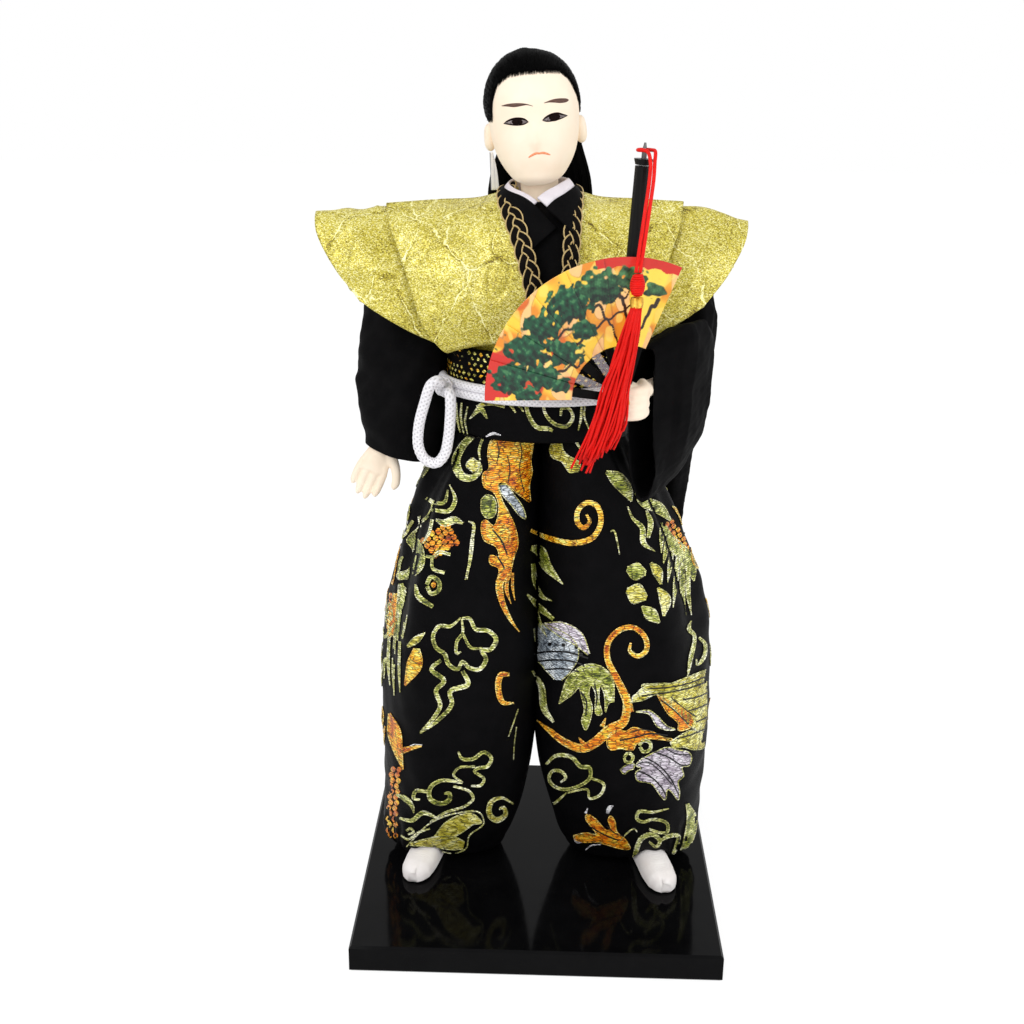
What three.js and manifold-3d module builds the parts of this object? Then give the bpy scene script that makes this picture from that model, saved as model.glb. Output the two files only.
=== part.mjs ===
// A standing samurai doll on a lacquered board: a padded wire figure in a kimono, wide trousers and a
// stiff winged vest, with a turning head, arms that lift, a folding fan, and a sword with a tassel.
// Millimetres, +Z up, the doll faces -Y. "Right" and "left" are the doll's own.
import * as THREE from "three";
import { mergeVertices } from "three/addons/utils/BufferGeometryUtils.js";
import Module from "manifold-3d";

const wasm = await Module();
wasm.setup();

const V = (x, y, z) => new THREE.Vector3(x, y, z);
const degrees = THREE.MathUtils.degToRad;
const lerp = THREE.MathUtils.lerp;
const clamp = THREE.MathUtils.clamp;
const ramp = (value, from, to) => clamp((value - from) / (to - from), 0, 1);

// Driving sizes
const BASE_WIDTH = 127;
const BASE_DEPTH = 127;
const BASE_THICKNESS = 10;
const BASE_EDGE = 0.8; // chamfer round the board's top
const GAP = 0.35; // clearance between neighbouring pieces
const CLOTH = 1.0; // kimono and trouser cloth, folded double
const BROCADE = 1.2; // vest and sash cloth with its lining
const BODY_X = -1.7; // middle of the waist
const BODY_Y = -2;
const NECK_X = -3.2;
const NECK_Y = 1;
const SEAM_X = -2; // middle plane between the trouser legs

// Legs and feet
const ROD_RADIUS = 2.5;
const ANKLE_RIGHT = V(-36.2, 8.5, 0);
const ANKLE_LEFT = V(37.4, 6, 0);
const HIP_X = 11; // from the body's middle to each rod's top
const HIP_Y = 2; // behind the body's middle
const HIP_RISE = 10; // of the rods into the torso
const FOOT_TURN = 15.5; // degrees that each foot points outwards
const FOOT_WIDTH = 11.8;
const FOOT_HEIGHT = 12.5;
const FOOT_LENGTH = 41;
const HEEL = 6; // behind the ankle
const FOOT_SIDES = 14; // facets round a foot
const SCREW_HEAD_RADIUS = 3;
const SCREW_HEAD_HEIGHT = 2;
const SCREW_RADIUS = 1.1;
const SCREW_REACH = 6; // into the rod
const ROD_OVERRUN = 5; // of a rod's cutter past the board and the hip

// Trousers
const PLEATS = 6; // round each leg
const PLEAT_DEPTH = 2.1;
const PLEATS_FROM = 50; // height where the pleats start to show
const PLEATS_FULL = 110;
const PLEATS_STITCHED = 12; // they close up over this much below the waistband
const GATHER_DEPTH = 1.1; // the same folds, drawn in at the hem
const GATHER_TOP = 30;
const GATHER_FULL = 10;
const HEM = 1.4;
const HEM_ROUND = 4;

// Heights. The upper body is drawn from the neck's base, and the legs reach up to it
const NECK_BASE = 240; // above the board's top
const UPPER_BODY = 72.4; // from the trousers' top to the neck's base
const NECK_GAP = 8.4; // from the torso's top to the neck's base
const SHOULDER_DROP = 12; // from the neck's base to the arm pivots
const WAISTBAND_HEIGHT = 12.2;
const SASH_HEIGHT = 16.6;
const TROUSER_TOP = NECK_BASE - UPPER_BODY;
const TORSO_TOP = NECK_BASE - NECK_GAP;
const SHOULDER = NECK_BASE - SHOULDER_DROP;
const fromNeck = (x, y, z) => V(x, y, NECK_BASE + z);

// Waist layers, as half widths and half depths of an ellipse
const CORE_WAIST = { a: 26, b: 19 };
const CORD_RADIUS = 1.45;
const CORD_RISE = 1.7; // of the lower turn above the sash's edge
const LOOP_RADIUS = 1.75;
const DRAPE = 1.1; // extra room on each side of the vest where it goes under the sash
const KNOT_TURN = 214; // degrees from +X
const KNOT_HALF = V(3.4, 2.8, 3.6);

// Arms
const RIGHT_SHOULDER_X = -40.5;
const LEFT_SHOULDER_X = 34.5;
const ARM_HEAD = 4.3;
const ARM_RADIUS = 3.8;
const WRIST_RADIUS = 3.2;
const WIRE_RADIUS = 1.2;
const ARMHOLE = 6.5;
const CUFF_SLOPE = -0.19;
const SLEEVE_FOLD = 0.7;
const HAND_LEAN = 23; // degrees outwards
const HAND_TIP = 6; // degrees forwards

// Head
const HEAD_TILT = -6; // degrees, towards the doll's right
const NECK_RADIUS = 6;
const DOWEL_RADIUS = 2;
const DOWEL_UP = 20; // above and below the neck's base
const DOWEL_DOWN = 22;
const HAIR = 1.3; // thickness of the hair on the skull
const EAR = V(14.4, 1.5, 23.5);
const EAR_HALF = V(1.6, 2.6, 4.4);
const FACE_HALF = 12.4;
const FACE_TOP = 42.2;
const HAIR_FRONT = -2.5; // the hair starts behind this at the cheeks
const RIBBON_THICKNESS = 0.5;
const COLLAR_V = 3.5; // how late the collars leave the neck for their V

const SHOULDER_Y = NECK_Y + DOWEL_RADIUS + WIRE_RADIUS + 3 * GAP; // the wire passes behind the dowel

// Vest
const WING_SHARE = 0.91; // the left wing's reach as a share of the right one's
const BRAID_WIDTH = 6.6;
const BRAID_THICKNESS = 1.6;
const BRAID_END = 0.72; // share of the vest's front edge
const BRAID_OVERHANG = 0.25; // share of its width past the vest's edge
const SHOULDER_SEAM_Y = 1.4;
const SEAM_GAP = 0.9; // the two edges lean together underneath

// Sword and tassel
const SWORD_FOOT = fromNeck(22.5, -39.6, -65);
const SWORD_LEAN = 2.86; // degrees
const SWORD_LENGTH = 82;
const SWORD_RADIUS = 2.7;
const SWORD_TOP_RADIUS = 2.4;
const CAP_RADIUS = 2.9;
const CAP_HEIGHT = 1.7;
const PIN_RADIUS = 0.8;
const PIN_HEIGHT = 4.6;
const PIN_TAPER_FROM = 2; // above the cap
const TASSEL_CORD_RADIUS = 0.55;
const TASSEL_X = 25.4;
const TASSEL_Y = -54.6;
const TASSEL_TOP = NECK_BASE - 12; // where the cord meets the knot
const TASSEL_KNOT = 6.4;
const TASSEL_BAND = 3.2;
const THREAD_RIDGES = 8; // round the skirt
const RIDGE_DEPTH = 0.25;

// Fan
const RIVET = fromNeck(23.4, 0, -51.3);
const RIVET_RADIUS = 0.9;
const RIVET_HEAD = 0.6; // height, and reach past the shank
const BLADES = 7;
const BLADE_PITCH = 0.65; // from one blade's face to the next one's
const BLADE_THICKNESS = 0.35;
const FAN_BACK = -44.35; // y of the rearmost blade's back
const FAN_RADIUS = 42.5;
const LEAF_INNER = 16;
const FAN_FROM = 69; // degrees from +X
const FAN_TO = 181;
const STICK_WIDTH = 2.7;
const STICK_HEAD = 2.3;
const LEAF_LAP = 0.6; // degrees that a leaf sector passes its step on each side

// Left fist
const FIST = fromNeck(24, -42.4, -52.4);
const FIST_HALF = V(6.7, 9.5, 5.7);

const COLOURS = {
  lacquer: 0x0b0b0d, steel: 0x9a9a9a, wood: 0xb08d5b, wadding: 0xe4ddd0, tabi: 0xf4efe8,
  skin: 0xf6e6d0, hair: 0x0a0a0b, white: 0xf2f1f4, black: 0x101012, gold: 0xc2a94a,
  dragon: 0x2a2618, braid: 0x6b5626, red: 0xd8160f, print: 0xd98f2c, stick: 0x0c0c0c, brass: 0xcf9b35,
};

// Closed surface from points and triangles, turned so that its faces point out.
function surface(points, faces) {
  let volume = 0;
  for (const [a, b, c] of faces) volume += points[a].dot(points[b].clone().cross(points[c]));
  const index = faces.map(([a, b, c]) => (volume < 0 ? [a, c, b] : [a, b, c])).flat();
  const geometry = new THREE.BufferGeometry();
  geometry.setAttribute("position", new THREE.Float32BufferAttribute(points.flatMap((p) => p.toArray()), 3));
  geometry.setIndex(index);
  return geometry;
}

// Joins a stack of equal rings. Ends are capped, or the last ring joins the first.
function loft(rings, closed = false) {
  const count = rings[0].length;
  const points = rings.flat();
  const faces = [];
  const last = closed ? rings.length : rings.length - 1;
  for (let k = 0; k < last; k++) {
    const low = k * count;
    const high = ((k + 1) % rings.length) * count;
    for (let j = 0; j < count; j++) {
      const next = (j + 1) % count;
      faces.push([low + j, low + next, high + next], [low + j, high + next, high + j]);
    }
  }
  if (!closed) {
    for (const [ring, flip] of [[0, true], [rings.length - 1, false]]) {
      const centre = rings[ring].reduce((sum, p) => sum.add(p), V(0, 0, 0)).divideScalar(count);
      points.push(centre);
      const middle = points.length - 1;
      for (let j = 0; j < count; j++) {
        const pair = [ring * count + j, ring * count + ((j + 1) % count)];
        faces.push(flip ? [middle, pair[1], pair[0]] : [middle, pair[0], pair[1]]);
      }
    }
  }
  return surface(points, faces);
}

// A wall between two stacks of rings, open at both ends.
const wall = (outer, inner) => loft([...outer, ...inner.slice().reverse()], true);

// Superellipse ring, with its own front and back depth.
function ring(count, { x = 0, y = 0, z = 0, a, front, back = front, power = 2 }, shape = (p) => p) {
  return Array.from({ length: count }, (_, j) => {
    const angle = (j / count) * Math.PI * 2;
    const c = Math.cos(angle);
    const s = Math.sin(angle);
    const px = a * Math.sign(c) * Math.abs(c) ** (2 / power);
    const py = (s < 0 ? front : back) * Math.sign(s) * Math.abs(s) ** (2 / power);
    return shape(V(x + px, y + py, z), angle);
  });
}

// Smooth surface through a grid of points: u runs along the rows, v down the columns.
function patch(rows) {
  const curves = rows.map((row) => new THREE.CatmullRomCurve3(row, false, "centripetal"));
  return (u, v) => {
    const column = curves.map((curve) => curve.getPoint(u));
    return new THREE.CatmullRomCurve3(column, false, "centripetal").getPoint(v);
  };
}

// A sheet of even thickness whose middle is the given surface.
function sheet(at, across, along, thickness) {
  const faces = [];
  const sides = [1, -1].map((side) => {
    const points = [];
    for (let j = 0; j <= along; j++) {
      for (let i = 0; i <= across; i++) {
        const [u, v] = [i / across, j / along];
        const du = at(Math.min(1, u + 0.01), v).sub(at(Math.max(0, u - 0.01), v));
        const dv = at(u, Math.min(1, v + 0.01)).sub(at(u, Math.max(0, v - 0.01)));
        points.push(at(u, v).addScaledVector(du.cross(dv).normalize(), (side * thickness) / 2));
      }
    }
    return points;
  });
  const width = across + 1;
  const size = sides[0].length;
  const quad = (a, b, c, d) => faces.push([a, b, c], [a, c, d]);
  for (let j = 0; j < along; j++) {
    for (let i = 0; i < across; i++) {
      const k = j * width + i;
      quad(k, k + 1, k + width + 1, k + width);
      quad(size + k, size + k + width, size + k + width + 1, size + k + 1);
    }
  }
  for (let i = 0; i < across; i++) {
    const k = along * width + i;
    quad(i + 1, i, size + i, size + i + 1);
    quad(k, k + 1, size + k + 1, size + k);
  }
  for (let j = 0; j < along; j++) {
    const [k, m] = [j * width, j * width + across];
    quad(k, k + width, size + k + width, size + k);
    quad(m + width, m, size + m, size + m + width);
  }
  return surface([...sides[0], ...sides[1]], faces);
}

// A round bar along a path. Its radius may change along the way.
function bar(points, radius, { sides = 8, steps = 12, closed = false } = {}) {
  const curve = new THREE.CatmullRomCurve3(points, closed, "centripetal");
  const frames = curve.computeFrenetFrames(steps, closed);
  const rings = [];
  for (let k = 0; k < (closed ? steps : steps + 1); k++) {
    const share = k / steps;
    const r = typeof radius === "function" ? radius(share) : radius;
    const at = curve.getPointAt(share);
    rings.push(Array.from({ length: sides }, (_, j) => {
      const angle = (j / sides) * Math.PI * 2;
      return at.clone()
        .addScaledVector(frames.normals[k], r * Math.cos(angle))
        .addScaledVector(frames.binormals[k], r * Math.sin(angle));
    }));
  }
  return loft(rings, closed);
}

// A closed solid of revolution about Z from [radius, height] pairs.
function turned(profile, segments = 20) {
  const points = profile.map(([r, z]) => new THREE.Vector2(r, z));
  const geometry = new THREE.LatheGeometry(points, segments);
  return geometry.rotateX(Math.PI / 2);
}

function solid(geometry) {
  const bare = geometry.clone();
  bare.deleteAttribute("normal");
  bare.deleteAttribute("uv");
  const merged = mergeVertices(bare, 1e-4);
  const mesh = new wasm.Mesh({
    numProp: 3,
    vertProperties: new Float32Array(merged.attributes.position.array),
    triVerts: new Uint32Array(merged.index.array),
  });
  return new wasm.Manifold(mesh);
}

function geometryOf(made) {
  const mesh = made.getMesh();
  const geometry = new THREE.BufferGeometry();
  geometry.setAttribute("position", new THREE.Float32BufferAttribute(mesh.vertProperties, 3));
  geometry.setIndex(Array.from(mesh.triVerts));
  return geometry;
}

const cut = (geometry, ...tools) =>
  geometryOf(tools.reduce((made, tool) => made.subtract(solid(tool)), solid(geometry)));
const join = (geometry, ...others) =>
  geometryOf(others.reduce((made, other) => made.add(solid(other)), solid(geometry)));

function piece(name, colour, geometry, roughness = 0.85, metalness = 0) {
  const material = new THREE.MeshStandardMaterial({ color: COLOURS[colour], roughness, metalness });
  const mesh = new THREE.Mesh(geometry, material);
  mesh.name = name;
  return mesh;
}

const part = new THREE.Group();
const doll = new THREE.Group();
doll.position.z = BASE_THICKNESS;
part.add(doll);

// Sides of the doll: -1 is its right, on -X
const SIDES = [{ side: -1, name: "right" }, { side: 1, name: "left" }];
const ankle = (side) => (side < 0 ? ANKLE_RIGHT : ANKLE_LEFT).clone();
const hip = (side) => V(BODY_X + side * HIP_X, BODY_Y + HIP_Y, TROUSER_TOP + HIP_RISE);

// Leg rods: wooden dowels from the board into the torso
function rod(side, radius, below, above) {
  const foot = ankle(side);
  const along = hip(side).sub(foot).normalize();
  const low = foot.clone().addScaledVector(along, -below / along.z);
  const high = hip(side).addScaledVector(along, above);
  return bar([low, low.clone().lerp(high, 0.5), high], radius, { sides: 10, steps: 2 });
}

// Board and the screws that hold the legs
function screw(side) {
  const shaft = [[0, 0], [SCREW_HEAD_RADIUS, 0], [SCREW_RADIUS, SCREW_HEAD_HEIGHT]];
  const top = BASE_THICKNESS + SCREW_REACH;
  const at = ankle(side);
  return turned([...shaft, [SCREW_RADIUS, top], [0, top + SCREW_RADIUS]], 12).translate(at.x, at.y, GAP);
}

function screwHole(side) {
  const at = ankle(side);
  const r = SCREW_RADIUS + GAP;
  const head = SCREW_HEAD_RADIUS + GAP;
  const profile = [[0, -1], [head, -1], [head, GAP], [r, SCREW_HEAD_HEIGHT + 2 * GAP]];
  const top = BASE_THICKNESS + SCREW_REACH + 3 * GAP + SCREW_RADIUS;
  return turned([...profile, [r, top], [0, top]], 12).translate(at.x, at.y, 0);
}

function board() {
  const block = new THREE.Shape();
  const [w, d] = [BASE_WIDTH / 2 - BASE_EDGE, BASE_DEPTH / 2 - BASE_EDGE];
  block.moveTo(-w, -d).lineTo(w, -d).lineTo(w, d).lineTo(-w, d).closePath();
  const slab = new THREE.ExtrudeGeometry(block, {
    depth: BASE_THICKNESS - 2 * BASE_EDGE, bevelEnabled: true, bevelThickness: BASE_EDGE,
    bevelSize: BASE_EDGE, bevelSegments: 1,
  }).translate(0, 0, BASE_EDGE);
  return cut(slab, screwHole(-1), screwHole(1));
}
part.add(piece("base_board", "lacquer", board(), 0.12));

// Feet: split-toed socks, flat underneath. Shares of the height, and how square each half is
const SOLE = { share: 0.3, rise: 0.35, round: 0.56 };
const INSTEP = { share: 0.7, rise: 0.9, round: 0.75 };

function foot(side, grow = 0) {
  const shape = [[0, 0.3, 0.45], [0.06, 0.75, 0.8], [0.2, 0.86, 1], [0.5, 0.9, 0.86], [0.75, 1, 0.64],
    [0.9, 0.92, 0.53], [0.97, 0.66, 0.42], [1, 0.34, 0.3]];
  const rings = shape.map(([share, wide, high], k) => {
    const end = (k === 0 ? -grow : 0) + (k === shape.length - 1 ? grow : 0);
    const w = (FOOT_WIDTH / 2) * wide + grow;
    const h = FOOT_HEIGHT * high + grow;
    return Array.from({ length: FOOT_SIDES }, (_, j) => {
      const angle = ((j + 0.5) / FOOT_SIDES) * Math.PI * 2;
      const c = Math.cos(angle);
      const s = Math.sin(angle);
      const { share: part, rise, round } = s < 0 ? SOLE : INSTEP;
      const z = h * SOLE.share + part * h * Math.sign(s) * Math.abs(s) ** rise;
      const x = w * Math.sign(c) * Math.abs(c) ** round;
      return V(x, HEEL - share * FOOT_LENGTH - end, Math.max(z, 0) + GAP - grow);
    });
  });
  const at = ankle(side);
  return loft(rings).rotateZ(degrees(side * FOOT_TURN)).translate(at.x, at.y, 0);
}

// Trousers: each leg a balloon gathered at the ankle, with pleats below the waistband.
// Stations from the hem up: height, outer and inner reach from the seam, front and back
const TROUSER_RIGHT = [
  [HEM, 44, 18, 3, 19], [3.2, 50.4, 13.2, 10, 23], [9, 53.7, 9.5, 15.5, 25.5], [21, 54.5, 5, 20.5, 27],
  [40, 55.4, 1.7, 25, 29], [60, 55.6, GAP, 27.6, 29.4], [TROUSER_TOP - 79.6, 54.2, GAP, 29, 28.4],
  [TROUSER_TOP - 49.6, 48.4, GAP, 28.5, 26.4], [TROUSER_TOP - 19.6, 39.2, GAP, 26.6, 23],
  [TROUSER_TOP - 9.6, 33.4, GAP, 24.8, 21],
  [TROUSER_TOP, 30, GAP, 21.5, 18.5],
];
const TROUSER_LEFT = [
  [HEM, 50, 24, 3, 19], [3.2, 56.4, 16.6, 10, 23], [9, 60.2, 11, 15.5, 25.5], [21, 60.8, 6.8, 20.5, 27],
  [40, 62.4, 2.2, 25, 29], [60, 63.2, GAP, 27.6, 29.4], [TROUSER_TOP - 79.6, 61.4, GAP, 29, 28.4],
  [TROUSER_TOP - 49.6, 53.4, GAP, 28.5, 26.4], [TROUSER_TOP - 19.6, 40.6, GAP, 26.6, 23],
  [TROUSER_TOP - 9.6, 34, GAP, 24.8, 21],
  [TROUSER_TOP, 28.6, GAP, 21.5, 18.5],
];
function trouserRings(side, inset, from = 0) {
  const stations = (side < 0 ? TROUSER_RIGHT : TROUSER_LEFT).slice(from);
  return stations.map(([z, outer, inner, front, back]) => {
    const a = (outer - inner) / 2 - inset;
    const x = SEAM_X + side * ((outer + inner) / 2);
    const pleat = PLEAT_DEPTH * ramp(z, PLEATS_FROM, PLEATS_FULL) * ramp(TROUSER_TOP - z, 0, PLEATS_STITCHED);
    const gather = GATHER_DEPTH * ramp(z, GATHER_TOP, GATHER_FULL) * ramp(z, HEM, HEM + HEM_ROUND);
    const fold = (p, angle) => {
      const outward = clamp(0.6 + side * Math.cos(angle), 0, 1);
      const wave = (pleat + gather) * Math.cos(PLEATS * angle);
      return p.add(V(Math.cos(angle), Math.sin(angle), 0).multiplyScalar(wave * outward));
    };
    return ring(24, { x, y: 0, z, a, front: front - inset, back: back - inset, power: 2.35 }, fold);
  });
}

function trouserLeg(side) {
  const tube = wall(trouserRings(side, 0), trouserRings(side, CLOTH));
  return cut(tube, foot(side, GAP));
}

// Wadding that fills each trouser leg, from this station up
const PADDING_FROM = 3;

function padding(side) {
  const rings = trouserRings(side, CLOTH + 2 * GAP, PADDING_FROM);
  rings[rings.length - 1].forEach((p) => { p.z -= GAP; });
  return cut(loft(rings), rod(side, ROD_RADIUS + GAP, ROD_OVERRUN, ROD_OVERRUN), foot(side, GAP));
}

for (const { side, name } of SIDES) {
  const floor = new THREE.BoxGeometry(BASE_WIDTH, BASE_DEPTH, 2 * BASE_THICKNESS);
  floor.translate(0, 0, GAP - BASE_THICKNESS);
  const socket = screwHole(side).translate(0, 0, -BASE_THICKNESS);
  const tip = cut(rod(side, ROD_RADIUS, ROD_OVERRUN, 0), floor, socket);
  doll.add(piece(`${name}_leg_rod`, "wood", tip));
  part.add(piece(`${name}_leg_screw`, "steel", screw(side), 0.35, 1));
  const sock = cut(foot(side), rod(side, ROD_RADIUS + GAP, ROD_OVERRUN, ROD_OVERRUN), socket);
  doll.add(piece(`${name}_foot`, "tabi", sock, 0.8));
  doll.add(piece(`${name}_leg_padding`, "wadding", padding(side)));
  doll.add(piece(`${name}_trouser_leg`, "dragon", trouserLeg(side), 0.6));
}

// Waist layers: each is an ellipse of the torso, grown outwards
const waistGrow = { kimono: GAP, vest: GAP + CLOTH + DRAPE };
waistGrow.sash = waistGrow.vest + BROCADE + DRAPE;
const SASH_OUT = waistGrow.sash + BROCADE;
const WAISTBAND_LOW = TROUSER_TOP + GAP;
const SASH_LOW = WAISTBAND_LOW + WAISTBAND_HEIGHT + GAP;

function waistRing(z, grow, count = 36) {
  const [a, b] = [CORE_WAIST.a + grow, CORE_WAIST.b + grow];
  return ring(count, { x: BODY_X, y: BODY_Y, z, a, front: b });
}

// A point on a waist layer at an angle from +X
function onWaist(angle, z, grow) {
  const turn = degrees(angle);
  const x = BODY_X + (CORE_WAIST.a + grow) * Math.cos(turn);
  const y = BODY_Y + (CORE_WAIST.b + grow) * Math.sin(turn);
  return V(x, y, z);
}

const band = (low, high, inner, outer) => wall([waistRing(low, outer), waistRing(high, outer)],
  [waistRing(low, inner), waistRing(high, inner)]);

// Torso: stations of height, shift towards the shoulders, growth in width and in depth
const SHOULDER_SHIFT = NECK_X - BODY_X;
const TORSO_STATIONS = [[WAISTBAND_LOW + GAP, 0, 0, 0], [SASH_LOW + SASH_HEIGHT, 0, 0, 0],
  [NECK_BASE - 28, 0.5, 1, 0.2], [NECK_BASE - 18, 0.9, 1, -0.8],
  [TORSO_TOP - 1.6, 1, -0.5, -4], [TORSO_TOP, 1, -5, -7]];

function torsoRings(grow, from = 0, lift = 0) {
  return TORSO_STATIONS.slice(from).map(([z, shift, wide, deep]) => ring(20, {
    x: BODY_X + shift * SHOULDER_SHIFT, y: BODY_Y + shift * 2, z: z + lift,
    a: CORE_WAIST.a + wide + grow, front: CORE_WAIST.b + deep + grow,
  }));
}

// Neck dowel, on the tilted axis of the head
const neckFrame = new THREE.Matrix4().makeTranslation(NECK_X, NECK_Y, NECK_BASE)
  .multiply(new THREE.Matrix4().makeRotationY(degrees(HEAD_TILT)));
const upright = (radius, low, high, sides = 16) =>
  turned([[0, low], [radius, low], [radius, high], [0, high]], sides);
const dowel = (grow) => upright(DOWEL_RADIUS + grow, -DOWEL_DOWN - grow, DOWEL_UP + grow);

// Wire across the shoulders, from one arm's head to the other's
function shoulderWire(grow) {
  const from = RIGHT_SHOULDER_X + ARM_HEAD + GAP;
  const to = LEFT_SHOULDER_X - ARM_HEAD - GAP;
  const at = (x) => V(x, SHOULDER_Y, SHOULDER);
  return bar([at(from), at((from + to) / 2), at(to)], WIRE_RADIUS + grow, { sides: 10, steps: 2 });
}
function armhole(from, to) {
  const at = (x) => V(x, SHOULDER_Y, SHOULDER);
  return bar([at(from), at((from + to) / 2), at(to)], ARMHOLE, { sides: 12, steps: 2 });
}

const torsoCore = cut(loft(torsoRings(0)), dowel(GAP).applyMatrix4(neckFrame), shoulderWire(GAP),
  rod(-1, ROD_RADIUS + GAP, ROD_OVERRUN, GAP), rod(1, ROD_RADIUS + GAP, ROD_OVERRUN, GAP));
doll.add(piece("torso_core", "wadding", torsoCore));
doll.add(piece("shoulder_wire", "steel", shoulderWire(0), 0.4, 1));
const kimonoBody = cut(wall(torsoRings(GAP + CLOTH), torsoRings(GAP)),
  armhole(RIGHT_SHOULDER_X, LEFT_SHOULDER_X));
doll.add(piece("kimono_body", "black", kimonoBody));
doll.add(piece("waistband", "dragon", band(WAISTBAND_LOW, WAISTBAND_LOW + WAISTBAND_HEIGHT,
  2 * GAP + CLOTH, waistGrow.sash + BROCADE), 0.6));
doll.add(piece("sash", "dragon", band(SASH_LOW, SASH_LOW + SASH_HEIGHT, waistGrow.sash, SASH_OUT), 0.6));

// White cord, twice round the waist, with a knot at the right hip and a loop that hangs from it
const CORD_GROW = SASH_OUT + GAP + CORD_RADIUS;
const CORD_LOW = SASH_LOW + CORD_RISE;
const CORD_HIGH = CORD_LOW + 2 * CORD_RADIUS + GAP;
for (const [name, z] of [["lower", CORD_LOW], ["upper", CORD_HIGH]]) {
  const turnPoints = waistRing(z, CORD_GROW, 24);
  const cord = bar(turnPoints, CORD_RADIUS, { sides: 8, steps: 28, closed: true });
  doll.add(piece(`waist_cord_${name}`, "white", cord));
}
const KNOT_OUT = CORD_GROW + CORD_RADIUS + GAP + 3;
const KNOT = onWaist(KNOT_TURN, (CORD_LOW + CORD_HIGH) / 2 + 1, KNOT_OUT);
const knot = new THREE.SphereGeometry(1, 12, 8).scale(KNOT_HALF.x, KNOT_HALF.y, KNOT_HALF.z)
  .rotateZ(degrees(KNOT_TURN - 180)).translate(KNOT.x, KNOT.y, KNOT.z);
doll.add(piece("cord_knot", "white", cut(knot, waistCordGroove())));

function waistCordGroove() {
  const round = { sides: 8, steps: 28, closed: true };
  const groove = (z) => bar(waistRing(z, CORD_GROW, 24), CORD_RADIUS + GAP, round);
  return join(groove(CORD_LOW), groove(CORD_HIGH));
}

const LOOP_ROUTE = [
  fromNeck(-34.5, -23.3, -53.5), fromNeck(-35.2, -26, -52), fromNeck(-37.2, -26.8, -53.2),
  fromNeck(-39.4, -26.2, -59.4), fromNeck(-41.4, -25.2, -67.4), fromNeck(-41.6, -24.6, -74.6),
  fromNeck(-39.4, -24.2, -79), fromNeck(-36, -24.2, -80), fromNeck(-33.2, -24.6, -77),
  fromNeck(-31.8, -25.2, -71), fromNeck(-31.2, -25.8, -64.4), fromNeck(-31, -26.2, -59.6),
  fromNeck(-31.2, -25.6, -57), fromNeck(-32.1, -23.1, -55.9),
];
doll.add(piece("cord_loop", "white", bar(LOOP_ROUTE, LOOP_RADIUS, { sides: 8, steps: 26 })));

// Head: stations of height above the neck's base, half width, front and back
const HEAD_STATIONS = [
  [8.2, 4.2, 12.4, -3], [9.6, 7, 14.8, 0], [13, 10.2, 16.2, 8.5], [17, 12.4, 16.7, 13], [22, 13.8, 17, 15.6],
  [28, 14.5, 16.6, 17], [34, 14.4, 15.8, 17.4], [39.5, 13, 13.6, 16], [44, 10, 9.8, 12.6], [46.8, 6, 5.6, 8],
  [48, 2.2, 2, 3],
];
function headLoft(grow, from = 0) {
  const stations = HEAD_STATIONS.slice(from);
  return loft(stations.map(([z, a, front, back], k) => {
    const middle = (back - front) / 2;
    const half = (back + front) / 2;
    const rise = k === stations.length - 1 ? grow : 0;
    return ring(18, { y: middle, z: z + rise, a: a + grow, front: half + grow, power: 2.25 });
  }));
}
const ear = (side, grow) => new THREE.SphereGeometry(1, 10, 8)
  .scale(EAR_HALF.x + grow, EAR_HALF.y + grow, EAR_HALF.z + grow).translate(side * EAR.x, EAR.y, EAR.z);

const headGroup = new THREE.Group();
headGroup.position.set(NECK_X, NECK_Y, NECK_BASE);
headGroup.rotation.y = degrees(HEAD_TILT);
doll.add(headGroup);
// The neck stops just above the torso, on its tilted axis
const NECK_DOWN = NECK_BASE - TORSO_TOP - GAP - NECK_RADIUS * Math.sin(degrees(Math.abs(HEAD_TILT)));
const neck = turned([[0, -NECK_DOWN], [NECK_RADIUS, -NECK_DOWN], [NECK_RADIUS, 16], [0, 16]], 20);
const headSolid = cut(join(headLoft(0), neck, ear(-1, 0), ear(1, 0)), dowel(GAP));
headGroup.add(piece("head", "skin", headSolid, 0.6));
headGroup.add(piece("neck_dowel", "wood", dowel(0)));

// Hair on the skull, cut away round the face and the ears
function faceCutter() {
  const face = new THREE.Shape();
  face.moveTo(-FACE_HALF, -20).lineTo(FACE_HALF, -20).lineTo(FACE_HALF, FACE_TOP - 9);
  face.bezierCurveTo(FACE_HALF, FACE_TOP - 2, FACE_HALF - 4, FACE_TOP, 0, FACE_TOP);
  face.bezierCurveTo(4 - FACE_HALF, FACE_TOP, -FACE_HALF, FACE_TOP - 2, -FACE_HALF, FACE_TOP - 9);
  const prism = new THREE.ExtrudeGeometry(face, { depth: 40, bevelEnabled: false, curveSegments: 5 });
  return prism.rotateX(Math.PI / 2).translate(0, HAIR_FRONT, 0);
}
const cheeks = new THREE.BoxGeometry(60, 60, 40).translate(0, HAIR_FRONT - 30, EAR.z - 18);
const hairCap = cut(headLoft(HAIR, 3), headLoft(GAP), faceCutter(), cheeks, ear(-1, GAP), ear(1, GAP),
  upright(NECK_RADIUS + GAP, -20, 20));
headGroup.add(piece("hair_cap", "hair", hairCap, 0.55));

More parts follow.
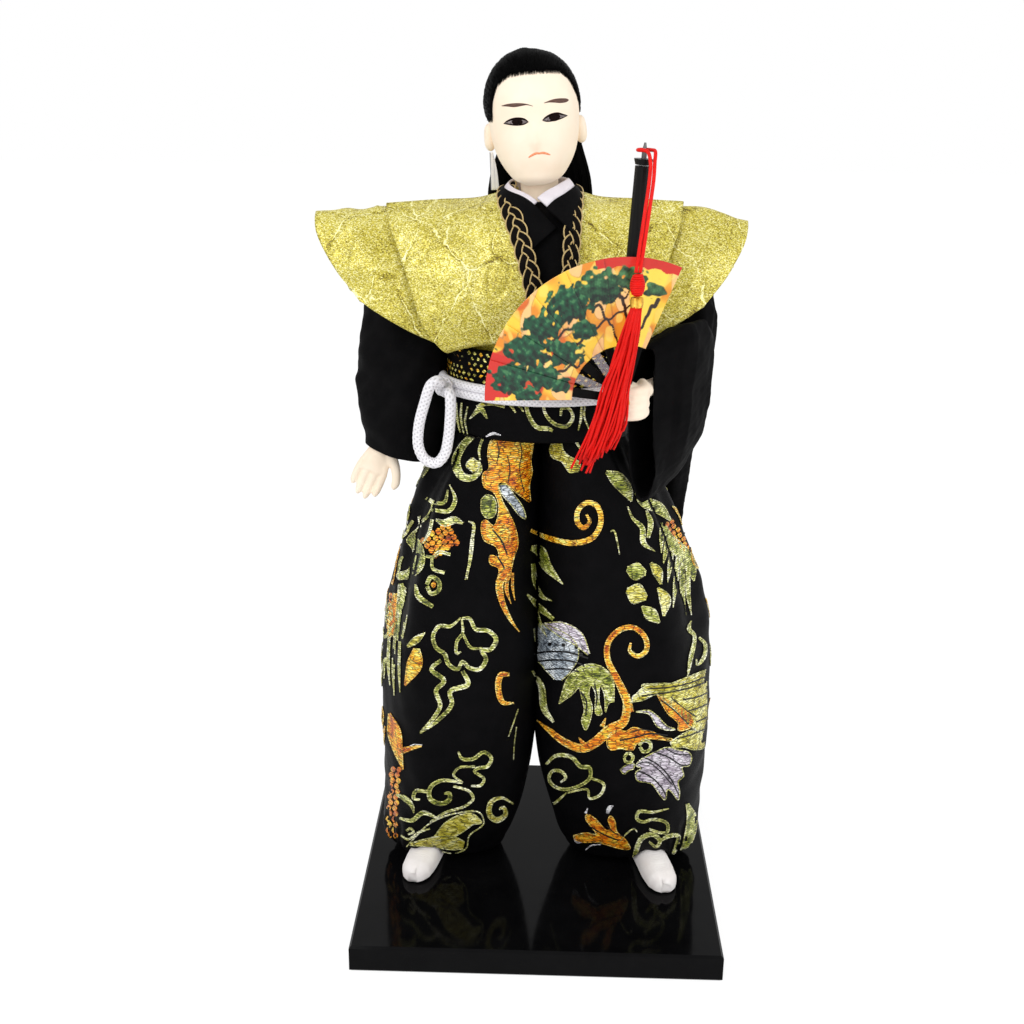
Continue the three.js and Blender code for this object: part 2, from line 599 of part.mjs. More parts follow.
// Hair that falls behind the neck: height from the neck's base, half width, middle and half depth
const BACK_HAIR = [
  [24, 10, 21.2, 2.4], [16, 13.5, 21.2, 2.8], [8, 15.6, 21.2, 3], [-1, 16.6, 22.4, 3.2],
  [-12, 16, 26.4, 3], [-28, 12.6, 28, 2.6], [-42, 7.4, 28.2, 2],
];
const backHair = loft(BACK_HAIR.map(([rise, a, y, deep]) => {
  const z = NECK_BASE + rise;
  return ring(18, { x: NECK_X - 0.6, y, z, a, front: deep });
}));
doll.add(piece("back_hair", "hair", backHair, 0.55));

// Folded paper ribbon that ties the hair, beside the neck on the right
const ribbonAt = patch([
  [V(-16.2, 6.2, 19), V(-13.6, 7.7, 19)],
  [V(-16.6, 7.4, 14), V(-13.8, 8.9, 14)],
  [V(-17.2, 8.6, 9), V(-14.4, 10.1, 9)],
]);
headGroup.add(piece("hair_ribbon", "white", sheet(ribbonAt, 1, 5, RIBBON_THICKNESS)));

// Collars: bands round the neck that run down to a V in front
function collar({ radius, front, high, drop, width, spread, thickness }) {
  const at = (u, v) => {
    const way = (2 * u - 1) * 0.985;
    const reach = Math.abs(way) ** COLLAR_V;
    const turn = way * Math.PI;
    const r = lerp(radius, front, reach) + v * spread;
    const z = NECK_BASE + high - drop * Math.abs(way) ** 2.2 - v * width;
    return V(NECK_X + r * Math.sin(turn) * (1 - 0.1 * reach), NECK_Y + r * Math.cos(turn), z);
  };
  return sheet(at, 24, 1, thickness);
}
const INNER_COLLAR = { radius: 7.6, front: 15.6, high: 10, drop: 8.6, width: 8, spread: 0.8, thickness: 0.9 };
const OUTER_COLLAR = { radius: INNER_COLLAR.radius + INNER_COLLAR.spread + INNER_COLLAR.thickness + GAP,
  front: 21.4, high: 7.6, drop: 10.6, width: 8, spread: 0.8, thickness: CLOTH };
doll.add(piece("inner_collar", "white", collar(INNER_COLLAR), 0.8));
doll.add(piece("kimono_collar", "black", collar(OUTER_COLLAR)));

// Vest. The right side's points are given from the middle plane outwards, and the left side mirrors them.
const VEST_TUCK = SASH_LOW + 5; // the vest ends inside the sash
const VEST_ENTRY = SASH_LOW + SASH_HEIGHT + 2;
const VEST_WAIST = waistGrow.vest + BROCADE / 2;
const reach = (side) => (side < 0 ? 1 : WING_SHARE);
const vestPoint = (side) => ([x, y, z]) => fromNeck(NECK_X + side * reach(side) * x, y, z);

// Seam along the top of the shoulder: distance from the middle and height above the neck's base
const SHOULDER_SEAM = [[12.2, 6.4], [22, 4.8], [33, 3.4], [45.6, 2.4]];

function vestFront(side) {
  const at = vestPoint(side);
  const tuck = [-90 + side * 4, -90 + side * 22, -90 + side * 44, -90 + side * 68];
  return patch([
    SHOULDER_SEAM.map(([x, z]) => [x, SHOULDER_SEAM_Y - SEAM_GAP / 2, z]).map(at),
    [[11.4, -8.6, 4], [21, -9.6, 0], [33, -9.4, -2.4], [46, -8.8, -3.6]].map(at),
    [[7.4, -18.6, -5.4], [19, -19.4, -12], [32, -19.2, -16], [44.8, -18.4, -18.6]].map(at),
    [[4.6, -24.2, -19], [15.4, -24.8, -27], [28, -24.2, -32.4], [41.4, -22.8, -36.4]].map(at),
    [[3, -25.6, -34], [11.8, -25.4, -37], [22.4, -23.8, -40.4], [32, -20.4, -43.4]].map(at),
    tuck.map((angle) => onWaist(angle, VEST_ENTRY, VEST_WAIST)),
    tuck.map((angle) => onWaist(angle, VEST_TUCK, VEST_WAIST)),
  ]);
}

// Each wing lies under its front panel along a pleat, and folds over the shoulder to the back
function vestWing(side) {
  const at = vestPoint(side);
  return patch([
    [[38.6, -20.6, -36.8], [49, -18.8, -33.6], [57.8, -16, -30]].map(at),
    [[42.6, -16.4, -19.6], [55, -14.4, -19.4], [65.8, -11, -22.4]].map(at),
    [[43.8, -7, -5.4], [58.6, -6.2, -6], [72.6, -4.4, -9.4]].map(at),
    [[44, 2.6, -0.2], [59.6, 2.4, -0.3], [73.8, 2, -2.4]].map(at),
    [[43.8, 11.8, -6], [58.6, 11.8, -6], [72.6, 9, -9.4]].map(at),
    [[42.6, 20.2, -19.6], [55, 19.2, -19.4], [65.8, 16, -22.4]].map(at),
    [[40.6, 22.8, -34.8], [49.4, 21.6, -32.6], [57.8, 19.4, -30]].map(at),
  ]);
}

const backPoint = ([x, y, z]) => fromNeck(NECK_X + (x < 0 ? 1 : WING_SHARE) * x, y, z);
const seamBack = SHOULDER_SEAM.map(([x, z]) => [x, SHOULDER_SEAM_Y + SEAM_GAP / 2, z]);
const mirrored = (row) => [...row.map(([x, y, z]) => [-x, y, z]).reverse(), ...row];
const NAPE = [[7.6, 16.4, 4]];
const BACK_TURNS = [160, 142, 124, 106, 98, 82, 74, 56, 38, 20];
const vestBackAt = patch([
  mirrored([...NAPE, ...seamBack]),
  mirrored([[4, 17.4, 0.2], [11, 15.4, 0.6], [22, 13.6, -0.4], [33, 14, -1.6], [46, 15, -3.2]]),
  mirrored([[4, 22, -19], [11, 22, -19], [22, 22.2, -19], [33, 22.6, -18.8], [44.6, 23, -18.6]]),
  mirrored([[4, 22.6, -37], [11, 22.8, -37], [21, 23.4, -36.4], [31, 24.6, -35.6], [41.4, 26, -34.8]]),
].map((row) => row.map(backPoint)).concat([VEST_ENTRY, VEST_TUCK].map((z) =>
  BACK_TURNS.map((angle) => onWaist(angle, z, VEST_WAIST)))));
doll.add(piece("vest_back", "gold", sheet(vestBackAt, 12, 9, BROCADE), 0.45));

// Plaited braid on each front edge of the vest, down to the sash
function braid(side) {
  const face = vestFront(side);
  const step = 0.02;
  const at = (u, v) => {
    const along = v * BRAID_END;
    const p = face(0.001, along);
    const across = face(step, along).sub(p).normalize();
    const down = face(0.001, Math.min(1, along + step)).sub(face(0.001, Math.max(0, along - step)));
    const out = across.clone().cross(down).normalize();
    if (out.y > 0) out.negate();
    return p.addScaledVector(across, (u - BRAID_OVERHANG) * BRAID_WIDTH)
      .addScaledVector(out, BROCADE / 2 + GAP + BRAID_THICKNESS / 2);
  };
  return sheet(at, 2, 12, BRAID_THICKNESS);
}

for (const { side, name } of SIDES) {
  doll.add(piece(`vest_${name}_front`, "gold", sheet(vestFront(side), 6, 12, BROCADE), 0.45));
  doll.add(piece(`vest_${name}_wing`, "gold", sheet(vestWing(side), 4, 14, BROCADE), 0.45));
  doll.add(piece(`${name}_braid`, "braid", braid(side), 0.6));
}

// Arms: padded wire with a round head at the shoulder
function armCore(route) {
  const head = new THREE.SphereGeometry(ARM_HEAD, 10, 6).translate(...route[0].toArray());
  const taper = (share) => lerp(ARM_RADIUS, WRIST_RADIUS, share);
  return join(bar(route, taper, { sides: 10, steps: 8 }), head);
}
const RIGHT_ARM = [V(RIGHT_SHOULDER_X, SHOULDER_Y, SHOULDER), fromNeck(-45.6, 4, -30),
  fromNeck(-48.8, 1, -50), fromNeck(-52.6, -5.4, -70.4)];
const LEFT_ARM = [V(LEFT_SHOULDER_X, SHOULDER_Y, SHOULDER), fromNeck(41, 3, -28),
  fromNeck(45.6, -3.4, -45), fromNeck(42.6, -14, -50.6), fromNeck(35.8, -24.9, -52)];
doll.add(piece("right_arm_core", "wadding", armCore(RIGHT_ARM)));
doll.add(piece("left_arm_core", "wadding", armCore(LEFT_ARM)));

// Sleeves: stations of height from the neck's base, middle, half width and half depth. The right cuff slopes
const RIGHT_SLEEVE = [
  [-4, -42.6, 4.6, 5, 4], [-9, -44.4, 4.4, 10.4, 8], [-18, -46.2, 3.8, 12.8, 10.6], [-32, -47.6, 3, 14, 12.2],
  [-50, -49.8, 0.6, 13.2, 12.4], [-68, -50.2, -2.4, 13.2, 11.6], [-81.4, -49.6, -4.6, 12.6, 10.6],
];

function sleeveRings(stations, inset, stretch = 0) {
  const last = stations.length - 1;
  return stations.map(([z, x, y, a, b], k) => {
    const low = clamp((k - last + 2) / 2, 0, 1);
    const lift = k === 0 ? -inset : 0;
    const fold = (p, angle) => {
      const away = clamp(0.5 + Math.sign(x) * Math.cos(angle), 0, 1);
      const wave = SLEEVE_FOLD * Math.sin(3 * angle + k) * clamp(k / 3, 0, 1) * away;
      p.add(V(Math.cos(angle), Math.sin(angle), 0).multiplyScalar(wave));
      p.z += low * CUFF_SLOPE * (p.x - x) + lift - (k === last ? stretch : 0);
      return p;
    };
    return ring(16, { x, y, z: NECK_BASE + z, a: a - inset, front: b - inset }, fold);
  });
}

const rightSleeve = cut(loft(sleeveRings(RIGHT_SLEEVE, 0)), loft(sleeveRings(RIGHT_SLEEVE, CLOTH, 5)),
  armhole(RIGHT_SHOULDER_X, NECK_X));
doll.add(piece("right_sleeve", "black", rightSleeve));

// The left sleeve bends at the elbow: an upper tube that trails off behind, and a bag under the forearm
const LEFT_SLEEVE = [
  [-4.4, 37, 4.6, 4.6, 4], [-9, 38.4, 4.4, 9.6, 8], [-20, 41, 3.4, 11.8, 10.6], [-34, 43.6, 1.4, 12.2, 12],
  [-48, 45, 2.6, 10.8, 11.4], [-65, 46.4, 9.4, 8, 8.4], [-82, 46.2, 15.4, 6, 6], [-100, 45.8, 19.4, 5, 3.8],
  [-114, 45.6, 21.6, 4.2, 2.2],
];
const TRAIL_FROM = 7; // the tube is solid cloth below this station
const ELBOW = V(48.6, -4, 0);
const CUFF = V(31, -31.4, 0);
// Bag slices from elbow to cuff: share of the way, top and bottom from the neck's base, half thickness
const BAG = [[-0.16, -44, -68, 3], [0, -40.6, -77, 6.2], [0.35, -40, -85, 7], [0.7, -39.8, -89, 7],
  [1, -39.4, -90.4, 6.4]];
const BAG_SIDES = 16;
const BAG_SQUARE = 0.6; // how square its slices are
const BAG_NARROW = 0.45; // share that each slice loses towards its bottom

function bag(inset, stretch = 0) {
  const along = CUFF.clone().sub(ELBOW);
  const side = V(-along.y, along.x, 0).normalize();
  return loft(BAG.map(([share, top, bottom, half], k) => {
    const more = k === BAG.length - 1 ? stretch : 0;
    const lead = k === 0 ? inset / along.length() : 0;
    const at = ELBOW.clone().addScaledVector(along, share + lead + more);
    const tall = (top - bottom) / 2 - inset;
    return Array.from({ length: BAG_SIDES }, (_, j) => {
      const angle = (j / BAG_SIDES) * Math.PI * 2;
      const s = Math.sin(angle);
      const c = Math.cos(angle);
      const thick = (half - inset) * (1 + BAG_NARROW * Math.min(s, 0));
      const wide = thick * Math.sign(c) * Math.abs(c) ** BAG_SQUARE;
      const rise = tall * Math.sign(s) * Math.abs(s) ** BAG_SQUARE;
      return at.clone().addScaledVector(side, wide).setZ(NECK_BASE + (top + bottom) / 2 + rise);
    });
  }));
}

const leftSleeveOuter = join(loft(sleeveRings(LEFT_SLEEVE, 0)), bag(0));
const leftSleeveInner = join(loft(sleeveRings(LEFT_SLEEVE.slice(0, TRAIL_FROM), CLOTH)), bag(CLOTH, 0.5));
const leftSleeve = cut(leftSleeveOuter, leftSleeveInner, armhole(NECK_X, LEFT_SHOULDER_X));
doll.add(piece("left_sleeve", "black", leftSleeve));

// Right hand: open and hanging. Stations along it: distance, half width, half thickness
const RIGHT_WRIST = fromNeck(-53.2, -6.2, -74);
const HAND = [[0, 3.2, 2.7], [8, 3.6, 2.9], [12.5, 5.6, 3], [16.5, 6.4, 2.8], [20.5, 6, 2.3], [24, 5, 1.8],
  [26, 3.2, 1.1]];

function openHand() {
  const slice = ([far, wide, thick]) => ring(12, { z: -far, a: wide, front: thick, power: 2.4 });
  const palm = loft(HAND.map(slice));
  const thumbTaper = (share) => 1.9 - 0.7 * share ** 3;
  const thumb = bar([V(3.4, -0.6, -7.4), V(7.8, -1.4, -12), V(9, -2, -18.6)], thumbTaper,
    { sides: 8, steps: 5 });
  return join(palm, thumb).rotateX(degrees(-HAND_TIP)).rotateY(degrees(HAND_LEAN))
    .translate(...RIGHT_WRIST.toArray());
}
doll.add(piece("right_hand", "skin", openHand(), 0.6));

// Sword: a scabbard rod through the left fist, with a cap and a pin
const swordFrame = new THREE.Matrix4().makeTranslation(...SWORD_FOOT.toArray())
  .multiply(new THREE.Matrix4().makeRotationY(degrees(SWORD_LEAN)));
const sword = new THREE.Group();
sword.position.copy(SWORD_FOOT);
sword.rotation.y = degrees(SWORD_LEAN);
doll.add(sword);
const scabbard = [[0, 0], [SWORD_RADIUS - 0.6, 0], [SWORD_RADIUS, 0.8], [SWORD_RADIUS, 40],
  [SWORD_TOP_RADIUS, SWORD_LENGTH], [0, SWORD_LENGTH]];
const capLow = SWORD_LENGTH + GAP;
const pinHole = PIN_RADIUS + GAP;
const cap = [[pinHole, capLow], [CAP_RADIUS - 0.5, capLow], [CAP_RADIUS, capLow + CAP_HEIGHT],
  [pinHole, capLow + CAP_HEIGHT], [pinHole, capLow]];
const pin = [[0, capLow], [PIN_RADIUS, capLow], [PIN_RADIUS, capLow + CAP_HEIGHT + PIN_TAPER_FROM],
  [PIN_RADIUS * 0.4, capLow + CAP_HEIGHT + PIN_HEIGHT], [0, capLow + CAP_HEIGHT + PIN_HEIGHT]];
sword.add(piece("sword_scabbard", "stick", turned(scabbard, 16), 0.3));
sword.add(piece("sword_cap", "stick", turned(cap, 20), 0.35));
sword.add(piece("sword_pin", "steel", turned(pin, 10), 0.35, 1));

// Left hand: a fist that grips the sword and the fan, with a wrist into the sleeve
const FAN_FRONT = FAN_BACK - (BLADES - 1) * BLADE_PITCH - BLADE_THICKNESS;

function roundBlock(centre, half, power = 3) {
  const ball = new THREE.SphereGeometry(1, 14, 9);
  const at = ball.attributes.position;
  for (let k = 0; k < at.count; k++) {
    const p = V(at.getX(k), at.getY(k), at.getZ(k));
    const size = (Math.abs(p.x) ** power + Math.abs(p.y) ** power + Math.abs(p.z) ** power) ** (1 / power);
    p.divideScalar(size).multiply(half).add(centre);
    at.setXYZ(k, p.x, p.y, p.z);
  }
  return ball;
}

const LEFT_WRIST = [fromNeck(27.4, -39, -52.6), fromNeck(31.8, -31.4, -52.2), fromNeck(35.6, -25.25, -52)];
const leftWrist = bar(LEFT_WRIST, WRIST_RADIUS, { sides: 10, steps: 3 });

function fist() {
  const slot = new THREE.BoxGeometry(30, FAN_BACK - FAN_FRONT + 2 * GAP, 30);
  const slotRight = RIVET.x + STICK_HEAD + 2;
  const slotLow = RIVET.z - STICK_HEAD - 2 * GAP;
  slot.translate(slotRight - 15, (FAN_BACK + FAN_FRONT) / 2, slotLow + 15);
  const grip = upright(SWORD_RADIUS + GAP, -5, SWORD_LENGTH + 10).applyMatrix4(swordFrame);
  return cut(join(roundBlock(FIST, FIST_HALF), leftWrist), slot, grip, rivet(GAP));
}

// Rivet: through the fingers, the seven blades and into the palm
function rivet(grow) {
  const neck = FIST.y - FIST_HALF.y;
  const front = neck - RIVET_HEAD - grow;
  const back = FAN_BACK + RIVET_RADIUS + GAP + grow;
  const r = RIVET_RADIUS + grow;
  const profile = [[0, back], [r, back], [r, neck], [r + RIVET_HEAD, neck - grow],
    [r + RIVET_HEAD * 0.7, front], [0, front]];
  return turned(profile.map(([radius, y]) => [radius, -y]), 12).rotateX(Math.PI / 2)
    .translate(RIVET.x, 0, RIVET.z);
}
doll.add(piece("left_hand", "skin", fist(), 0.6));
doll.add(piece("fan_rivet", "brass", rivet(0), 0.3, 1));

// Fan: each blade is a stick and a sector of the leaf, in its own layer
const BLADE_STEP = (FAN_TO - FAN_FROM) / BLADES;

function blade() {
  const half = degrees(BLADE_STEP / 2 + LEAF_LAP);
  const stick = STICK_WIDTH / 2;
  const stickTurn = Math.asin(stick / LEAF_INNER);
  const headTurn = Math.asin(stick / STICK_HEAD);
  const outline = new THREE.Shape();
  outline.absarc(0, 0, FAN_RADIUS, -half, half, false);
  outline.absarc(0, 0, LEAF_INNER, half, stickTurn, true);
  outline.absarc(0, 0, STICK_HEAD, headTurn, 2 * Math.PI - headTurn, false);
  outline.absarc(0, 0, LEAF_INNER, -stickTurn, -half, true);
  outline.closePath();
  const hole = new THREE.Path();
  hole.absarc(0, 0, RIVET_RADIUS + GAP, 0, 2 * Math.PI, true);
  outline.holes.push(hole);
  const layer = { depth: BLADE_THICKNESS, bevelEnabled: false, curveSegments: 3 };
  const flat = new THREE.ExtrudeGeometry(outline, layer);
  return flat.rotateX(Math.PI / 2);
}

const fan = new THREE.Group();
fan.position.set(RIVET.x, 0, RIVET.z);
doll.add(fan);
for (let k = 0; k < BLADES; k++) {
  const mesh = piece(`fan_blade_${k + 1}`, "print", blade(), 0.35);
  mesh.position.y = FAN_BACK - k * BLADE_PITCH;
  mesh.rotation.y = -degrees(FAN_FROM + (k + 0.5) * BLADE_STEP);
  fan.add(mesh);
}

// Tassel: a red cord looped over the pin, a knot, a wound band and a skirt of threads
const STRAND_DOWN = [[25.7, -53, -3], [27, -50, 6], [28, -46.8, 13.6], [28.3, -44.6, 18.6],
  [27.4, -42.8, 21.3], [25.2, -41.4, 21.5], [24.9, -39, 21.4], [25.8, -37.6, 21.4]];
const STRAND_UP = [[27.6, -37.6, 21.4], [29, -39, 21.4], [29.8, -41.4, 21.2], [30, -44, 18.4],
  [29.6, -46.8, 13.6], [28.5, -50, 6], [27.2, -53, -3]];
const strandEnd = (side) => V(TASSEL_X + side, TASSEL_Y, TASSEL_TOP);
const strands = [...STRAND_DOWN, ...STRAND_UP].map((p) => fromNeck(...p));
const TASSEL_ROUTE = [strandEnd(-1), ...strands, strandEnd(1)];
doll.add(piece("tassel_cord", "red", bar(TASSEL_ROUTE, TASSEL_CORD_RADIUS, { sides: 8, steps: 28 }), 0.7));
const knotHigh = TASSEL_TOP - GAP;
const knotLow = knotHigh - TASSEL_KNOT;
const bandHigh = knotLow - GAP;
const bandLow = bandHigh - TASSEL_BAND;
const knotProfile = [[0, knotLow], [1.3, knotLow], [2.3, knotLow + 2], [2.3, knotHigh - 2.4], [1.7, knotHigh],
  [0, knotHigh]];
const bandProfile = [[0, bandLow], [1.6, bandLow], [2, bandLow + 0.8], [2, bandHigh - 0.8], [1.6, bandHigh],
  [0, bandHigh]];
doll.add(piece("tassel_knot", "red", turned(knotProfile, 12).translate(TASSEL_X, TASSEL_Y, 0), 0.7));
doll.add(piece("tassel_band", "brass", turned(bandProfile, 12).translate(TASSEL_X, TASSEL_Y, 0), 0.4));

// Skirt stations: height, middle, half width, half depth. It hangs a little in front of the knot
const SKIRT = [[bandLow - GAP, TASSEL_X, 1.6, 1.6], [NECK_BASE - 28, 25, 2.4, 2],
  [NECK_BASE - 42, 24.4, 2.7, 2.1], [NECK_BASE - 56, 22.8, 3.4, 2.2], [NECK_BASE - 66, 20.8, 4.6, 2.2],
  [NECK_BASE - 72, 19.6, 4.8, 1.8]];
const SKIRT_Y = TASSEL_Y - 1;
const ridged = (p, angle) => p.add(V(Math.cos(angle), Math.sin(angle), 0)
  .multiplyScalar(RIDGE_DEPTH * Math.cos(THREAD_RIDGES * angle)));
const skirt = loft(SKIRT.map(([z, x, a, deep]) => ring(16, { x, y: SKIRT_Y, z, a, front: deep }, ridged)));
doll.add(piece("tassel_skirt", "red", skirt, 0.7));

export default part;
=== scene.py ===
"""The samurai doll's looks: cloth, embroidery, hair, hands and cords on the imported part.

Shapes are drawn in millimetres in the doll's own frame, whose floor is the board's top: +Z up, facing -Y.
make() turns them into metres in the part's frame. "Right" and "left" are the doll's own.
"""
import math

import bmesh
import bpy
import numpy as np
from mathutils import Matrix, Vector
from mathutils.bvhtree import BVHTree


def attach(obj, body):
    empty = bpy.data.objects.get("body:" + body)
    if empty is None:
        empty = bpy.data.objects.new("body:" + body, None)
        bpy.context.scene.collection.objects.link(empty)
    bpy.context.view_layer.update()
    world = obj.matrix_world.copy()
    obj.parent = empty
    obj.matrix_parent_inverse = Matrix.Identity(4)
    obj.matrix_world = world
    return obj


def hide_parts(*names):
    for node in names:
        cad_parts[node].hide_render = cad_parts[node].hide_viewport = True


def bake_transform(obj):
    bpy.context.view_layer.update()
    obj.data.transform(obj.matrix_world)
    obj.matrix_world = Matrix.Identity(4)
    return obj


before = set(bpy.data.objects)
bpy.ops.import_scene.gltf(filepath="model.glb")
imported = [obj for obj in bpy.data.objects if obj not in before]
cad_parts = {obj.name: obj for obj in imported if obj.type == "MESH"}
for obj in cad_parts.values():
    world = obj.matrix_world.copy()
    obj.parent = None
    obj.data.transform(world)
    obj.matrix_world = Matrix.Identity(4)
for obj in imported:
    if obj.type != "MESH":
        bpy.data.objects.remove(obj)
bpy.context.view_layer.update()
rng = np.random.default_rng(11)

MM = 0.001
FULL_TURN = 2 * math.pi
ABOUT_A_TURN = 6.3
UP = np.array([0, 0, 1.0])
BOARD_TOP = 10.0
GAP = 0.35  # between pieces that lie on each other
CLOTH = 1.0  # thickness of plain cloth
BROCADE = 1.2  # thickness of the cloth of the vest and the sash
BODY_X, BODY_Y = -1.7, -2.0  # middle of the waist
NECK_X, NECK_Y, NECK_BASE = -3.2, 1.0, 240.0  # middle of the neck, and where the head begins
SEAM_X = -2.0  # where the trouser legs meet
RIGHT, LEFT = -1, 1
SIDE_NAME = {RIGHT: "right", LEFT: "left"}


# Numbers and curves

def ramp(value, low, high):
    """0 up to low, 1 from high on, and a straight line between them."""
    return np.clip((value - low) / (high - low), 0, 1)


def unit(v):
    return v / np.maximum(np.linalg.norm(v, axis=-1, keepdims=True), 1e-9)


def whole_turn(count):
    """The angles of a ring of points."""
    return np.linspace(0, FULL_TURN, count, endpoint=False)


def along_path(path):
    """How far each point of a path is from its start."""
    return np.concatenate([[0], np.cumsum(np.linalg.norm(np.diff(path, axis=0), axis=1))])


def length_of(path):
    return float(along_path(path)[-1])


def hermite(x, y, at):
    """Smooth values between a table's rows."""
    x, y, at = (np.asarray(v, float) for v in (x, y, at))
    slope = np.gradient(y, x)
    i = np.clip(np.searchsorted(x, at) - 1, 0, len(x) - 2)
    h = x[i + 1] - x[i]
    t = (at - x[i]) / h
    return ((1 + 2 * t) * (1 - t) ** 2 * y[i] + t * (1 - t) ** 2 * h * slope[i]
            + t * t * (3 - 2 * t) * y[i + 1] + t * t * (t - 1) * h * slope[i + 1])


def columns_at(table, at, smooth=1.0):
    """The later columns of a table where its first is at. smooth is the share of curve over straight line."""
    first = table[:, 0]
    return [(1 - smooth) * np.interp(at, first, column) + smooth * hermite(first, column, at)
            for column in table.T[1:]]


def catmull(points, t):
    """Centripetal curve through points[..., n, 3] at the shares t."""
    points = np.asarray(points, float)
    count = points.shape[-2]
    place = np.clip(np.asarray(t, float), 0, 1) * (count - 1)
    i = np.minimum(place.astype(int), count - 2)
    w = (place - i)[:, None]
    first = 2 * points[..., :1, :] - points[..., 1:2, :]
    last = 2 * points[..., -1:, :] - points[..., -2:-1, :]
    padded = np.concatenate([first, points, last], axis=-2)
    a, b, c, d = (padded[..., i + k, :] for k in range(4))
    d0, d1, d2 = (np.maximum(np.sqrt(np.linalg.norm(q - p, axis=-1, keepdims=True)), 1e-3)
                  for p, q in ((a, b), (b, c), (c, d)))
    t1 = ((b - a) / d0 - (c - a) / (d0 + d1) + (c - b) / d1) * d1
    t2 = ((c - b) / d1 - (d - b) / (d1 + d2) + (d - c) / d2) * d1
    return b + t1 * w + (3 * c - 3 * b - 2 * t1 - t2) * w ** 2 + (2 * b - 2 * c + t1 + t2) * w ** 3


def even_path(points, step):
    """The curve through the points, at even steps along it."""
    fine = catmull(points, np.linspace(0, 1, 60 * len(points)))
    far = along_path(fine)
    count = max(3, int(round(far[-1] / step)) + 1)
    at = np.linspace(0, far[-1], count)
    return np.stack([np.interp(at, far, fine[:, k]) for k in range(fine.shape[1])], axis=1)


def patch(rows, u, v):
    """Smooth surface through a grid of points, as an array of v rows by u columns."""
    along = catmull(rows, u)
    return np.swapaxes(catmull(np.swapaxes(along, 0, 1), v), 0, 1)


def crumple(points, wave, seed, terms=9):
    """Smooth noise of about unit size whose waves are wave millimetres long."""
    dice = np.random.default_rng(seed)
    total = np.zeros(points.shape[:-1])
    for _ in range(terms):
        way = dice.normal(size=3)
        way *= FULL_TURN / (wave * dice.uniform(0.7, 1.6)) / np.linalg.norm(way)
        total += np.sin(points @ way + dice.uniform(0, ABOUT_A_TURN))
    return total / math.sqrt(terms / 2)


def normals_of(grid):
    return unit(np.cross(np.gradient(grid, axis=1), np.gradient(grid, axis=0)))


# Meshes

def grid_faces(rows, columns, wrap=False, start=0):
    i = np.arange(rows - 1)[:, None] * columns
    j = np.arange(columns if wrap else columns - 1)[None, :]
    k = (j + 1) % columns
    quads = np.stack([i + j, i + k, i + columns + k, i + columns + j], axis=-1)
    return (quads.reshape(-1, 4) + start).tolist()


def declare(obj, body, replaces):
    """Says which body an object rides on and which CAD nodes it stands for."""
    if body:
        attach(obj, body)
    if replaces:
        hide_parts(*replaces)


def make(name, points, faces, material, body="doll", replaces=(), uv=None, out=True):
    """An object from points in the doll's frame. out turns its faces outwards."""
    coords = (np.asarray(points, float) + (0, 0, BOARD_TOP)) * MM
    mesh = bpy.data.meshes.new(name)
    mesh.from_pydata(coords.tolist(), [], faces)
    mesh.materials.append(material)
    if uv is not None:
        layer = mesh.uv_layers.new(name="UVMap")
        index = np.zeros(len(mesh.loops), np.int64)
        mesh.loops.foreach_get("vertex_index", index)
        layer.data.foreach_set("uv", np.asarray(uv, np.float32)[index].ravel())
    if out:
        work = bmesh.new()
        work.from_mesh(mesh)
        bmesh.ops.recalc_face_normals(work, faces=work.faces)
        work.to_mesh(mesh)
        work.free()
    mesh.shade_smooth()
    obj = bpy.data.objects.new(name, mesh)
    bpy.context.scene.collection.objects.link(obj)
    declare(obj, body, replaces)
    return obj


def thick_sheet(grid, thickness):
    """A closed sheet whose middle is a grid of points, with its UV in millimetres."""
    rows, columns = grid.shape[:2]
    out = normals_of(grid) * thickness / 2
    points = np.concatenate([(grid + out).reshape(-1, 3), (grid - out).reshape(-1, 3)])
    size = rows * columns
    faces = grid_faces(rows, columns) + [q[::-1] for q in grid_faces(rows, columns, start=size)]
    rim = [*range(columns), *range(2 * columns - 1, size, columns),
           *range(size - 2, size - columns - 1, -1), *range(size - 2 * columns, 0, -columns)]
    for k, a in enumerate(rim):
        b = rim[(k + 1) % len(rim)]
        faces.append([b, a, a + size, b + size])
    u = np.cumsum(np.pad(np.linalg.norm(np.diff(grid, axis=1), axis=-1), ((0, 0), (1, 0))), axis=1)
    v = np.cumsum(np.pad(np.linalg.norm(np.diff(grid, axis=0), axis=-1), ((1, 0), (0, 0))), axis=0)
    flat = np.stack([u, v], axis=-1).reshape(-1, 2)
    return points, faces, np.concatenate([flat, flat])


def tube_frames(path):
    """Two directions across a path that turn as little as they can along it."""
    along = unit(np.gradient(path, axis=0))
    side = np.zeros_like(path)
    start = UP if abs(along[0][2]) < 0.9 else np.array([1.0, 0, 0])
    side[0] = unit(np.cross(along[0], start))
    for k in range(1, len(path)):
        side[k] = unit(side[k - 1] - along[k] * (side[k - 1] @ along[k]))
    return side, np.cross(along, side)


def loft(rings, caps=True):
    """Points and faces of a stack of closed rings."""
    rings = np.asarray(rings, float)
    count, sides = rings.shape[:2]
    faces = grid_faces(count, sides, wrap=True)
    if caps:
        last = (count - 1) * sides
        faces += [list(range(sides - 1, -1, -1)), list(range(last, last + sides))]
    return rings.reshape(-1, 3), faces


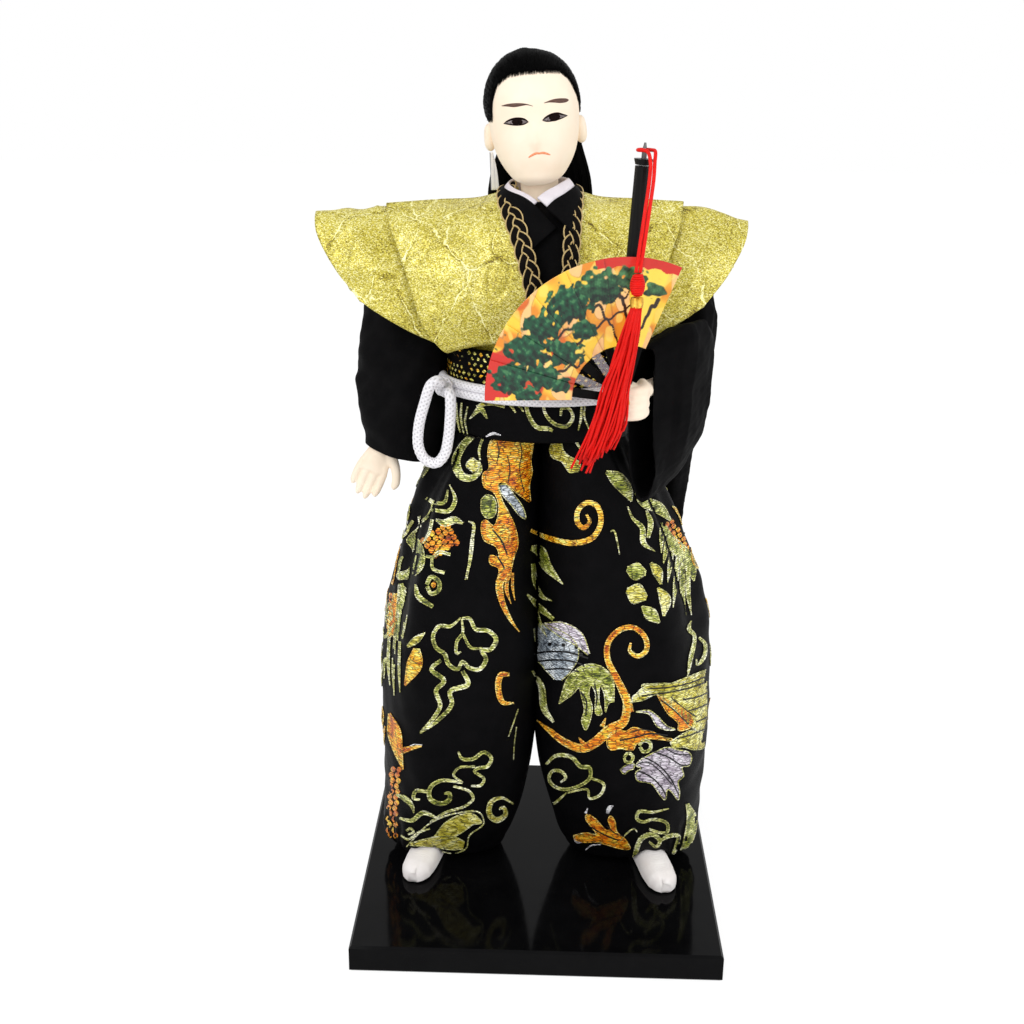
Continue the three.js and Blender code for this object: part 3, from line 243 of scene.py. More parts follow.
def tube(path, radius, sides=8):
    """Points, faces and UV of a closed-ended tube. UV is turns round it and millimetres along it.

    radius is one number, or one for each point of the path, or one for each point and side."""
    path = np.asarray(path, float)
    radius = np.asarray(radius, float)
    if radius.ndim < 2:
        radius = np.broadcast_to(radius, (len(path),))[:, None]
    one, other = tube_frames(path)
    turn = whole_turn(sides)
    ring = (one[:, None] * (np.cos(turn) * radius)[..., None]
            + other[:, None] * (np.sin(turn) * radius)[..., None])
    points, faces = loft(path[:, None] + ring)
    uv = np.stack(np.broadcast_arrays(turn / FULL_TURN, along_path(path)[:, None]), axis=-1).reshape(-1, 2)
    return points, faces, uv


def no_uv(shape):
    """A shape of (points, faces) with an empty UV."""
    return (*shape, np.zeros((len(shape[0]), 2)))


def bundle(parts):
    """Several (points, faces, uv) as one."""
    points, faces, uvs, count = [], [], [], 0
    for part_points, part_faces, part_uv in parts:
        points.append(part_points)
        uvs.append(part_uv)
        faces += [[i + count for i in f] for f in part_faces]
        count += len(part_points)
    return np.concatenate(points), faces, np.concatenate(uvs)


def strands(paths, radius, sides=4):
    return bundle([tube(p, radius, sides) for p in paths])


def ellipse(turn, a, front, back=None, power=2.0):
    """A ring's x and y: half as wide as a, and as deep as front and back."""
    back = front if back is None else back
    c, s = np.cos(turn), np.sin(turn)
    x = a * np.sign(c) * np.abs(c) ** (2 / power)
    y = np.where(s < 0, front, back) * np.sign(s) * np.abs(s) ** (2 / power)
    return x, y


def cut_sheet(grid, wrap=False):
    """Takes a cloth's grid of points, closing its ring when wrap is set; nothing more is done with it."""
    if wrap:
        grid = np.concatenate([grid, grid[:, :1]], axis=1)


def tree_of(*objects):
    """A search tree of objects' faces, in the doll's frame."""
    points, faces, count = [], [], 0
    for obj in objects:
        co = np.array([v.co for v in obj.data.vertices]) / MM - (0, 0, BOARD_TOP)
        points.append(co)
        faces += [[i + count for i in f.vertices] for f in obj.data.polygons]
        count += len(co)
    return BVHTree.FromPolygons(np.concatenate(points).tolist(), faces)


def one_skin(obj, voxel, smooth):
    """Replaces an object's mesh by one smooth skin over all of it."""
    grid = obj.modifiers.new("skin", "REMESH")
    grid.mode = "VOXEL"
    grid.voxel_size = voxel * MM
    soft = obj.modifiers.new("soft", "SMOOTH")
    soft.iterations = smooth
    bpy.context.view_layer.update()
    done = obj.evaluated_get(bpy.context.evaluated_depsgraph_get())
    mesh = bpy.data.meshes.new_from_object(done)
    obj.modifiers.clear()
    obj.data = mesh
    mesh.shade_smooth()
    return mesh


def remesh(name, parts, voxel, smooth, material, body, replaces):
    """One smooth skin over several overlapping closed shapes."""
    points, faces, _ = bundle([no_uv(part) for part in parts])
    obj = make(name, points, faces, material, body=None)
    one_skin(obj, voxel, smooth)
    declare(obj, body, replaces)


# Materials

def srgb(red, green, blue):
    return tuple(c / 12.92 if c <= 0.04045 else ((c + 0.055) / 1.055) ** 2.4
                 for c in (red / 255, green / 255, blue / 255)) + (1.0,)


class Look:
    """A material with helpers to add nodes to it."""

    def __init__(self, name, color, roughness=0.7, **sockets):
        self.material = bpy.data.materials.new(name)
        self.material.use_nodes = True
        self.nodes = self.material.node_tree.nodes
        self.links = self.material.node_tree.links
        self.shader = self.nodes["Principled BSDF"]
        self.set(self.shader, {"Base Color": color, "Roughness": roughness, **sockets})

    def set(self, node, values):
        for key, value in values.items():
            node.inputs[key].default_value = value

    def add(self, kind, values=None, **settings):
        node = self.nodes.new(kind)
        for key, value in settings.items():
            setattr(node, key, value)
        self.set(node, values or {})
        return node

    def join(self, source, output, target, socket):
        self.links.new(source.outputs[output], target.inputs[socket])

    def place(self, kind="Object", stretch=(1, 1, 1)):
        """Texture coordinates in millimetres, or UV as it is."""
        here = self.add("ShaderNodeTexCoord")
        scale = 1.0 if kind == "UV" else 1 / MM
        mapping = self.add("ShaderNodeMapping", {"Scale": tuple(scale * s for s in stretch)})
        self.join(here, kind, mapping, "Vector")
        return mapping

    def parts_of(self, place):
        """A place's X, Y and Z."""
        node = self.add("ShaderNodeSeparateXYZ")
        self.join(place, "Vector", node, "Vector")
        return node

    def texture(self, kind, place, values, **settings):
        node = self.add(f"ShaderNodeTex{kind}", values, **settings)
        self.join(place or self.place(), "Vector", node, "Vector")
        return node

    def noise(self, wave, detail=3.0, place=None, roughness=0.55):
        return self.texture("Noise", place, {"Scale": 1 / wave, "Detail": detail, "Roughness": roughness})

    def cells(self, size, place, **settings):
        return self.texture("Voronoi", place, {"Scale": 1 / size}, **settings)

    def specks(self, size, stretch):
        """Random tones of small cells, as Red, Green and Blue."""
        node = self.add("ShaderNodeSeparateColor")
        self.join(self.cells(size, self.place(stretch=stretch)), "Color", node, "Color")
        return node

    def stripes(self, pitch, way, values):
        return self.texture("Wave", None, {"Scale": WAVE_SCALE / pitch, **values}, bands_direction=way)

    def compute(self, operation, *inputs):
        """A node of arithmetic. An input is a number or a (node, output)."""
        node = self.add("ShaderNodeMath", operation=operation)
        for k, given in enumerate(inputs):
            if isinstance(given, tuple):
                self.join(*given, node, k)
            else:
                node.inputs[k].default_value = given
        return node

    def between(self, source, output, start, end, low, high):
        """A value that goes from low to high as the source goes from start to end."""
        node = self.add("ShaderNodeMapRange", {"From Min": start, "From Max": end,
                                               "To Min": low, "To Max": high})
        self.join(source, output, node, "Value")
        return node

    def colours(self, source, output, stops, socket="Base Color"):
        """Colour along a ramp of (place, colour)."""
        node = self.add("ShaderNodeValToRGB")
        band = node.color_ramp
        while len(band.elements) < len(stops):
            band.elements.new(0.5)
        for element, (where, color) in zip(band.elements, stops):
            element.position = where
            element.color = color
        self.join(source, output, node, "Fac")
        if socket:
            self.join(node, "Color", self.shader, socket)
        return node

    def tones(self, source, dark, light, low=0.3, high=0.7, **more):
        """Colour from dark to light along a texture."""
        return self.colours(source, "Fac", [(low, dark), (high, light)], **more)

    def darken(self, tone, source, output):
        """Base colour: a ramp's colour times a value."""
        node = self.add("ShaderNodeVectorMath", operation="SCALE")
        self.join(tone, "Color", node, "Vector")
        self.join(source, output, node, "Scale")
        self.join(node, "Vector", self.shader, "Base Color")

    def vary_roughness(self, source, output, low, high):
        self.join(self.between(source, output, 0, 1, low, high), "Result", self.shader, "Roughness")

    def bump(self, source, output, height):
        """Bumps of a height in millimetres."""
        node = self.add("ShaderNodeBump", {"Strength": 1.0, "Distance": height * MM})
        self.join(source, output, node, "Height")
        previous = self.shader.inputs["Normal"].links
        if previous:
            self.links.new(previous[0].from_socket, node.inputs["Normal"])
        self.join(node, "Normal", self.shader, "Normal")

    def weave(self, pitch, height):
        """Over-and-under threads at a pitch in millimetres."""
        waves = [self.stripes(pitch, way, {"Distortion": 0.6, "Detail": 1.0}) for way in ("X", "Z")]
        self.bump(self.compute("MULTIPLY", *((wave, "Fac") for wave in waves)), "Value", height)


WAVE_SCALE = 0.314  # scale of a wave texture whose stripes are a unit apart
# painted light: the neck's glow stands in for light reaching the shade under the chin
NECK_GLOW = 0.22
NECK_GLOW_BEGINS = (BOARD_TOP + 215, BOARD_TOP + 225)  # above the hands
NECK_GLOW_ENDS = (BOARD_TOP + 246, BOARD_TOP + 250)  # below the chin
WEFT, FLOAT = 0.62, 1.25  # pitch and length of the brocade's threads
MIX_A, MIX_B, MIX_RESULT = 6, 7, 2  # the colour sockets of a mix node


def cloth_look(name, dark, light, roughness, pitch, sheen=0.0, gloss=0.25):
    """Woven cloth whose colour wanders a little."""
    made = Look(name, dark, roughness, **{"Sheen Weight": sheen, "Sheen Roughness": 0.4,
                                          "Specular IOR Level": gloss})
    made.tones(made.noise(6.0, 6.0), dark, light, high=0.75)
    made.weave(pitch, 0.08)
    return made.material


def lacquer_look():
    made = Look("lacquer", srgb(8, 8, 10), 0.08, **{"Specular IOR Level": 0.06})
    haze = made.noise(14.0, 8.0, roughness=0.7)
    made.colours(haze, "Fac", [(0.3, srgb(5, 5, 6)), (0.62, srgb(11, 11, 12)), (0.8, srgb(16, 16, 18))])
    made.vary_roughness(made.noise(3.0, 6.0), "Fac", 0.03, 0.16)
    made.bump(made.noise(22.0, 2.0), "Fac", 0.04)
    return made.material


def skin_look():
    """Skin of fine cloth, with a weak painted glow on the neck: painted light that lifts the shade under the
    chin.
    """
    made = Look("skin", srgb(252, 234, 211), 0.6, **{"Specular IOR Level": 0.2, "Sheen Weight": 0.1,
                                                     "Emission Color": srgb(252, 226, 196)})
    made.tones(made.noise(9.0, 4.0), srgb(250, 230, 206), srgb(253, 238, 217))
    made.weave(0.32, 0.03)
    place = made.parts_of(made.place())
    below_chin = made.between(place, "Z", *NECK_GLOW_ENDS, NECK_GLOW, 0.0)
    above_hands = made.between(place, "Z", *NECK_GLOW_BEGINS, 0.0, 1.0)
    glow = made.compute("MULTIPLY", (below_chin, "Result"), (above_hands, "Result"))
    made.join(glow, "Value", made.shader, "Emission Strength")
    return made.material


def hair_look():
    made = Look("hair", srgb(4, 4, 4), 0.5, **{"Specular IOR Level": 0.03})
    long = made.noise(0.35, 3.0, made.place(stretch=(1, 1, 0.06)))
    made.tones(long, srgb(2, 2, 2), srgb(9, 8, 8), 0.35, 0.75)
    made.bump(long, "Fac", 0.06)
    return made.material


def lame_look():
    """Gold cloth of flat metal threads: it glitters, with painted highlights as pale broken lines where it
    folds, and painted shade of creases beside them.
    """
    made = Look("gold_lame", srgb(205, 192, 84), 0.42, **{"Metallic": 0.25})
    flakes = made.specks(0.34, (1, 1, 1.5))
    patches = made.between(made.noise(14.0, 4.0), "Fac", 0.3, 0.7, 0.06, 0.26)
    glitter = made.compute("MULTIPLY_ADD", (flakes, "Red"), 0.64, (patches, "Result"))
    bent = made.add("ShaderNodeVectorMath", operation="MULTIPLY_ADD")
    bent.inputs[1].default_value = (4.0, 4.0, 4.0)
    made.join(made.noise(6.0, 4.0), "Color", bent, 0)
    made.join(made.place(stretch=(1, 1, 0.75)), "Vector", bent, 2)
    cells = made.cells(21.0, bent, feature="DISTANCE_TO_EDGE")
    # painted highlight: pale broken lines along the cells' edges, as folds catching the light
    line = made.between(cells, "Distance", 0.0, 0.014, 1.0, 0.0)
    broken = made.between(made.noise(6.0, 3.0), "Fac", 0.4, 0.6, 0.0, 0.8)
    glitter_with_highlights = made.compute("MULTIPLY_ADD", (line, "Result"), (broken, "Result"), (glitter, "Value"))
    # painted shade: dark bands beside those lines, as shade in the creases
    crease_shade = made.between(cells, "Distance", 0.011, 0.03, -0.34, 0.0)
    faint = made.between(made.noise(9.0, 3.0), "Fac", 0.46, 0.62, 0.0, 1.0)
    glitter_highlights_and_shade = made.compute("MULTIPLY_ADD", (crease_shade, "Result"), (faint, "Result"), (glitter_with_highlights, "Value"))
    made.colours(glitter_highlights_and_shade, "Value", [(0.05, srgb(92, 74, 10)), (0.3, srgb(174, 158, 38)),
                                    (0.56, srgb(219, 206, 80)), (0.86, srgb(255, 251, 190))])
    made.vary_roughness(flakes, "Green", 0.25, 0.6)
    made.bump(flakes, "Blue", 0.1)
    made.bump(made.noise(3.0, 4.0), "Fac", 0.22)
    made.bump(made.between(cells, "Distance", 0.0, 0.05, 0.0, 1.0), "Result", 0.22)
    return made.material


def thread_look(name, dark, middle, light):
    """Metallic brocade thread: bright and dull patches, glints, level wefts and dark breaks in them."""
    made = Look(name, middle, 0.38, **{"Metallic": 0.1, "Specular IOR Level": 0.4})
    patches = made.between(made.noise(5.5, 4.0), "Fac", 0.32, 0.68, 0.0, 0.6)
    glints = made.specks(0.55, (0.4, 0.4, 1.4))
    mixed = made.compute("MULTIPLY_ADD", (glints, "Red"), 0.4, (patches, "Result"))
    tone = made.colours(mixed, "Value", [(0.2, dark), (0.48, middle), (0.78, light)], socket=None)
    weft = made.stripes(WEFT, "Z", {"Distortion": 2.6, "Detail": 2.0, "Detail Scale": 1.3})
    floats = made.cells(FLOAT, made.place(stretch=(0.42, 0.42, 1.15)), feature="DISTANCE_TO_EDGE")
    wefts = made.between(weft, "Fac", 0.08, 0.6, 0.5, 1.3)
    breaks = made.between(floats, "Distance", 0.015, 0.1, 0.16, 1.0)
    made.darken(tone, made.compute("MULTIPLY", (wefts, "Result"), (breaks, "Result")), "Value")
    made.bump(weft, "Fac", 0.1)
    return made.material


def braided_look():
    """White cotton yarn of a plaited cord, with painted shade where its strands sink between each other. U is
    the height of its strands.
    """
    made = Look("white_cord", srgb(240, 238, 244), 0.7, **{"Sheen Weight": 0.2})
    fibre = made.noise(0.35, 4.0)
    tone = made.tones(fibre, srgb(230, 227, 234), srgb(253, 252, 254), socket=None)
    strand = made.parts_of(made.place("UV"))
    # painted shade: the colour darkens in the grooves between the strands
    made.darken(tone, made.between(strand, "X", 0.15, 0.75, 0.62, 1.0), "Result")
    made.bump(fibre, "Fac", 0.08)
    return made.material


def silk_look(name, dark, light, wave=0.3, roughness=0.5, sheen=0.2, gloss=0.4):
    """Lustrous yarn whose fibres run along V."""
    made = Look(name, light, roughness, **{"Sheen Weight": sheen, "Specular IOR Level": gloss})
    grain = made.noise(1.0, 3.0, made.place("UV", stretch=(14.0, wave, 1)))
    made.tones(grain, dark, light)
    made.bump(grain, "Fac", 0.08)
    return made.material


def metal_look(name, dark, light, roughness):
    made = Look(name, light, roughness, **{"Metallic": 0.9})
    worn = made.noise(2.0, 6.0)
    made.tones(worn, dark, light)
    made.vary_roughness(worn, "Fac", roughness * 0.7, roughness * 1.5)
    return made.material


def wood_look(name, dark, light, roughness, height=0.05, gloss=0.35):
    made = Look(name, light, roughness, **{"Specular IOR Level": gloss})
    grain = made.noise(0.6, 5.0, made.place(stretch=(1, 1, 0.05)))
    made.tones(grain, dark, light)
    made.bump(grain, "Fac", height)
    return made.material


def film_look():
    made = Look("fan_film", srgb(240, 234, 240), 0.12, **{"Alpha": 0.16, "Specular IOR Level": 0.5})
    made.bump(made.noise(6.0, 2.0), "Fac", 0.05)
    return made.material


def print_look():
    """Printed and laminated paper: its colours are painted on the mesh."""
    made = Look("fan_print", srgb(230, 160, 60), 0.22, **{"Specular IOR Level": 0.45, "Coat Weight": 0.2})
    paint = made.add("ShaderNodeAttribute", attribute_name="print")
    grain = made.noise(0.8, 4.0)
    mixed = made.add("ShaderNodeMix", data_type="RGBA", blend_type="OVERLAY")
    mixed.inputs["Factor"].default_value = 0.12
    made.join(paint, "Color", mixed, MIX_A)
    made.join(grain, "Color", mixed, MIX_B)
    made.join(mixed, MIX_RESULT, made.shader, "Base Color")
    made.bump(made.noise(5.0, 2.0), "Fac", 0.06)
    return made.material


def paint_look(name, color, tones, grain, roughness=0.5, low=0.3, stretch=(1, 1, 1), **sockets):
    """Paint on the face, a little uneven."""
    made = Look(name, color, roughness, **sockets)
    made.tones(made.noise(grain, place=made.place(stretch=stretch)), *tones, low=low)
    return made.material


def paper_look():
    """White paper with a dark line ruled along it, and a weak painted glow: painted light that lifts the
    head's shade off it.
    """
    made = Look("ribbon_paper", srgb(252, 252, 254), 0.7, **{"Emission Color": (1, 1, 1, 1),
                                                             "Emission Strength": 0.25})
    ruled = made.texture("Wave", made.place("UV"), {"Scale": 0.23, "Distortion": 0.1})
    made.colours(ruled, "Fac", [(0.012, srgb(40, 38, 40)), (0.03, srgb(246, 245, 249)),
                                (0.9, srgb(254, 254, 255))])
    return made.material


LACQUER = lacquer_look()
SKIN = skin_look()
HAIR_LOOK = hair_look()
LAME = lame_look()
CREPE = cloth_look("black_crepe", srgb(4, 4, 5), srgb(13, 12, 13), 0.75, 0.35, 0.0, 0.06)
SATIN = cloth_look("brocade_ground", srgb(3, 3, 4), srgb(9, 8, 10), 0.5, 0.28, 0.0, 0.05)
WHITE_SILK = cloth_look("white_silk", srgb(226, 219, 226), srgb(246, 241, 246), 0.7, 0.3, 0.15)
COTTON = cloth_look("sock_cotton", srgb(240, 233, 230), srgb(252, 248, 246), 0.85, 0.3, 0.1)
WADDING = cloth_look("wadding", srgb(222, 214, 198), srgb(240, 234, 222), 0.95, 0.8, 0.2)
CORD_WHITE = braided_look()
RED_SILK = silk_look("red_silk", srgb(196, 6, 4), srgb(246, 24, 12), sheen=0.0, gloss=0.2)
GOLD_YARN = silk_look("gold_yarn", srgb(120, 84, 26), srgb(240, 214, 146), 2.4, 0.38)
BLACK_YARN = silk_look("black_yarn", srgb(4, 3, 3), srgb(18, 13, 10), 0.8, 0.7, 0.0, 0.06)
BRASS = metal_look("brass", srgb(196, 138, 38), srgb(246, 205, 96), 0.28)
STEEL = metal_look("steel", srgb(60, 60, 62), srgb(120, 118, 116), 0.35)
DOWEL = wood_look("dowel_wood", srgb(150, 112, 66), srgb(196, 160, 108), 0.6)
EBONY = wood_look("black_wood", srgb(5, 4, 4), srgb(17, 15, 14), 0.36, gloss=0.14)
FILM = film_look()
PRINT = print_look()
STICK = wood_look("fan_stick", srgb(4, 4, 4), srgb(12, 11, 11), 0.3, 0.02, 0.08)
PAPER = paper_look()
EYE_BLACK = paint_look("eye_black", srgb(24, 12, 12), (srgb(10, 6, 6), srgb(30, 16, 14)), 0.4, low=0.35,
                       **{"Specular IOR Level": 0.03})
EYE_WHITE = paint_look("eye_white", srgb(150, 140, 140), (srgb(78, 66, 68), srgb(150, 140, 140)), 0.5,
                       **{"Specular IOR Level": 0.1})
BROW = paint_look("brow_paint", srgb(96, 66, 52), (srgb(62, 36, 26), srgb(98, 66, 52)), 0.4, 0.6,
                  stretch=(0.3, 1, 1))
LIP = paint_look("lip_paint", srgb(226, 112, 62), (srgb(226, 122, 72), srgb(242, 164, 122)), 0.6)

THREADS = {
    "green": thread_look("thread_green", srgb(66, 78, 14), srgb(164, 172, 56), srgb(250, 252, 176)),
    "yellow": thread_look("thread_yellow", srgb(120, 108, 16), srgb(212, 200, 62), srgb(255, 252, 176)),
    "gold": thread_look("thread_gold", srgb(196, 104, 0), srgb(255, 192, 20), srgb(255, 250, 130)),
    "orange": thread_look("thread_orange", srgb(176, 66, 0), srgb(250, 146, 8), srgb(255, 220, 70)),
    "silver": thread_look("thread_silver", srgb(96, 106, 118), srgb(172, 184, 194), srgb(238, 244, 248)),
    "lilac": thread_look("thread_lilac", srgb(140, 128, 144), srgb(208, 196, 210), srgb(250, 246, 252)),
    "edge": thread_look("thread_edge", srgb(140, 140, 60), srgb(214, 212, 128), srgb(255, 255, 226)),
    "rim": thread_look("thread_rim", srgb(190, 116, 16), srgb(250, 196, 64), srgb(255, 244, 170)),
    "dark": thread_look("thread_dark", srgb(4, 4, 4), srgb(9, 8, 9), srgb(16, 15, 16)),
    "white": thread_look("thread_white", srgb(190, 186, 190), srgb(232, 230, 236), srgb(255, 255, 255)),
}

CAD_LOOKS = {
    LACQUER: ["base_board"],
    STEEL: ["right_leg_screw", "left_leg_screw", "shoulder_wire", "sword_pin"],
    DOWEL: ["right_leg_rod", "left_leg_rod", "neck_dowel"],
    EBONY: ["sword_scabbard", "sword_cap"],
    BRASS: ["fan_rivet"],
}
for material, names in CAD_LOOKS.items():
    for name in names:
        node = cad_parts[name]
        node.data.materials.clear()
        node.data.materials.append(material)
BOARD_BEVEL = 0.3
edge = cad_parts["base_board"].modifiers.new("edge", "BEVEL")
edge.width = BOARD_BEVEL * MM
edge.segments = 2


# Camera: the photograph's view

FOCAL_PIXELS, IMAGE = 1375.0, 1024
SENSOR = 36.0
CAMERA_MM = np.array([-0.9, -454.3, 302.0])
YAW, PITCH, ROLL = (math.radians(a) for a in (-1.33, 19.04, 0.75))


def camera_axes():
    forward = np.array([math.sin(YAW) * math.cos(PITCH), math.cos(YAW) * math.cos(PITCH), -math.sin(PITCH)])
    level = np.array([math.cos(YAW), -math.sin(YAW), 0])
    above = np.cross(level, forward)
    right = math.cos(ROLL) * level + math.sin(ROLL) * above
    up = math.cos(ROLL) * above - math.sin(ROLL) * level
    return right, up, forward


CAMERA_RIGHT, CAMERA_UP, CAMERA_FORWARD = camera_axes()
lens = bpy.data.cameras.new("camera")
lens.sensor_width = SENSOR
lens.lens = SENSOR * FOCAL_PIXELS / IMAGE
lens.clip_start = 0.01
camera = bpy.data.objects.new("camera", lens)
bpy.context.scene.collection.objects.link(camera)
turned = np.stack([CAMERA_RIGHT, CAMERA_UP, -CAMERA_FORWARD], axis=1)
camera.matrix_world = Matrix.Translation(Vector(CAMERA_MM * MM)) @ Matrix(turned.tolist()).to_4x4()
bpy.context.scene.camera = camera


def ray(x, y):
    """Start and direction, in the doll's frame, of the view through a pixel of the picture."""
    way = CAMERA_FORWARD + ((x - IMAGE / 2) * CAMERA_RIGHT - (y - IMAGE / 2) * CAMERA_UP) / FOCAL_PIXELS
    return CAMERA_MM - (0, 0, BOARD_TOP), unit(way)


# Cords

LOOP_ROUTE = [
    (-34.5, -23.3, 186.5), (-35.2, -26, 188), (-37.2, -26.8, 186.8), (-39.4, -26.2, 180.6),
    (-41.4, -25.2, 172.6), (-41.6, -24.6, 165.4), (-39.4, -24.2, 161), (-36, -24.2, 160),
    (-33.2, -24.6, 163), (-31.8, -25.2, 169), (-31.2, -25.8, 175.6), (-31, -26.2, 180.4),
    (-31.2, -25.6, 183), (-32.1, -23.1, 184.1),
]
TASSEL_X, TASSEL_Y, TASSEL_TOP = 25.4, -54.6, 228.0
TASSEL_ROUTE = [
    (TASSEL_X - 0.6, TASSEL_Y, TASSEL_TOP), (25.9, -53, 237), (27.1, -50, 246), (28.1, -46.8, 253.6),
    (28.3, -44.6, 258.6), (27.4, -42.8, 261.3), (25.2, -41.4, 261.5), (24.9, -39, 261.4),
    (25.8, -37.6, 261.4), (27.6, -37.6, 261.4), (29, -39, 261.4), (29.8, -41.4, 261.2),
    (29.6, -44.2, 258.4), (29.3, -46.8, 253.6), (28.3, -50, 246), (27.1, -53, 237),
    (TASSEL_X + 0.6, TASSEL_Y, TASSEL_TOP),
]


LOOP_DIAMETER, TASSEL_DIAMETER = 3.5, 1.1
CORD_STEP, CORD_SIDES = 0.6, 14
PLAIT_STEP, PLAIT_SIDES, PLAIT_STRANDS = 0.3, 40, 5
PLAIT_LAY = 4.0  # millimetres along the cord for a strand to go half round it


def plaited(path, radius):
    """A cord of strands that cross over each other. U is the height of its strands."""
    far = along_path(path)[:, None]
    turn = whole_turn(PLAIT_SIDES)
    ways = [np.sin(PLAIT_STRANDS * (turn + sign * math.pi * far / PLAIT_LAY)) for sign in (1, -1)]
    height = np.maximum(*ways)
    points, faces, uv = tube(path, radius * (0.9 + 0.12 * height), PLAIT_SIDES)
    uv[:, 0] = (0.5 + 0.5 * height).ravel()
    return points, faces, uv


def free_cord(name, route, diameter, material, body, node, plait=False):
    path = even_path(route, PLAIT_STEP if plait else CORD_STEP)
    points, faces, uv = plaited(path, diameter / 2) if plait else tube(path, diameter / 2, CORD_SIDES)
    obj = make(name, points, faces, material, body, [node], uv)


free_cord("hip_cord_loop", LOOP_ROUTE, LOOP_DIAMETER, CORD_WHITE, "cord_loop", "cord_loop",
          plait=True)


# Tassel: a wound knot, a gold band and a skirt of yarns

KNOT_HEIGHT, BAND_HEIGHT = 6.4, 3.2
KNOT_HIGH = TASSEL_TOP - GAP
KNOT_LOW = KNOT_HIGH - KNOT_HEIGHT
BAND_HIGH = KNOT_LOW - GAP
BAND_LOW = BAND_HIGH - BAND_HEIGHT
YARNS, YARN_RADIUS = 64, 0.38
YARN_END = 171.5  # height where most yarns end
GOLDEN_ANGLE = 2.399963  # radians: turns by it spread the yarns evenly


def wound(low, high, radius, turns, thread):
    """A thread wound round the tassel's middle. radius is a function of the share of its height."""
    share = np.linspace(0, 1, turns * 20 + 1)
    turn = share * turns * FULL_TURN
    r = radius(share)
    path = np.stack([TASSEL_X + r * np.cos(turn), TASSEL_Y + r * np.sin(turn), low + (high - low) * share],
                    axis=1)
    return tube(path, thread, 6)


def tassel_core(low, high, radii):
    """The round middle under a wound thread, with radii at even heights."""
    return tube([(TASSEL_X, TASSEL_Y, z) for z in np.linspace(low, high, len(radii))], radii, 16)


def tassel_yarn(k):
    """One yarn of the skirt: it leaves the band and falls to the doll's right. The longest lie there too."""
    turn = k * GOLDEN_ANGLE
    far = math.sqrt((k + 0.5) / YARNS)
    c, s = far * math.cos(turn), far * math.sin(turn)
    end = YARN_END + rng.uniform(-1.5, 3.5) + 5.0 * max(c, 0) + 5.0 * max(-c - 0.45, 0) - 4.5 * (k % 8 == 3)
    height = np.array([BAND_LOW + 0.6, 212, 204.8, 194.4, 181, end])
    middle = np.array([TASSEL_X, 24.2, 22.9, 20.4, 17.4, np.interp(end, [166, 178], [11.8, 16.4])])
    wide = np.array([1.4, 2.4, 3.0, 4.0, 5.0, 4.6])
    deep = np.array([1.5, 2.0, 2.1, 2.2, 2.2, 1.9])
    y = TASSEL_Y - ramp(BAND_LOW - height, 0, 6) + s * deep
    wander = rng.normal(0, 0.26, 6) * np.array([0, 0.4, 1, 1.6, 2.2, 2.6])
    return even_path(np.stack([middle + c * wide + wander, y, height], axis=1), 2.2)


knot_skin = wound(KNOT_LOW + 0.4, KNOT_HIGH - 0.3,
                  lambda s: 1.2 + 0.7 * np.sin(math.pi * np.clip(s * 1.05, 0, 1)), 9, 0.42)
knot_core = tassel_core(KNOT_LOW, KNOT_HIGH, [1.0, 1.5, 1.8, 1.8, 1.5, 1.0])
points, faces, uv = bundle([knot_skin, knot_core])
tassel_knot = make("tassel_knot_wound", points, faces, RED_SILK, "tassel", ["tassel_knot"], uv)
band_skin = wound(BAND_LOW + 0.2, BAND_HIGH - 0.1, lambda s: 1.6 + 0.2 * np.sin(math.pi * s), 9, 0.22)
band_core = tassel_core(BAND_LOW, BAND_HIGH, [1.6, 1.6, 1.6, 1.6])
points, faces, uv = bundle([band_skin, band_core])
tassel_band = make("tassel_band_wound", points, faces, BRASS, "tassel", ["tassel_band"], uv)
points, faces, uv = strands([tassel_yarn(k) for k in range(YARNS)], YARN_RADIUS, 6)
make("tassel_skirt_yarns", points, faces, RED_SILK, "tassel", ["tassel_skirt"], uv)
free_cord("tassel_cord_loop", TASSEL_ROUTE, TASSEL_DIAMETER, RED_SILK, "tassel", "tassel_cord")


# Feet: split-toed socks

FOOT_WIDTH, FOOT_HEIGHT, FOOT_LENGTH, HEEL, FOOT_TURN = 11.8, 12.5, 41.0, 6.0, 15.5
ANKLE = {RIGHT: (-36.2, 8.5), LEFT: (37.4, 6.0)}
# Shares of the foot's length, width and height
FOOT_SHAPE = np.array([[0, 0.3, 0.45], [0.06, 0.75, 0.8], [0.2, 0.86, 1], [0.5, 0.9, 0.86], [0.75, 1, 0.64],
                       [0.9, 0.92, 0.53], [0.97, 0.66, 0.42], [1, 0.34, 0.3]])
FOOT_WIDEST = 0.3  # share of the height where a foot is widest
SLIT, CLEFT_X, CLEFT_HALF = 1.6, 0.9, 0.45  # depth, place and half width of the cleft beside the big toe


def to_foot(side, x, y):
    """Foot coordinates of points on the board: across it and forward of the heel's back, as a share."""
    turn = math.radians(side * FOOT_TURN)
    dx, dy = x - ANKLE[side][0], y - ANKLE[side][1]
    across = dx * math.cos(turn) + dy * math.sin(turn)
    along = -dx * math.sin(turn) + dy * math.cos(turn)
    return across, (HEEL - along) / FOOT_LENGTH


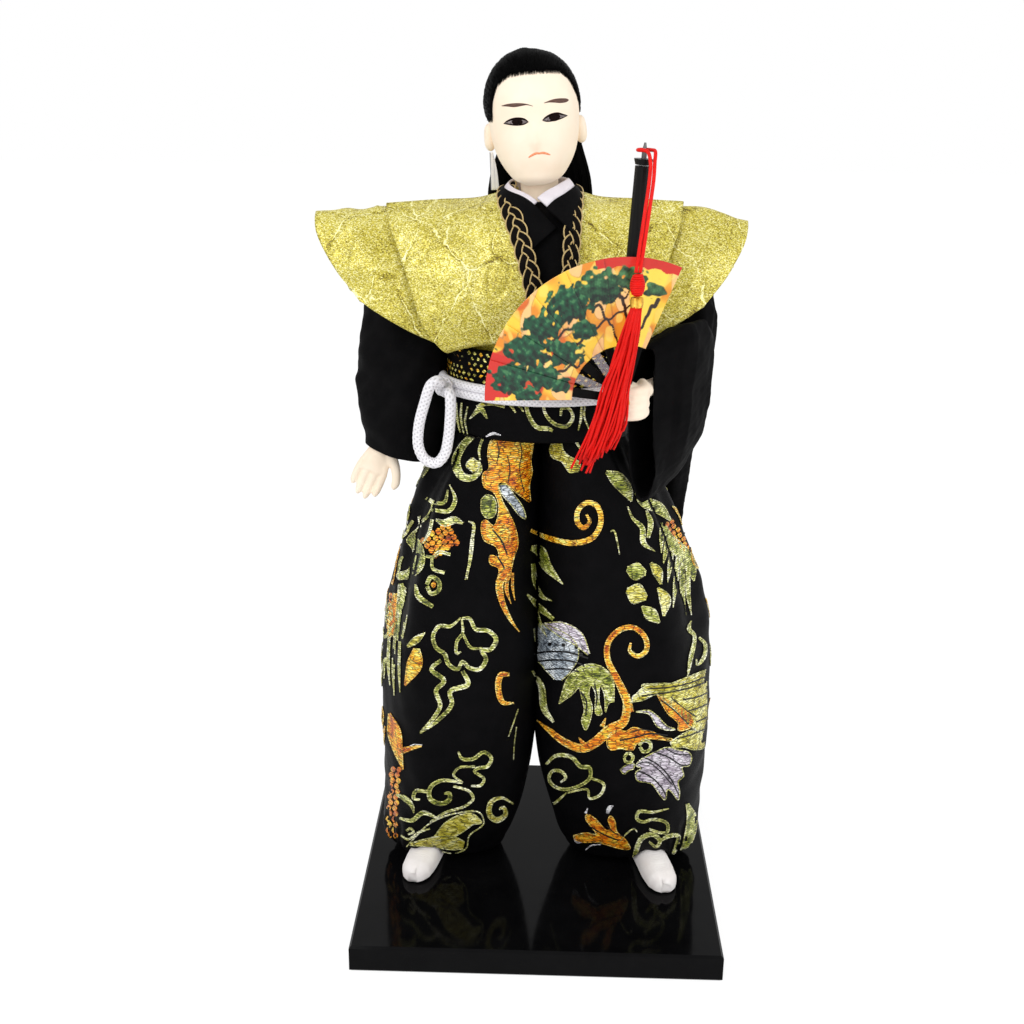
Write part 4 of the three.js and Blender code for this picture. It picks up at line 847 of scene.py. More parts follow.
def foot(side):
    share = np.concatenate([np.linspace(0, 0.8, 40, endpoint=False), np.linspace(0.8, 1, 34)])
    wide, high = columns_at(FOOT_SHAPE, share, smooth=0.0)
    for line in (wide, high):
        line[2:-2] = np.convolve(line, np.ones(5) / 5, "valid")
    turn = whole_turn(48) + math.pi / 48
    c, s = np.cos(turn)[None], np.sin(turn)[None]
    w = (FOOT_WIDTH / 2 * wide)[:, None]
    h = (FOOT_HEIGHT * high)[:, None]
    lower = s < 0
    z = np.where(lower, FOOT_WIDEST, 1 - FOOT_WIDEST) * np.sign(s) * np.abs(s) ** np.where(lower, 0.35, 0.9)
    z = h * (FOOT_WIDEST + z)
    x = w * np.sign(c) * np.abs(c) ** np.where(lower, 0.56, 0.75)
    y = np.broadcast_to((HEEL - share * FOOT_LENGTH)[:, None], x.shape).copy()
    cleft = np.exp(-((x + side * CLEFT_X) / CLEFT_HALF) ** 2) * ramp(share, 0.8, 0.93)[:, None]
    z = np.maximum(z, 0) + GAP - cleft * SLIT * 0.6 * (z > h * FOOT_WIDEST)
    y += cleft * SLIT * ramp(share, 0.93, 1)[:, None]
    angle = math.radians(side * FOOT_TURN)
    px = ANKLE[side][0] + x * math.cos(angle) - y * math.sin(angle)
    py = ANKLE[side][1] + x * math.sin(angle) + y * math.cos(angle)
    points, faces = loft(np.stack([px, py, z], axis=-1))
    name = SIDE_NAME[side]
    make(f"{name}_sock", points, faces, COTTON, "doll", [f"{name}_foot"])


for side in (RIGHT, LEFT):
    foot(side)


# Trousers

HEM, TROUSER_TOP = 1.4, 167.6
HEM_ASIDE, HEM_ABOVE = 0.9, 0.6  # room between the foot and the hem
SEAM = -0.5  # the legs are sewn together above the knees
# Height, the outer and inner edges' distances from the seam, and the depths of the front and the back
TROUSERS = {
    RIGHT: np.array([
        [HEM, 44, 18, 3, 19], [3.2, 50.4, 13.2, 10, 23], [9, 53.7, 9.5, 15.5, 25.5], [21, 54.5, 5, 20.5, 27],
        [40, 55.4, 1.2, 25, 29], [56, 55.6, SEAM, 27.6, 29.4], [88, 54.2, SEAM, 29, 28.4],
        [118, 48.4, SEAM, 28.5, 26.4], [148, 39.2, SEAM, 26.6, 23], [158, 33.4, SEAM, 24.8, 21],
        [TROUSER_TOP, 30, SEAM, 21.5, 18.5]]),
    LEFT: np.array([
        [HEM, 50, 24, 3, 19], [3.2, 56.4, 16.6, 10, 23], [9, 60.2, 11, 15.5, 25.5], [21, 60.8, 6.8, 20.5, 27],
        [40, 62.4, 1.6, 25, 29], [56, 63.2, SEAM, 27.6, 29.4], [88, 61.4, SEAM, 29, 28.4],
        [118, 53.4, SEAM, 28.5, 26.4], [148, 40.6, SEAM, 26.6, 23], [158, 34, SEAM, 24.8, 21],
        [TROUSER_TOP, 28.6, SEAM, 21.5, 18.5]]),
}
PLEATS, PLEAT_DEPTH, GATHER_DEPTH = 6, 2.1, 1.1
WAIST_TUCKS, WAIST_TUCK_DEPTH = 17, 0.55
HEM_TUCKS, HEM_TUCK_DEPTH = 27, 0.5


def over_foot(side, points):
    """Lifts cloth that would lie in the foot, so that the hem arches over it."""
    across, share = to_foot(side, points[..., 0], points[..., 1])
    wide, high = columns_at(FOOT_SHAPE, share, smooth=0.0)
    wide = FOOT_WIDTH / 2 * wide + HEM_ASIDE
    high = FOOT_HEIGHT * high
    inside = (np.abs(across) < wide) & (share > 0.05) & (share < 1.03)
    round_top = np.sqrt(np.clip(1 - (across / wide) ** 2, 0, 1)) ** 0.7
    top = GAP + HEM_ABOVE + high * (0.25 + 0.75 * round_top)
    lifted = points.copy()
    lifted[..., 2] = np.where(inside & (points[..., 2] < top), top, points[..., 2])
    return lifted


def leg_grid(side):
    z = np.concatenate([np.linspace(HEM, 14, 26, endpoint=False), np.linspace(14, TROUSER_TOP, 130)])
    turn = whole_turn(260)
    outer, inner, front, back = columns_at(TROUSERS[side], z, smooth=0.7)
    x, y = ellipse(turn[None], ((outer - inner) / 2)[:, None], front[:, None], back[:, None], 2.35)
    x = x + (SEAM_X + side * (outer + inner) / 2)[:, None]
    high = z[:, None]
    below_top = TROUSER_TOP - high
    outward = np.clip(0.6 + side * np.cos(turn), 0, 1)[None]
    pleat = PLEAT_DEPTH * ramp(high, 50, 110) * ramp(below_top, 0, 12)
    gather = GATHER_DEPTH * ramp(-high, -30, -10) * ramp(high, HEM, HEM + 4)
    waist_tuck = WAIST_TUCK_DEPTH * ramp(high, 95, 150) * ramp(below_top, -2, 6)
    hem_tuck = HEM_TUCK_DEPTH * ramp(-high, -24, -6) * ramp(high, HEM, HEM + 3)
    wave = (pleat + gather) * np.cos(PLEATS * turn)
    wave = wave + waist_tuck * np.cos(WAIST_TUCKS * turn + side)
    wave = (wave + hem_tuck * np.cos(HEM_TUCKS * turn + 2 * side)) * outward
    points = np.stack([x + wave * np.cos(turn), y + wave * np.sin(turn),
                       np.broadcast_to(high, x.shape)], axis=-1)
    soft = 0.5 * crumple(points * (1, 1, 0.6), 30, 3 + side) + 0.14 * crumple(points, 9, 5 + side)
    soft *= outward * ramp(high, HEM, 8) * ramp(below_top, 0, 10)
    points[..., 0] += soft * np.cos(turn)
    points[..., 1] += soft * np.sin(turn)
    return over_foot(side, points)


def trouser_leg(side):
    grid = leg_grid(side)
    rows, columns = grid.shape[:2]
    name = SIDE_NAME[side]
    points = grid.reshape(-1, 3)
    faces = grid_faces(rows, columns, wrap=True)
    obj = make(f"{name}_trouser_cloth", points, faces, SATIN, "doll", [f"{name}_trouser_leg"])
    cut_sheet(grid, wrap=True)
    return obj


LEGS = [trouser_leg(side) for side in (RIGHT, LEFT)]


# Waist: band, sash and cords

WAIST_A, WAIST_B = 26.0, 19.0
DRAPE = 1.1
VEST_GROW = GAP + CLOTH + DRAPE
SASH_GROW = VEST_GROW + BROCADE + DRAPE
SASH_OUT = SASH_GROW + BROCADE
WAISTBAND_LOW, WAISTBAND_HEIGHT, SASH_HEIGHT = TROUSER_TOP + GAP, 12.2, 16.6
SASH_LOW = WAISTBAND_LOW + WAISTBAND_HEIGHT + GAP
CORD_RADIUS = 1.45
CORD_GROW = SASH_OUT + GAP + CORD_RADIUS
CORD_LOW = SASH_LOW + 1.7
CORD_HIGH = CORD_LOW + 2 * CORD_RADIUS - 0.1


def on_waist(turn, z, grow):
    return np.stack(np.broadcast_arrays(BODY_X + (WAIST_A + grow) * np.cos(turn),
                                        BODY_Y + (WAIST_B + grow) * np.sin(turn), z), axis=-1)


def waist_band(name, low, high, inner, outer, material, node, rolls):
    """A folded band of cloth round the waist, with soft rolls along it."""
    turn = whole_turn(240)
    share = np.linspace(0, 1, 26)
    rings = []
    for s in share:
        swell = -0.5 * abs(2 * s - 1) ** 8 + rolls * math.sin(math.pi * 3 * s + 0.6)
        ring = on_waist(turn, low + (high - low) * s, outer + swell)
        out = unit(ring - (BODY_X, BODY_Y, ring[0, 2]))
        rings.append(ring + 0.12 * crumple(ring * (1, 1, 2), 14, 21)[:, None] * out)
    for s in share[::-1]:
        rings.append(on_waist(turn, low + (high - low) * s, inner))
    points, faces = loft(rings, caps=False)
    size, last = len(turn), len(points) - len(turn)
    faces += [[last + j, last + (j + 1) % size, (j + 1) % size, j] for j in range(size)]
    return make(name, points, faces, material, "doll", [node])


BAND = waist_band("trouser_waistband", WAISTBAND_LOW, WAISTBAND_LOW + WAISTBAND_HEIGHT, 2 * GAP + CLOTH,
                  SASH_OUT, SATIN, "waistband", 0.12)
SASH = waist_band("sash_brocade", SASH_LOW, SASH_LOW + SASH_HEIGHT, SASH_GROW, SASH_OUT, SATIN, "sash",
                  0.2)
sash_turn = np.linspace(0, FULL_TURN, 121)
sash_grid = np.stack([on_waist(sash_turn, z, SASH_OUT)
                      for z in np.linspace(SASH_LOW, SASH_LOW + SASH_HEIGHT, 9)])
cut_sheet(sash_grid)


def waist_cord(name, z, node):
    turn = np.linspace(0, FULL_TURN, 520)
    path = on_waist(turn, z, CORD_GROW)
    points, faces, uv = plaited(path, CORD_RADIUS)
    make(name, points, faces, CORD_WHITE, "doll", [node], uv)


waist_cord("waist_cord_low_turn", CORD_LOW, "waist_cord_lower")
waist_cord("waist_cord_high_turn", CORD_HIGH, "waist_cord_upper")
KNOT_TURN = math.radians(214)
KNOT = on_waist(KNOT_TURN, (CORD_LOW + CORD_HIGH) / 2 + 1, CORD_GROW + CORD_RADIUS + GAP + 3)
KNOT_DEEP, KNOT_TALL = 1.35, 2.1  # radii of the knot's turns
KNOT_HALF, KNOT_RISE = 2.4, 0.4  # half the length and half the slope of its core
KNOT_CORD, KNOT_CORE = 1.3, 1.5  # radii of the cord in its turns and its core


def hip_knot():
    """The cord passes twice round the knot's level core."""
    turn = np.linspace(0, FULL_TURN, 70)
    out = np.array([math.cos(KNOT_TURN), math.sin(KNOT_TURN), 0])
    level = np.array([-out[1], out[0], 0])
    parts = []
    for shift, lean in ((-0.95, 0.25), (0.95, -0.2)):
        at = KNOT + level * shift
        ring = (at + np.outer(np.cos(turn) * KNOT_DEEP, out)
                + np.outer(np.sin(turn) * KNOT_TALL, UP + lean * level))
        parts.append(plaited(ring, KNOT_CORD))
    core = np.array([KNOT - level * KNOT_HALF - UP * KNOT_RISE, KNOT,
                     KNOT + level * KNOT_HALF + UP * KNOT_RISE])
    parts.append(plaited(even_path(core, PLAIT_STEP), KNOT_CORE))
    points, faces, uv = bundle(parts)
    make("hip_knot", points, faces, CORD_WHITE, "doll", ["cord_knot"], uv)


hip_knot()


# Embroidery: strokes of thread, drawn on the picture's plane and cast onto the cloth

PIXELS_PER_MM = 3.1
LIFT = 0.16  # of a thread off the cloth
FIGURE_LIFT, EDGE_LIFT, DARK_LIFT = 0.08, 0.12, 0.16  # what figures, edges and dark threads have more
CROWN = 0.14  # how much higher a ribbon's middle is than its edges
FACING = 0.22  # least cosine between the view and the cloth
BEHIND = 4.0  # millimetres past the middle of the body
TORN = 4.5  # millimetres: a face this long would span a fold
STROKE_STEP, BORDER_STEP, OUTLINE_STEP = 1.3, 2.0, 1.6  # pixels
EDGE_WIDTH = 1.05  # pixels
COLUMN_WIDTH = 2.4  # pixels of a ribbon's width for two more columns of points
SHORT = 7.0  # pixels: a stroke this short has no edge
STITCH = 1.1  # pixels between the points of a filled figure
PLAIN = ("white", "dark")  # threads without an edge
WARM = ("gold", "orange")  # threads whose edge is the rim's


def turn_about_body(points, angle):
    c, s = math.cos(angle), math.sin(angle)
    x, y = points[..., 0] - BODY_X, points[..., 1]
    return np.stack([BODY_X + c * x - s * y, s * x + c * y, points[..., 2]], axis=-1)


def cast(tree, x, y, angle):
    """Where the view through a pixel meets the cloth, and the cloth's direction there."""
    start, way = ray(x, y)
    if angle:
        end = turn_about_body(start + way, angle)
        start = turn_about_body(start, angle)
        way = end - start
    place, normal, _, _ = tree.ray_cast(Vector(start), Vector(way))
    if place is None or place[1] * way[1] > BEHIND:
        return None
    facing = -normal.dot(Vector(way))
    if facing < 0:
        normal, facing = -normal, -facing
    return (np.array(place), np.array(normal)) if facing > FACING else None


def cast_grid(tree, pixels, uv, angle, lift, wanted):
    """A grid of pixels cast onto the cloth and lifted off it, as (points, faces, uv)."""
    index = -np.ones(wanted.shape, int)
    points = []
    for cell in zip(*np.nonzero(wanted)):
        hit = cast(tree, *pixels[cell], angle)
        if hit is not None:
            index[cell] = len(points)
            points.append(hit[0] + hit[1] * lift[cell])
    points = np.array(points).reshape(-1, 3)
    quads = np.stack([index[:-1, :-1], index[:-1, 1:], index[1:, 1:], index[1:, :-1]], axis=-1).reshape(-1, 4)
    faces = [q.tolist() for q in quads if q.min() >= 0 and np.linalg.norm(np.ptp(points[q], axis=0)) < TORN]
    return points, faces, uv[index >= 0]


def beside(line):
    """Unit directions across a line on the picture."""
    along = unit(np.gradient(line, axis=0))
    return np.stack([-along[:, 1], along[:, 0]], axis=1)


def ribbon(tree, stroke, angle, lift, columns):
    """A flat ribbon along a stroke of (x, y, width), as (points, faces, uv)."""
    line = even_path(stroke, STROKE_STEP)
    xy, width = line[:, :2], line[:, 2:]
    share = np.linspace(-0.5, 0.5, columns)
    across = width * share
    pixels = xy[:, None] + beside(xy)[:, None] * across[..., None]
    far = np.broadcast_to(along_path(xy)[:, None], across.shape)
    crown = np.broadcast_to(lift + CROWN * (1 - (2 * share) ** 2), across.shape)
    uv = np.stack([across, far], axis=-1) / PIXELS_PER_MM
    return cast_grid(tree, pixels, uv, angle, crown, np.ones(across.shape, bool))


def with_width(line, width):
    return np.concatenate([line, np.full((len(line), 1), width)], axis=1)


def border(stroke, sign):
    """The line along one side of a stroke."""
    line = even_path(stroke, BORDER_STEP)
    inset = np.maximum(line[:, 2:] - EDGE_WIDTH, 0) / 2
    return with_width(line[:, :2] + beside(line[:, :2]) * (sign * inset), EDGE_WIDTH)


def dotted(thread, path, across, pitch, size):
    """Strokes for rows of small scales along a path."""
    line = even_path(path, pitch)
    strokes = []
    for k, (at, side) in enumerate(zip(line, beside(line))):
        for row in range(across):
            shift = (row - (across - 1) / 2 + 0.25 * (k % 2)) * pitch * 1.1
            x, y = at + side * shift
            tip = size * 0.7
            strokes.append((thread, [(x, y - tip, size * 0.5), (x, y, size * 1.3), (x, y + tip, size * 0.5)]))
    return strokes


def within(x, y, outline):
    """Which points lie inside a closed outline."""
    inside = np.zeros(x.shape, bool)
    for (ax, ay), (bx, by) in zip(outline, np.roll(outline, -1, axis=0)):
        if ay != by:
            crosses = (ay > y) != (by > y)
            inside ^= crosses & (x < ax + (y - ay) / (by - ay) * (bx - ax))
    return inside


def figure(tree, outline, angle, lift):
    """A filled figure inside a closed outline, as (points, faces, uv)."""
    low, high = outline.min(axis=0), outline.max(axis=0) + STITCH
    x, y = np.meshgrid(*(np.arange(low[k], high[k], STITCH) for k in (0, 1)))
    pixels = np.stack([x, y], axis=-1)
    wanted = within(x, y, outline)
    return cast_grid(tree, pixels, pixels / PIXELS_PER_MM, angle, np.full(x.shape, lift), wanted)


def embroider(name, tree, panels, angles):
    """Objects of one thread each from panels of (x, y, scale, strokes) on the picture.

    A stroke of (x, y, width) is a ribbon, and one of (x, y) is a figure's outline. Each is cast once for
    each angle that the view is turned by."""
    parts = {}
    for x0, y0, scale, strokes in panels:
        for thread, stroke in strokes:
            line = np.array(stroke, float) / scale
            line[:, :2] += (x0, y0)
            filled = line.shape[1] == 2
            if filled:
                line = even_path(np.concatenate([line, line[:1]]), OUTLINE_STEP)
                rims = [with_width(line, EDGE_WIDTH)]
            elif thread in PLAIN or length_of(line[:, :2]) < SHORT:
                rims = []
            else:
                rims = [border(line, sign) for sign in (-1, 1)]
            edge = "rim" if thread in WARM else "edge"
            for angle in angles:
                if filled:
                    made = figure(tree, line[:-1], angle, LIFT + FIGURE_LIFT)
                else:
                    columns = int(np.clip(line[:, 2].max() / COLUMN_WIDTH, 1, 12)) * 2 + 1
                    made = ribbon(tree, line, angle, LIFT + DARK_LIFT * (thread == "dark"), columns)
                parts.setdefault(thread, []).append(made)
                for rim in rims:
                    parts.setdefault(edge, []).append(ribbon(tree, rim, angle, LIFT + EDGE_LIFT, 3))
    for thread, pieces in parts.items():
        points, faces, uv = bundle([p for p in pieces if p[1]])
        make(f"{name}_{thread}", points, faces, THREADS[thread], "doll", (), uv, out=False)


UPPER_RIGHT_LEG = [
    ("green", [(900, -60, 30), (800, 40, 45), (762, 130, 50), (790, 212, 50), (850, 228, 40),
               (905, 180, 25), (895, 125, 15)]),
    ("yellow", [(860, 108, 16), (862, 150, 90), (866, 192, 16)]),
    ("green", [(935, -40, 14), (900, 60, 14), (905, 120, 8)]),
    ("orange", [(1075, 770, 46), (1022, 860, 46), (1035, 970, 36), (1085, 1080, 22), (1138, 1155, 3)]),
    ("orange", [(1075, 800, 16), (1062, 900, 22), (1088, 985, 3)]),
    ("orange", [(1100, 800, 14), (1098, 880, 16), (1112, 965, 3)]),
    ("green", [(865, 520, 14), (858, 640, 18), (838, 760, 18), (815, 840, 4)]),
    ("green", [(722, 270, 4), (755, 360, 26), (720, 425, 28), (640, 425, 22)]),
    ("green", [(590, 352, 20), (640, 380, 22), (690, 375, 22), (712, 300, 10)]),
    ("green", [(585, 350, 18), (622, 390, 18), (600, 450, 18), (550, 500, 16)]),
    ("green", [(540, 460, 18), (545, 520, 18), (495, 570, 16)]),
    ("green", [(620, 480, 18), (600, 560, 18), (560, 625, 6)]),
    ("green", [(640, 480, 14), (690, 500, 44), (750, 482, 44), (800, 500, 14)]),
    *dotted("orange", [(600, 650), (660, 600), (735, 560)], 4, 34, 26),
    ("green", [(500, 575, 14), (535, 650, 60), (535, 750, 70), (480, 810, 56), (410, 830, 20)]),
    ("green", [(580, 700, 16), (620, 705, 18), (660, 675, 22), (725, 690, 18)]),
    ("green", [(615, 715, 16), (622, 775, 20), (690, 800, 22)]),
    ("green", [(585, 870, 24), (610, 825, 26), (655, 850, 26), (655, 905, 26), (610, 925, 24),
               (587, 880, 22)]),
    ("gold", [(610, 870, 10), (625, 872, 40), (640, 874, 10)]),
    ("green", [(520, 870, 12), (535, 940, 34), (620, 1005, 24)]),
    ("green", [(430, 865, 30), (445, 960, 56), (440, 1080, 56), (440, 1190, 10)]),
    ("green", [(360, 1190, 16), (355, 1350, 18), (365, 1480, 4)]),
    ("green", [(395, 1180, 14), (385, 1380, 18), (390, 1540, 3)]),
    ("green", [(425, 1190, 14), (420, 1380, 16), (425, 1520, 3)]),
    ("yellow", [(470, 1245, 16), (520, 1205, 44), (575, 1160, 6)]),
    ("gold", [(525, 1255, 40), (512, 1350, 92), (455, 1478, 12)]),
    *dotted("orange", [(385, 940), (378, 1120)], 2, 34, 24),
    ("green", [(795, 1080, 10), (800, 1160, 18), (765, 1215, 20), (765, 1285, 18), (790, 1275, 8)]),
    ("green", [(800, 1165, 16), (850, 1250, 18), (915, 1255, 12)]),
    ("green", [(795, 1075, 14), (840, 1075, 22), (880, 1140, 24), (955, 1150, 26), (1000, 1200, 28),
               (965, 1262, 26), (915, 1265, 24), (940, 1320, 26), (900, 1380, 26), (840, 1372, 24),
               (800, 1335, 22), (770, 1380, 24), (715, 1350, 26), (692, 1290, 26), (640, 1250, 24),
               (622, 1180, 24), (660, 1120, 24), (725, 1122, 20), (790, 1070, 10)]),
    ("green", [(670, 1325, 22), (612, 1380, 26), (688, 1450, 28), (640, 1510, 26), (665, 1600, 26),
               (620, 1680, 24), (550, 1760, 16)]),
    ("green", [(800, 1390, 24), (832, 1470, 30), (725, 1515, 28), (735, 1590, 26), (650, 1690, 24),
               (545, 1765, 10)]),
    ("orange", [(1078, 1412, 20), (1030, 1415, 34), (1012, 1480, 36), (1040, 1580, 30), (1105, 1585, 8)]),
]
UPPER_LEFT_LEG = [
    ("yellow", [(225, 10, 60), (225, 70, 90), (270, 110, 60), (330, 165, 90), (350, 188, 10)]),
    ("green", [(330, -20, 20), (350, 30, 16), (405, 95, 10)]),
    ("gold", [(60, 545, 20), (200, 598, 32), (330, 620, 34), (440, 585, 34), (488, 490, 32),
              (462, 395, 32), (400, 378, 30), (350, 425, 30), (350, 500, 30), (385, 528, 28),
              (420, 490, 22), (400, 448, 14)]),
    ("green", [(62, 650, 30), (120, 670, 70), (165, 760, 60), (262, 870, 4)]),
    ("green", [(75, 745, 24), (92, 860, 36), (140, 945, 24), (198, 968, 4)]),
    ("green", [(40, 930, 10), (110, 1000, 40), (205, 1080, 20)]),
    ("green", [(100, 1000, 24), (120, 1100, 26), (165, 1185, 6)]),
    ("silver", [(100, 1120, 60), (165, 1200, 190), (225, 1290, 270), (235, 1380, 170), (232, 1445, 50)]),
    ("lilac", [(150, 1110, 20), (250, 1140, 90), (340, 1190, 90), (415, 1290, 20)]),
    ("green", [(545, 550, 6), (565, 545, 10), (585, 610, 10), (600, 690, 4)]),
    ("green", [(520, 190, 20), (580, 230, 80), (640, 300, 70), (670, 370, 10)]),
    ("green", [(690, 290, 14), (740, 370, 60), (830, 410, 70), (905, 485, 14)]),
    ("green", [(650, 400, 8), (680, 470, 16), (735, 530, 30), (745, 620, 30), (812, 672, 4)]),
    ("green", [(760, 425, 14), (785, 500, 34), (770, 590, 20)]),
    *dotted("orange", [(900, 500), (950, 570), (1000, 660)], 2, 30, 22),
    ("green", [(870, 520, 24), (900, 600, 60), (980, 690, 90), (1030, 780, 60), (1045, 850, 10)]),
    ("green", [(848, 500, 20), (850, 600, 24), (850, 680, 4)]),
    ("green", [(880, 600, 22), (872, 690, 24), (862, 745, 3)]),
    ("green", [(915, 640, 24), (900, 760, 28), (888, 860, 3)]),
    ("green", [(950, 700, 26), (935, 860, 30), (920, 1010, 3)]),
    ("green", [(975, 740, 26), (975, 900, 30), (995, 1055, 3)]),
    ("green", [(1010, 760, 26), (1010, 920, 30), (1030, 1055, 3)]),
    ("green", [(645, 775, 30), (700, 790, 110), (760, 800, 30)]),
    ("yellow", [(642, 905, 30), (700, 925, 130), (765, 950, 30)]),
    ("yellow", [(785, 740, 14), (825, 790, 60), (848, 870, 14)]),
    ("yellow", [(830, 890, 14), (872, 960, 70), (865, 1060, 14)]),
    ("green", [(735, 1000, 14), (790, 1050, 80), (840, 1100, 14)]),
    ("orange", [(660, 1640, 56), (640, 1560, 52), (585, 1440, 42), (528, 1320, 36), (532, 1220, 34),
                (600, 1145, 34), (685, 1130, 32), (755, 1190, 32), (762, 1265, 30), (712, 1302, 28),
                (662, 1270, 22), (668, 1222, 12)]),
    ("green", [(1030, 1090, 6), (1015, 1140, 26), (1048, 1180, 22), (1025, 1320, 26), (1008, 1420, 8)]),
    ("green", [(1075, 1190, 16), (1112, 1230, 22), (1105, 1310, 24), (1065, 1355, 14), (1060, 1320, 8)]),
    ("green", [(245, 1580, 20), (330, 1440, 80), (430, 1390, 90), (520, 1440, 80), (555, 1580, 30)]),
    ("yellow", [(690, 1550, 20), (760, 1500, 40), (900, 1490, 50), (1050, 1440, 60), (1140, 1400, 50)]),
    ("green", [(70, 1390, 10), (130, 1480, 36), (150, 1620, 40), (205, 1700, 14)]),
]
LOWER_LEFT_LEG = [
    ("orange", [(592, 80, 44), (598, 140, 44), (580, 230, 50), (500, 280, 60), (420, 348, 56),
                (350, 380, 48), (250, 345, 40), (160, 275, 26), (98, 224, 4)]),
    ("orange", [(460, 260, 30), (480, 210, 4)]),
    ("orange", [(360, 360, 30), (330, 320, 4)]),
    ("green", [(668, 365, 18), (690, 338, 20), (728, 350, 20), (728, 385, 20), (692, 400, 20),
               (670, 372, 18)]),
    ("green", [(582, 430, 16), (605, 408, 18), (632, 425, 18), (622, 455, 18), (592, 456, 16),
               (582, 432, 14)]),
    ("green", [(150, 470, 14), (205, 422, 20), (290, 430, 22), (340, 482, 22), (390, 490, 22),
               (392, 545, 20), (330, 592, 18), (245, 610, 18), (190, 590, 18), (165, 550, 18),
               (185, 508, 18), (232, 510, 18), (258, 545, 16), (230, 570, 10)]),
    ("green", [(395, 545, 14), (470, 582, 16), (450, 640, 16), (390, 660, 14), (380, 612, 12),
               (270, 628, 10)]),
    ("green", [(150, 618, 8), (185, 690, 16), (240, 650, 12), (262, 628, 6)]),
    ("white", [(302, 868, 8), (318, 905, 14), (352, 906, 6)]),
    ("white", [(368, 745, 14), (380, 715, 6)]),
    ("white", [(488, 745, 16), (502, 715, 24), (522, 702, 6)]),
    ("white", [(368, 950, 6), (400, 925, 8), (455, 920, 4)]),
    ("green", [(832, 718, 6), (740, 738, 14), (665, 735, 20), (655, 775, 20), (690, 792, 16),
               (745, 778, 16), (820, 800, 18), (822, 850, 18), (780, 852, 16), (722, 832, 12)]),
    ("green", [(632, 1025, 14), (648, 960, 26), (680, 885, 28), (742, 862, 26), (782, 900, 22),
               (762, 930, 18), (722, 902, 10)]),
    ("green", [(792, 892, 16), (832, 872, 22), (884, 872, 22), (872, 935, 22), (850, 985, 14)]),
    ("green", [(935, 690, 20), (960, 780, 60), (935, 905, 50), (900, 950, 10)]),
    ("edge", [(560, 900, 5), (605, 850, 7), (640, 830, 6), (655, 848, 4)]),
]
LOWER_RIGHT_LEG = [
    ("orange", [(335, 185, 14), (362, 290, 76), (385, 400, 50), (412, 500, 6)]),
    ("orange", [(390, 400, 40), (450, 382, 26), (515, 368, 8)]),
    ("white", [(430, 385, 5), (465, 362, 7), (518, 362, 5)]),
    *dotted("orange", [(372, 500), (362, 640), (352, 780), (352, 870)], 2, 30, 22),
    ("green", [(372, 640, 10), (420, 660, 30), (460, 700, 24), (472, 745, 4)]),
    ("green", [(718, 398, 10), (740, 438, 18), (800, 440, 20), (862, 402, 20), (902, 435, 20),
               (880, 482, 20), (828, 492, 18), (808, 508, 16), (862, 552, 16), (842, 588, 16),
               (790, 590, 10)]),
    ("green", [(812, 482, 14), (722, 490, 14), (692, 530, 14), (742, 572, 12)]),
    ("green", [(742, 572, 14), (620, 562, 20), (562, 602, 24), (562, 662, 26), (620, 690, 26),
               (668, 668, 26), (668, 632, 22), (640, 634, 12)]),
    ("green", [(545, 622, 18), (482, 620, 20), (470, 660, 20), (505, 668, 10)]),
    ("green", [(690, 592, 12), (780, 622, 16), (802, 662, 16), (760, 702, 14), (642, 742, 14),
               (562, 792, 10)]),
    ("yellow", [(585, 890, 30), (680, 830, 100), (780, 780, 80), (850, 795, 14)]),
    ("yellow", [(450, 918, 16), (580, 905, 60), (680, 910, 80), (750, 925, 50)]),
    ("edge", [(430, 930, 6), (560, 800, 8), (700, 745, 8), (835, 740, 8), (860, 800, 7), (780, 870, 7),
              (762, 940, 7), (690, 968, 6), (600, 950, 5)]),
    ("yellow", [(1025, 692, 10), (960, 658, 16), (902, 682, 26), (892, 750, 32), (932, 782, 32),
                (980, 752, 26), (970, 712, 20), (945, 722, 10)]),
    ("green", [(392, 772, 12), (460, 785, 22), (520, 742, 26), (605, 772, 8)]),
    ("green", [(430, 842, 12), (452, 828, 14), (470, 850, 12), (440, 862, 10)]),
    ("green", [(400, 870, 8), (440, 890, 12), (500, 850, 14), (560, 830, 8)]),
    ("edge", [(1052, 160, 5), (1025, 240, 6), (998, 315, 4)]),
    ("edge", [(1042, 260, 4), (1030, 360, 5), (1025, 445, 4)]),
]
WAISTBAND_STROKES = [
    ("yellow", [(350, 570, 14), (470, 540, 50), (560, 575, 20)]),
    ("green", [(300, 660, 10), (380, 590, 40), (430, 660, 12)]),
    ("green", [(560, 540, 12), (600, 560, 24), (640, 615, 10)]),
    ("green", [(620, 535, 12), (660, 560, 22), (700, 610, 10)]),
    ("green", [(710, 530, 24), (740, 640, 30), (800, 725, 34), (880, 735, 34), (915, 750, 20)]),
    ("green", [(840, 520, 20), (860, 620, 24), (930, 700, 28), (1020, 715, 28), (1065, 650, 26),
               (1040, 590, 24), (985, 585, 22), (975, 640, 16)]),
    ("green", [(240, 540, 12), (235, 660, 16), (260, 790, 8)]),
    ("green", [(200, 540, 12), (210, 680, 16), (240, 800, 8)]),
    ("green", [(285, 570, 10), (265, 680, 14), (285, 780, 6)]),
    ("green", [(1130, 560, 14), (1125, 660, 18), (1105, 750, 8)]),
    ("green", [(1160, 540, 12), (1150, 640, 14), (1185, 740, 8)]),
    ("white", [(420, 795, 10), (470, 772, 22), (530, 785, 8)]),
]
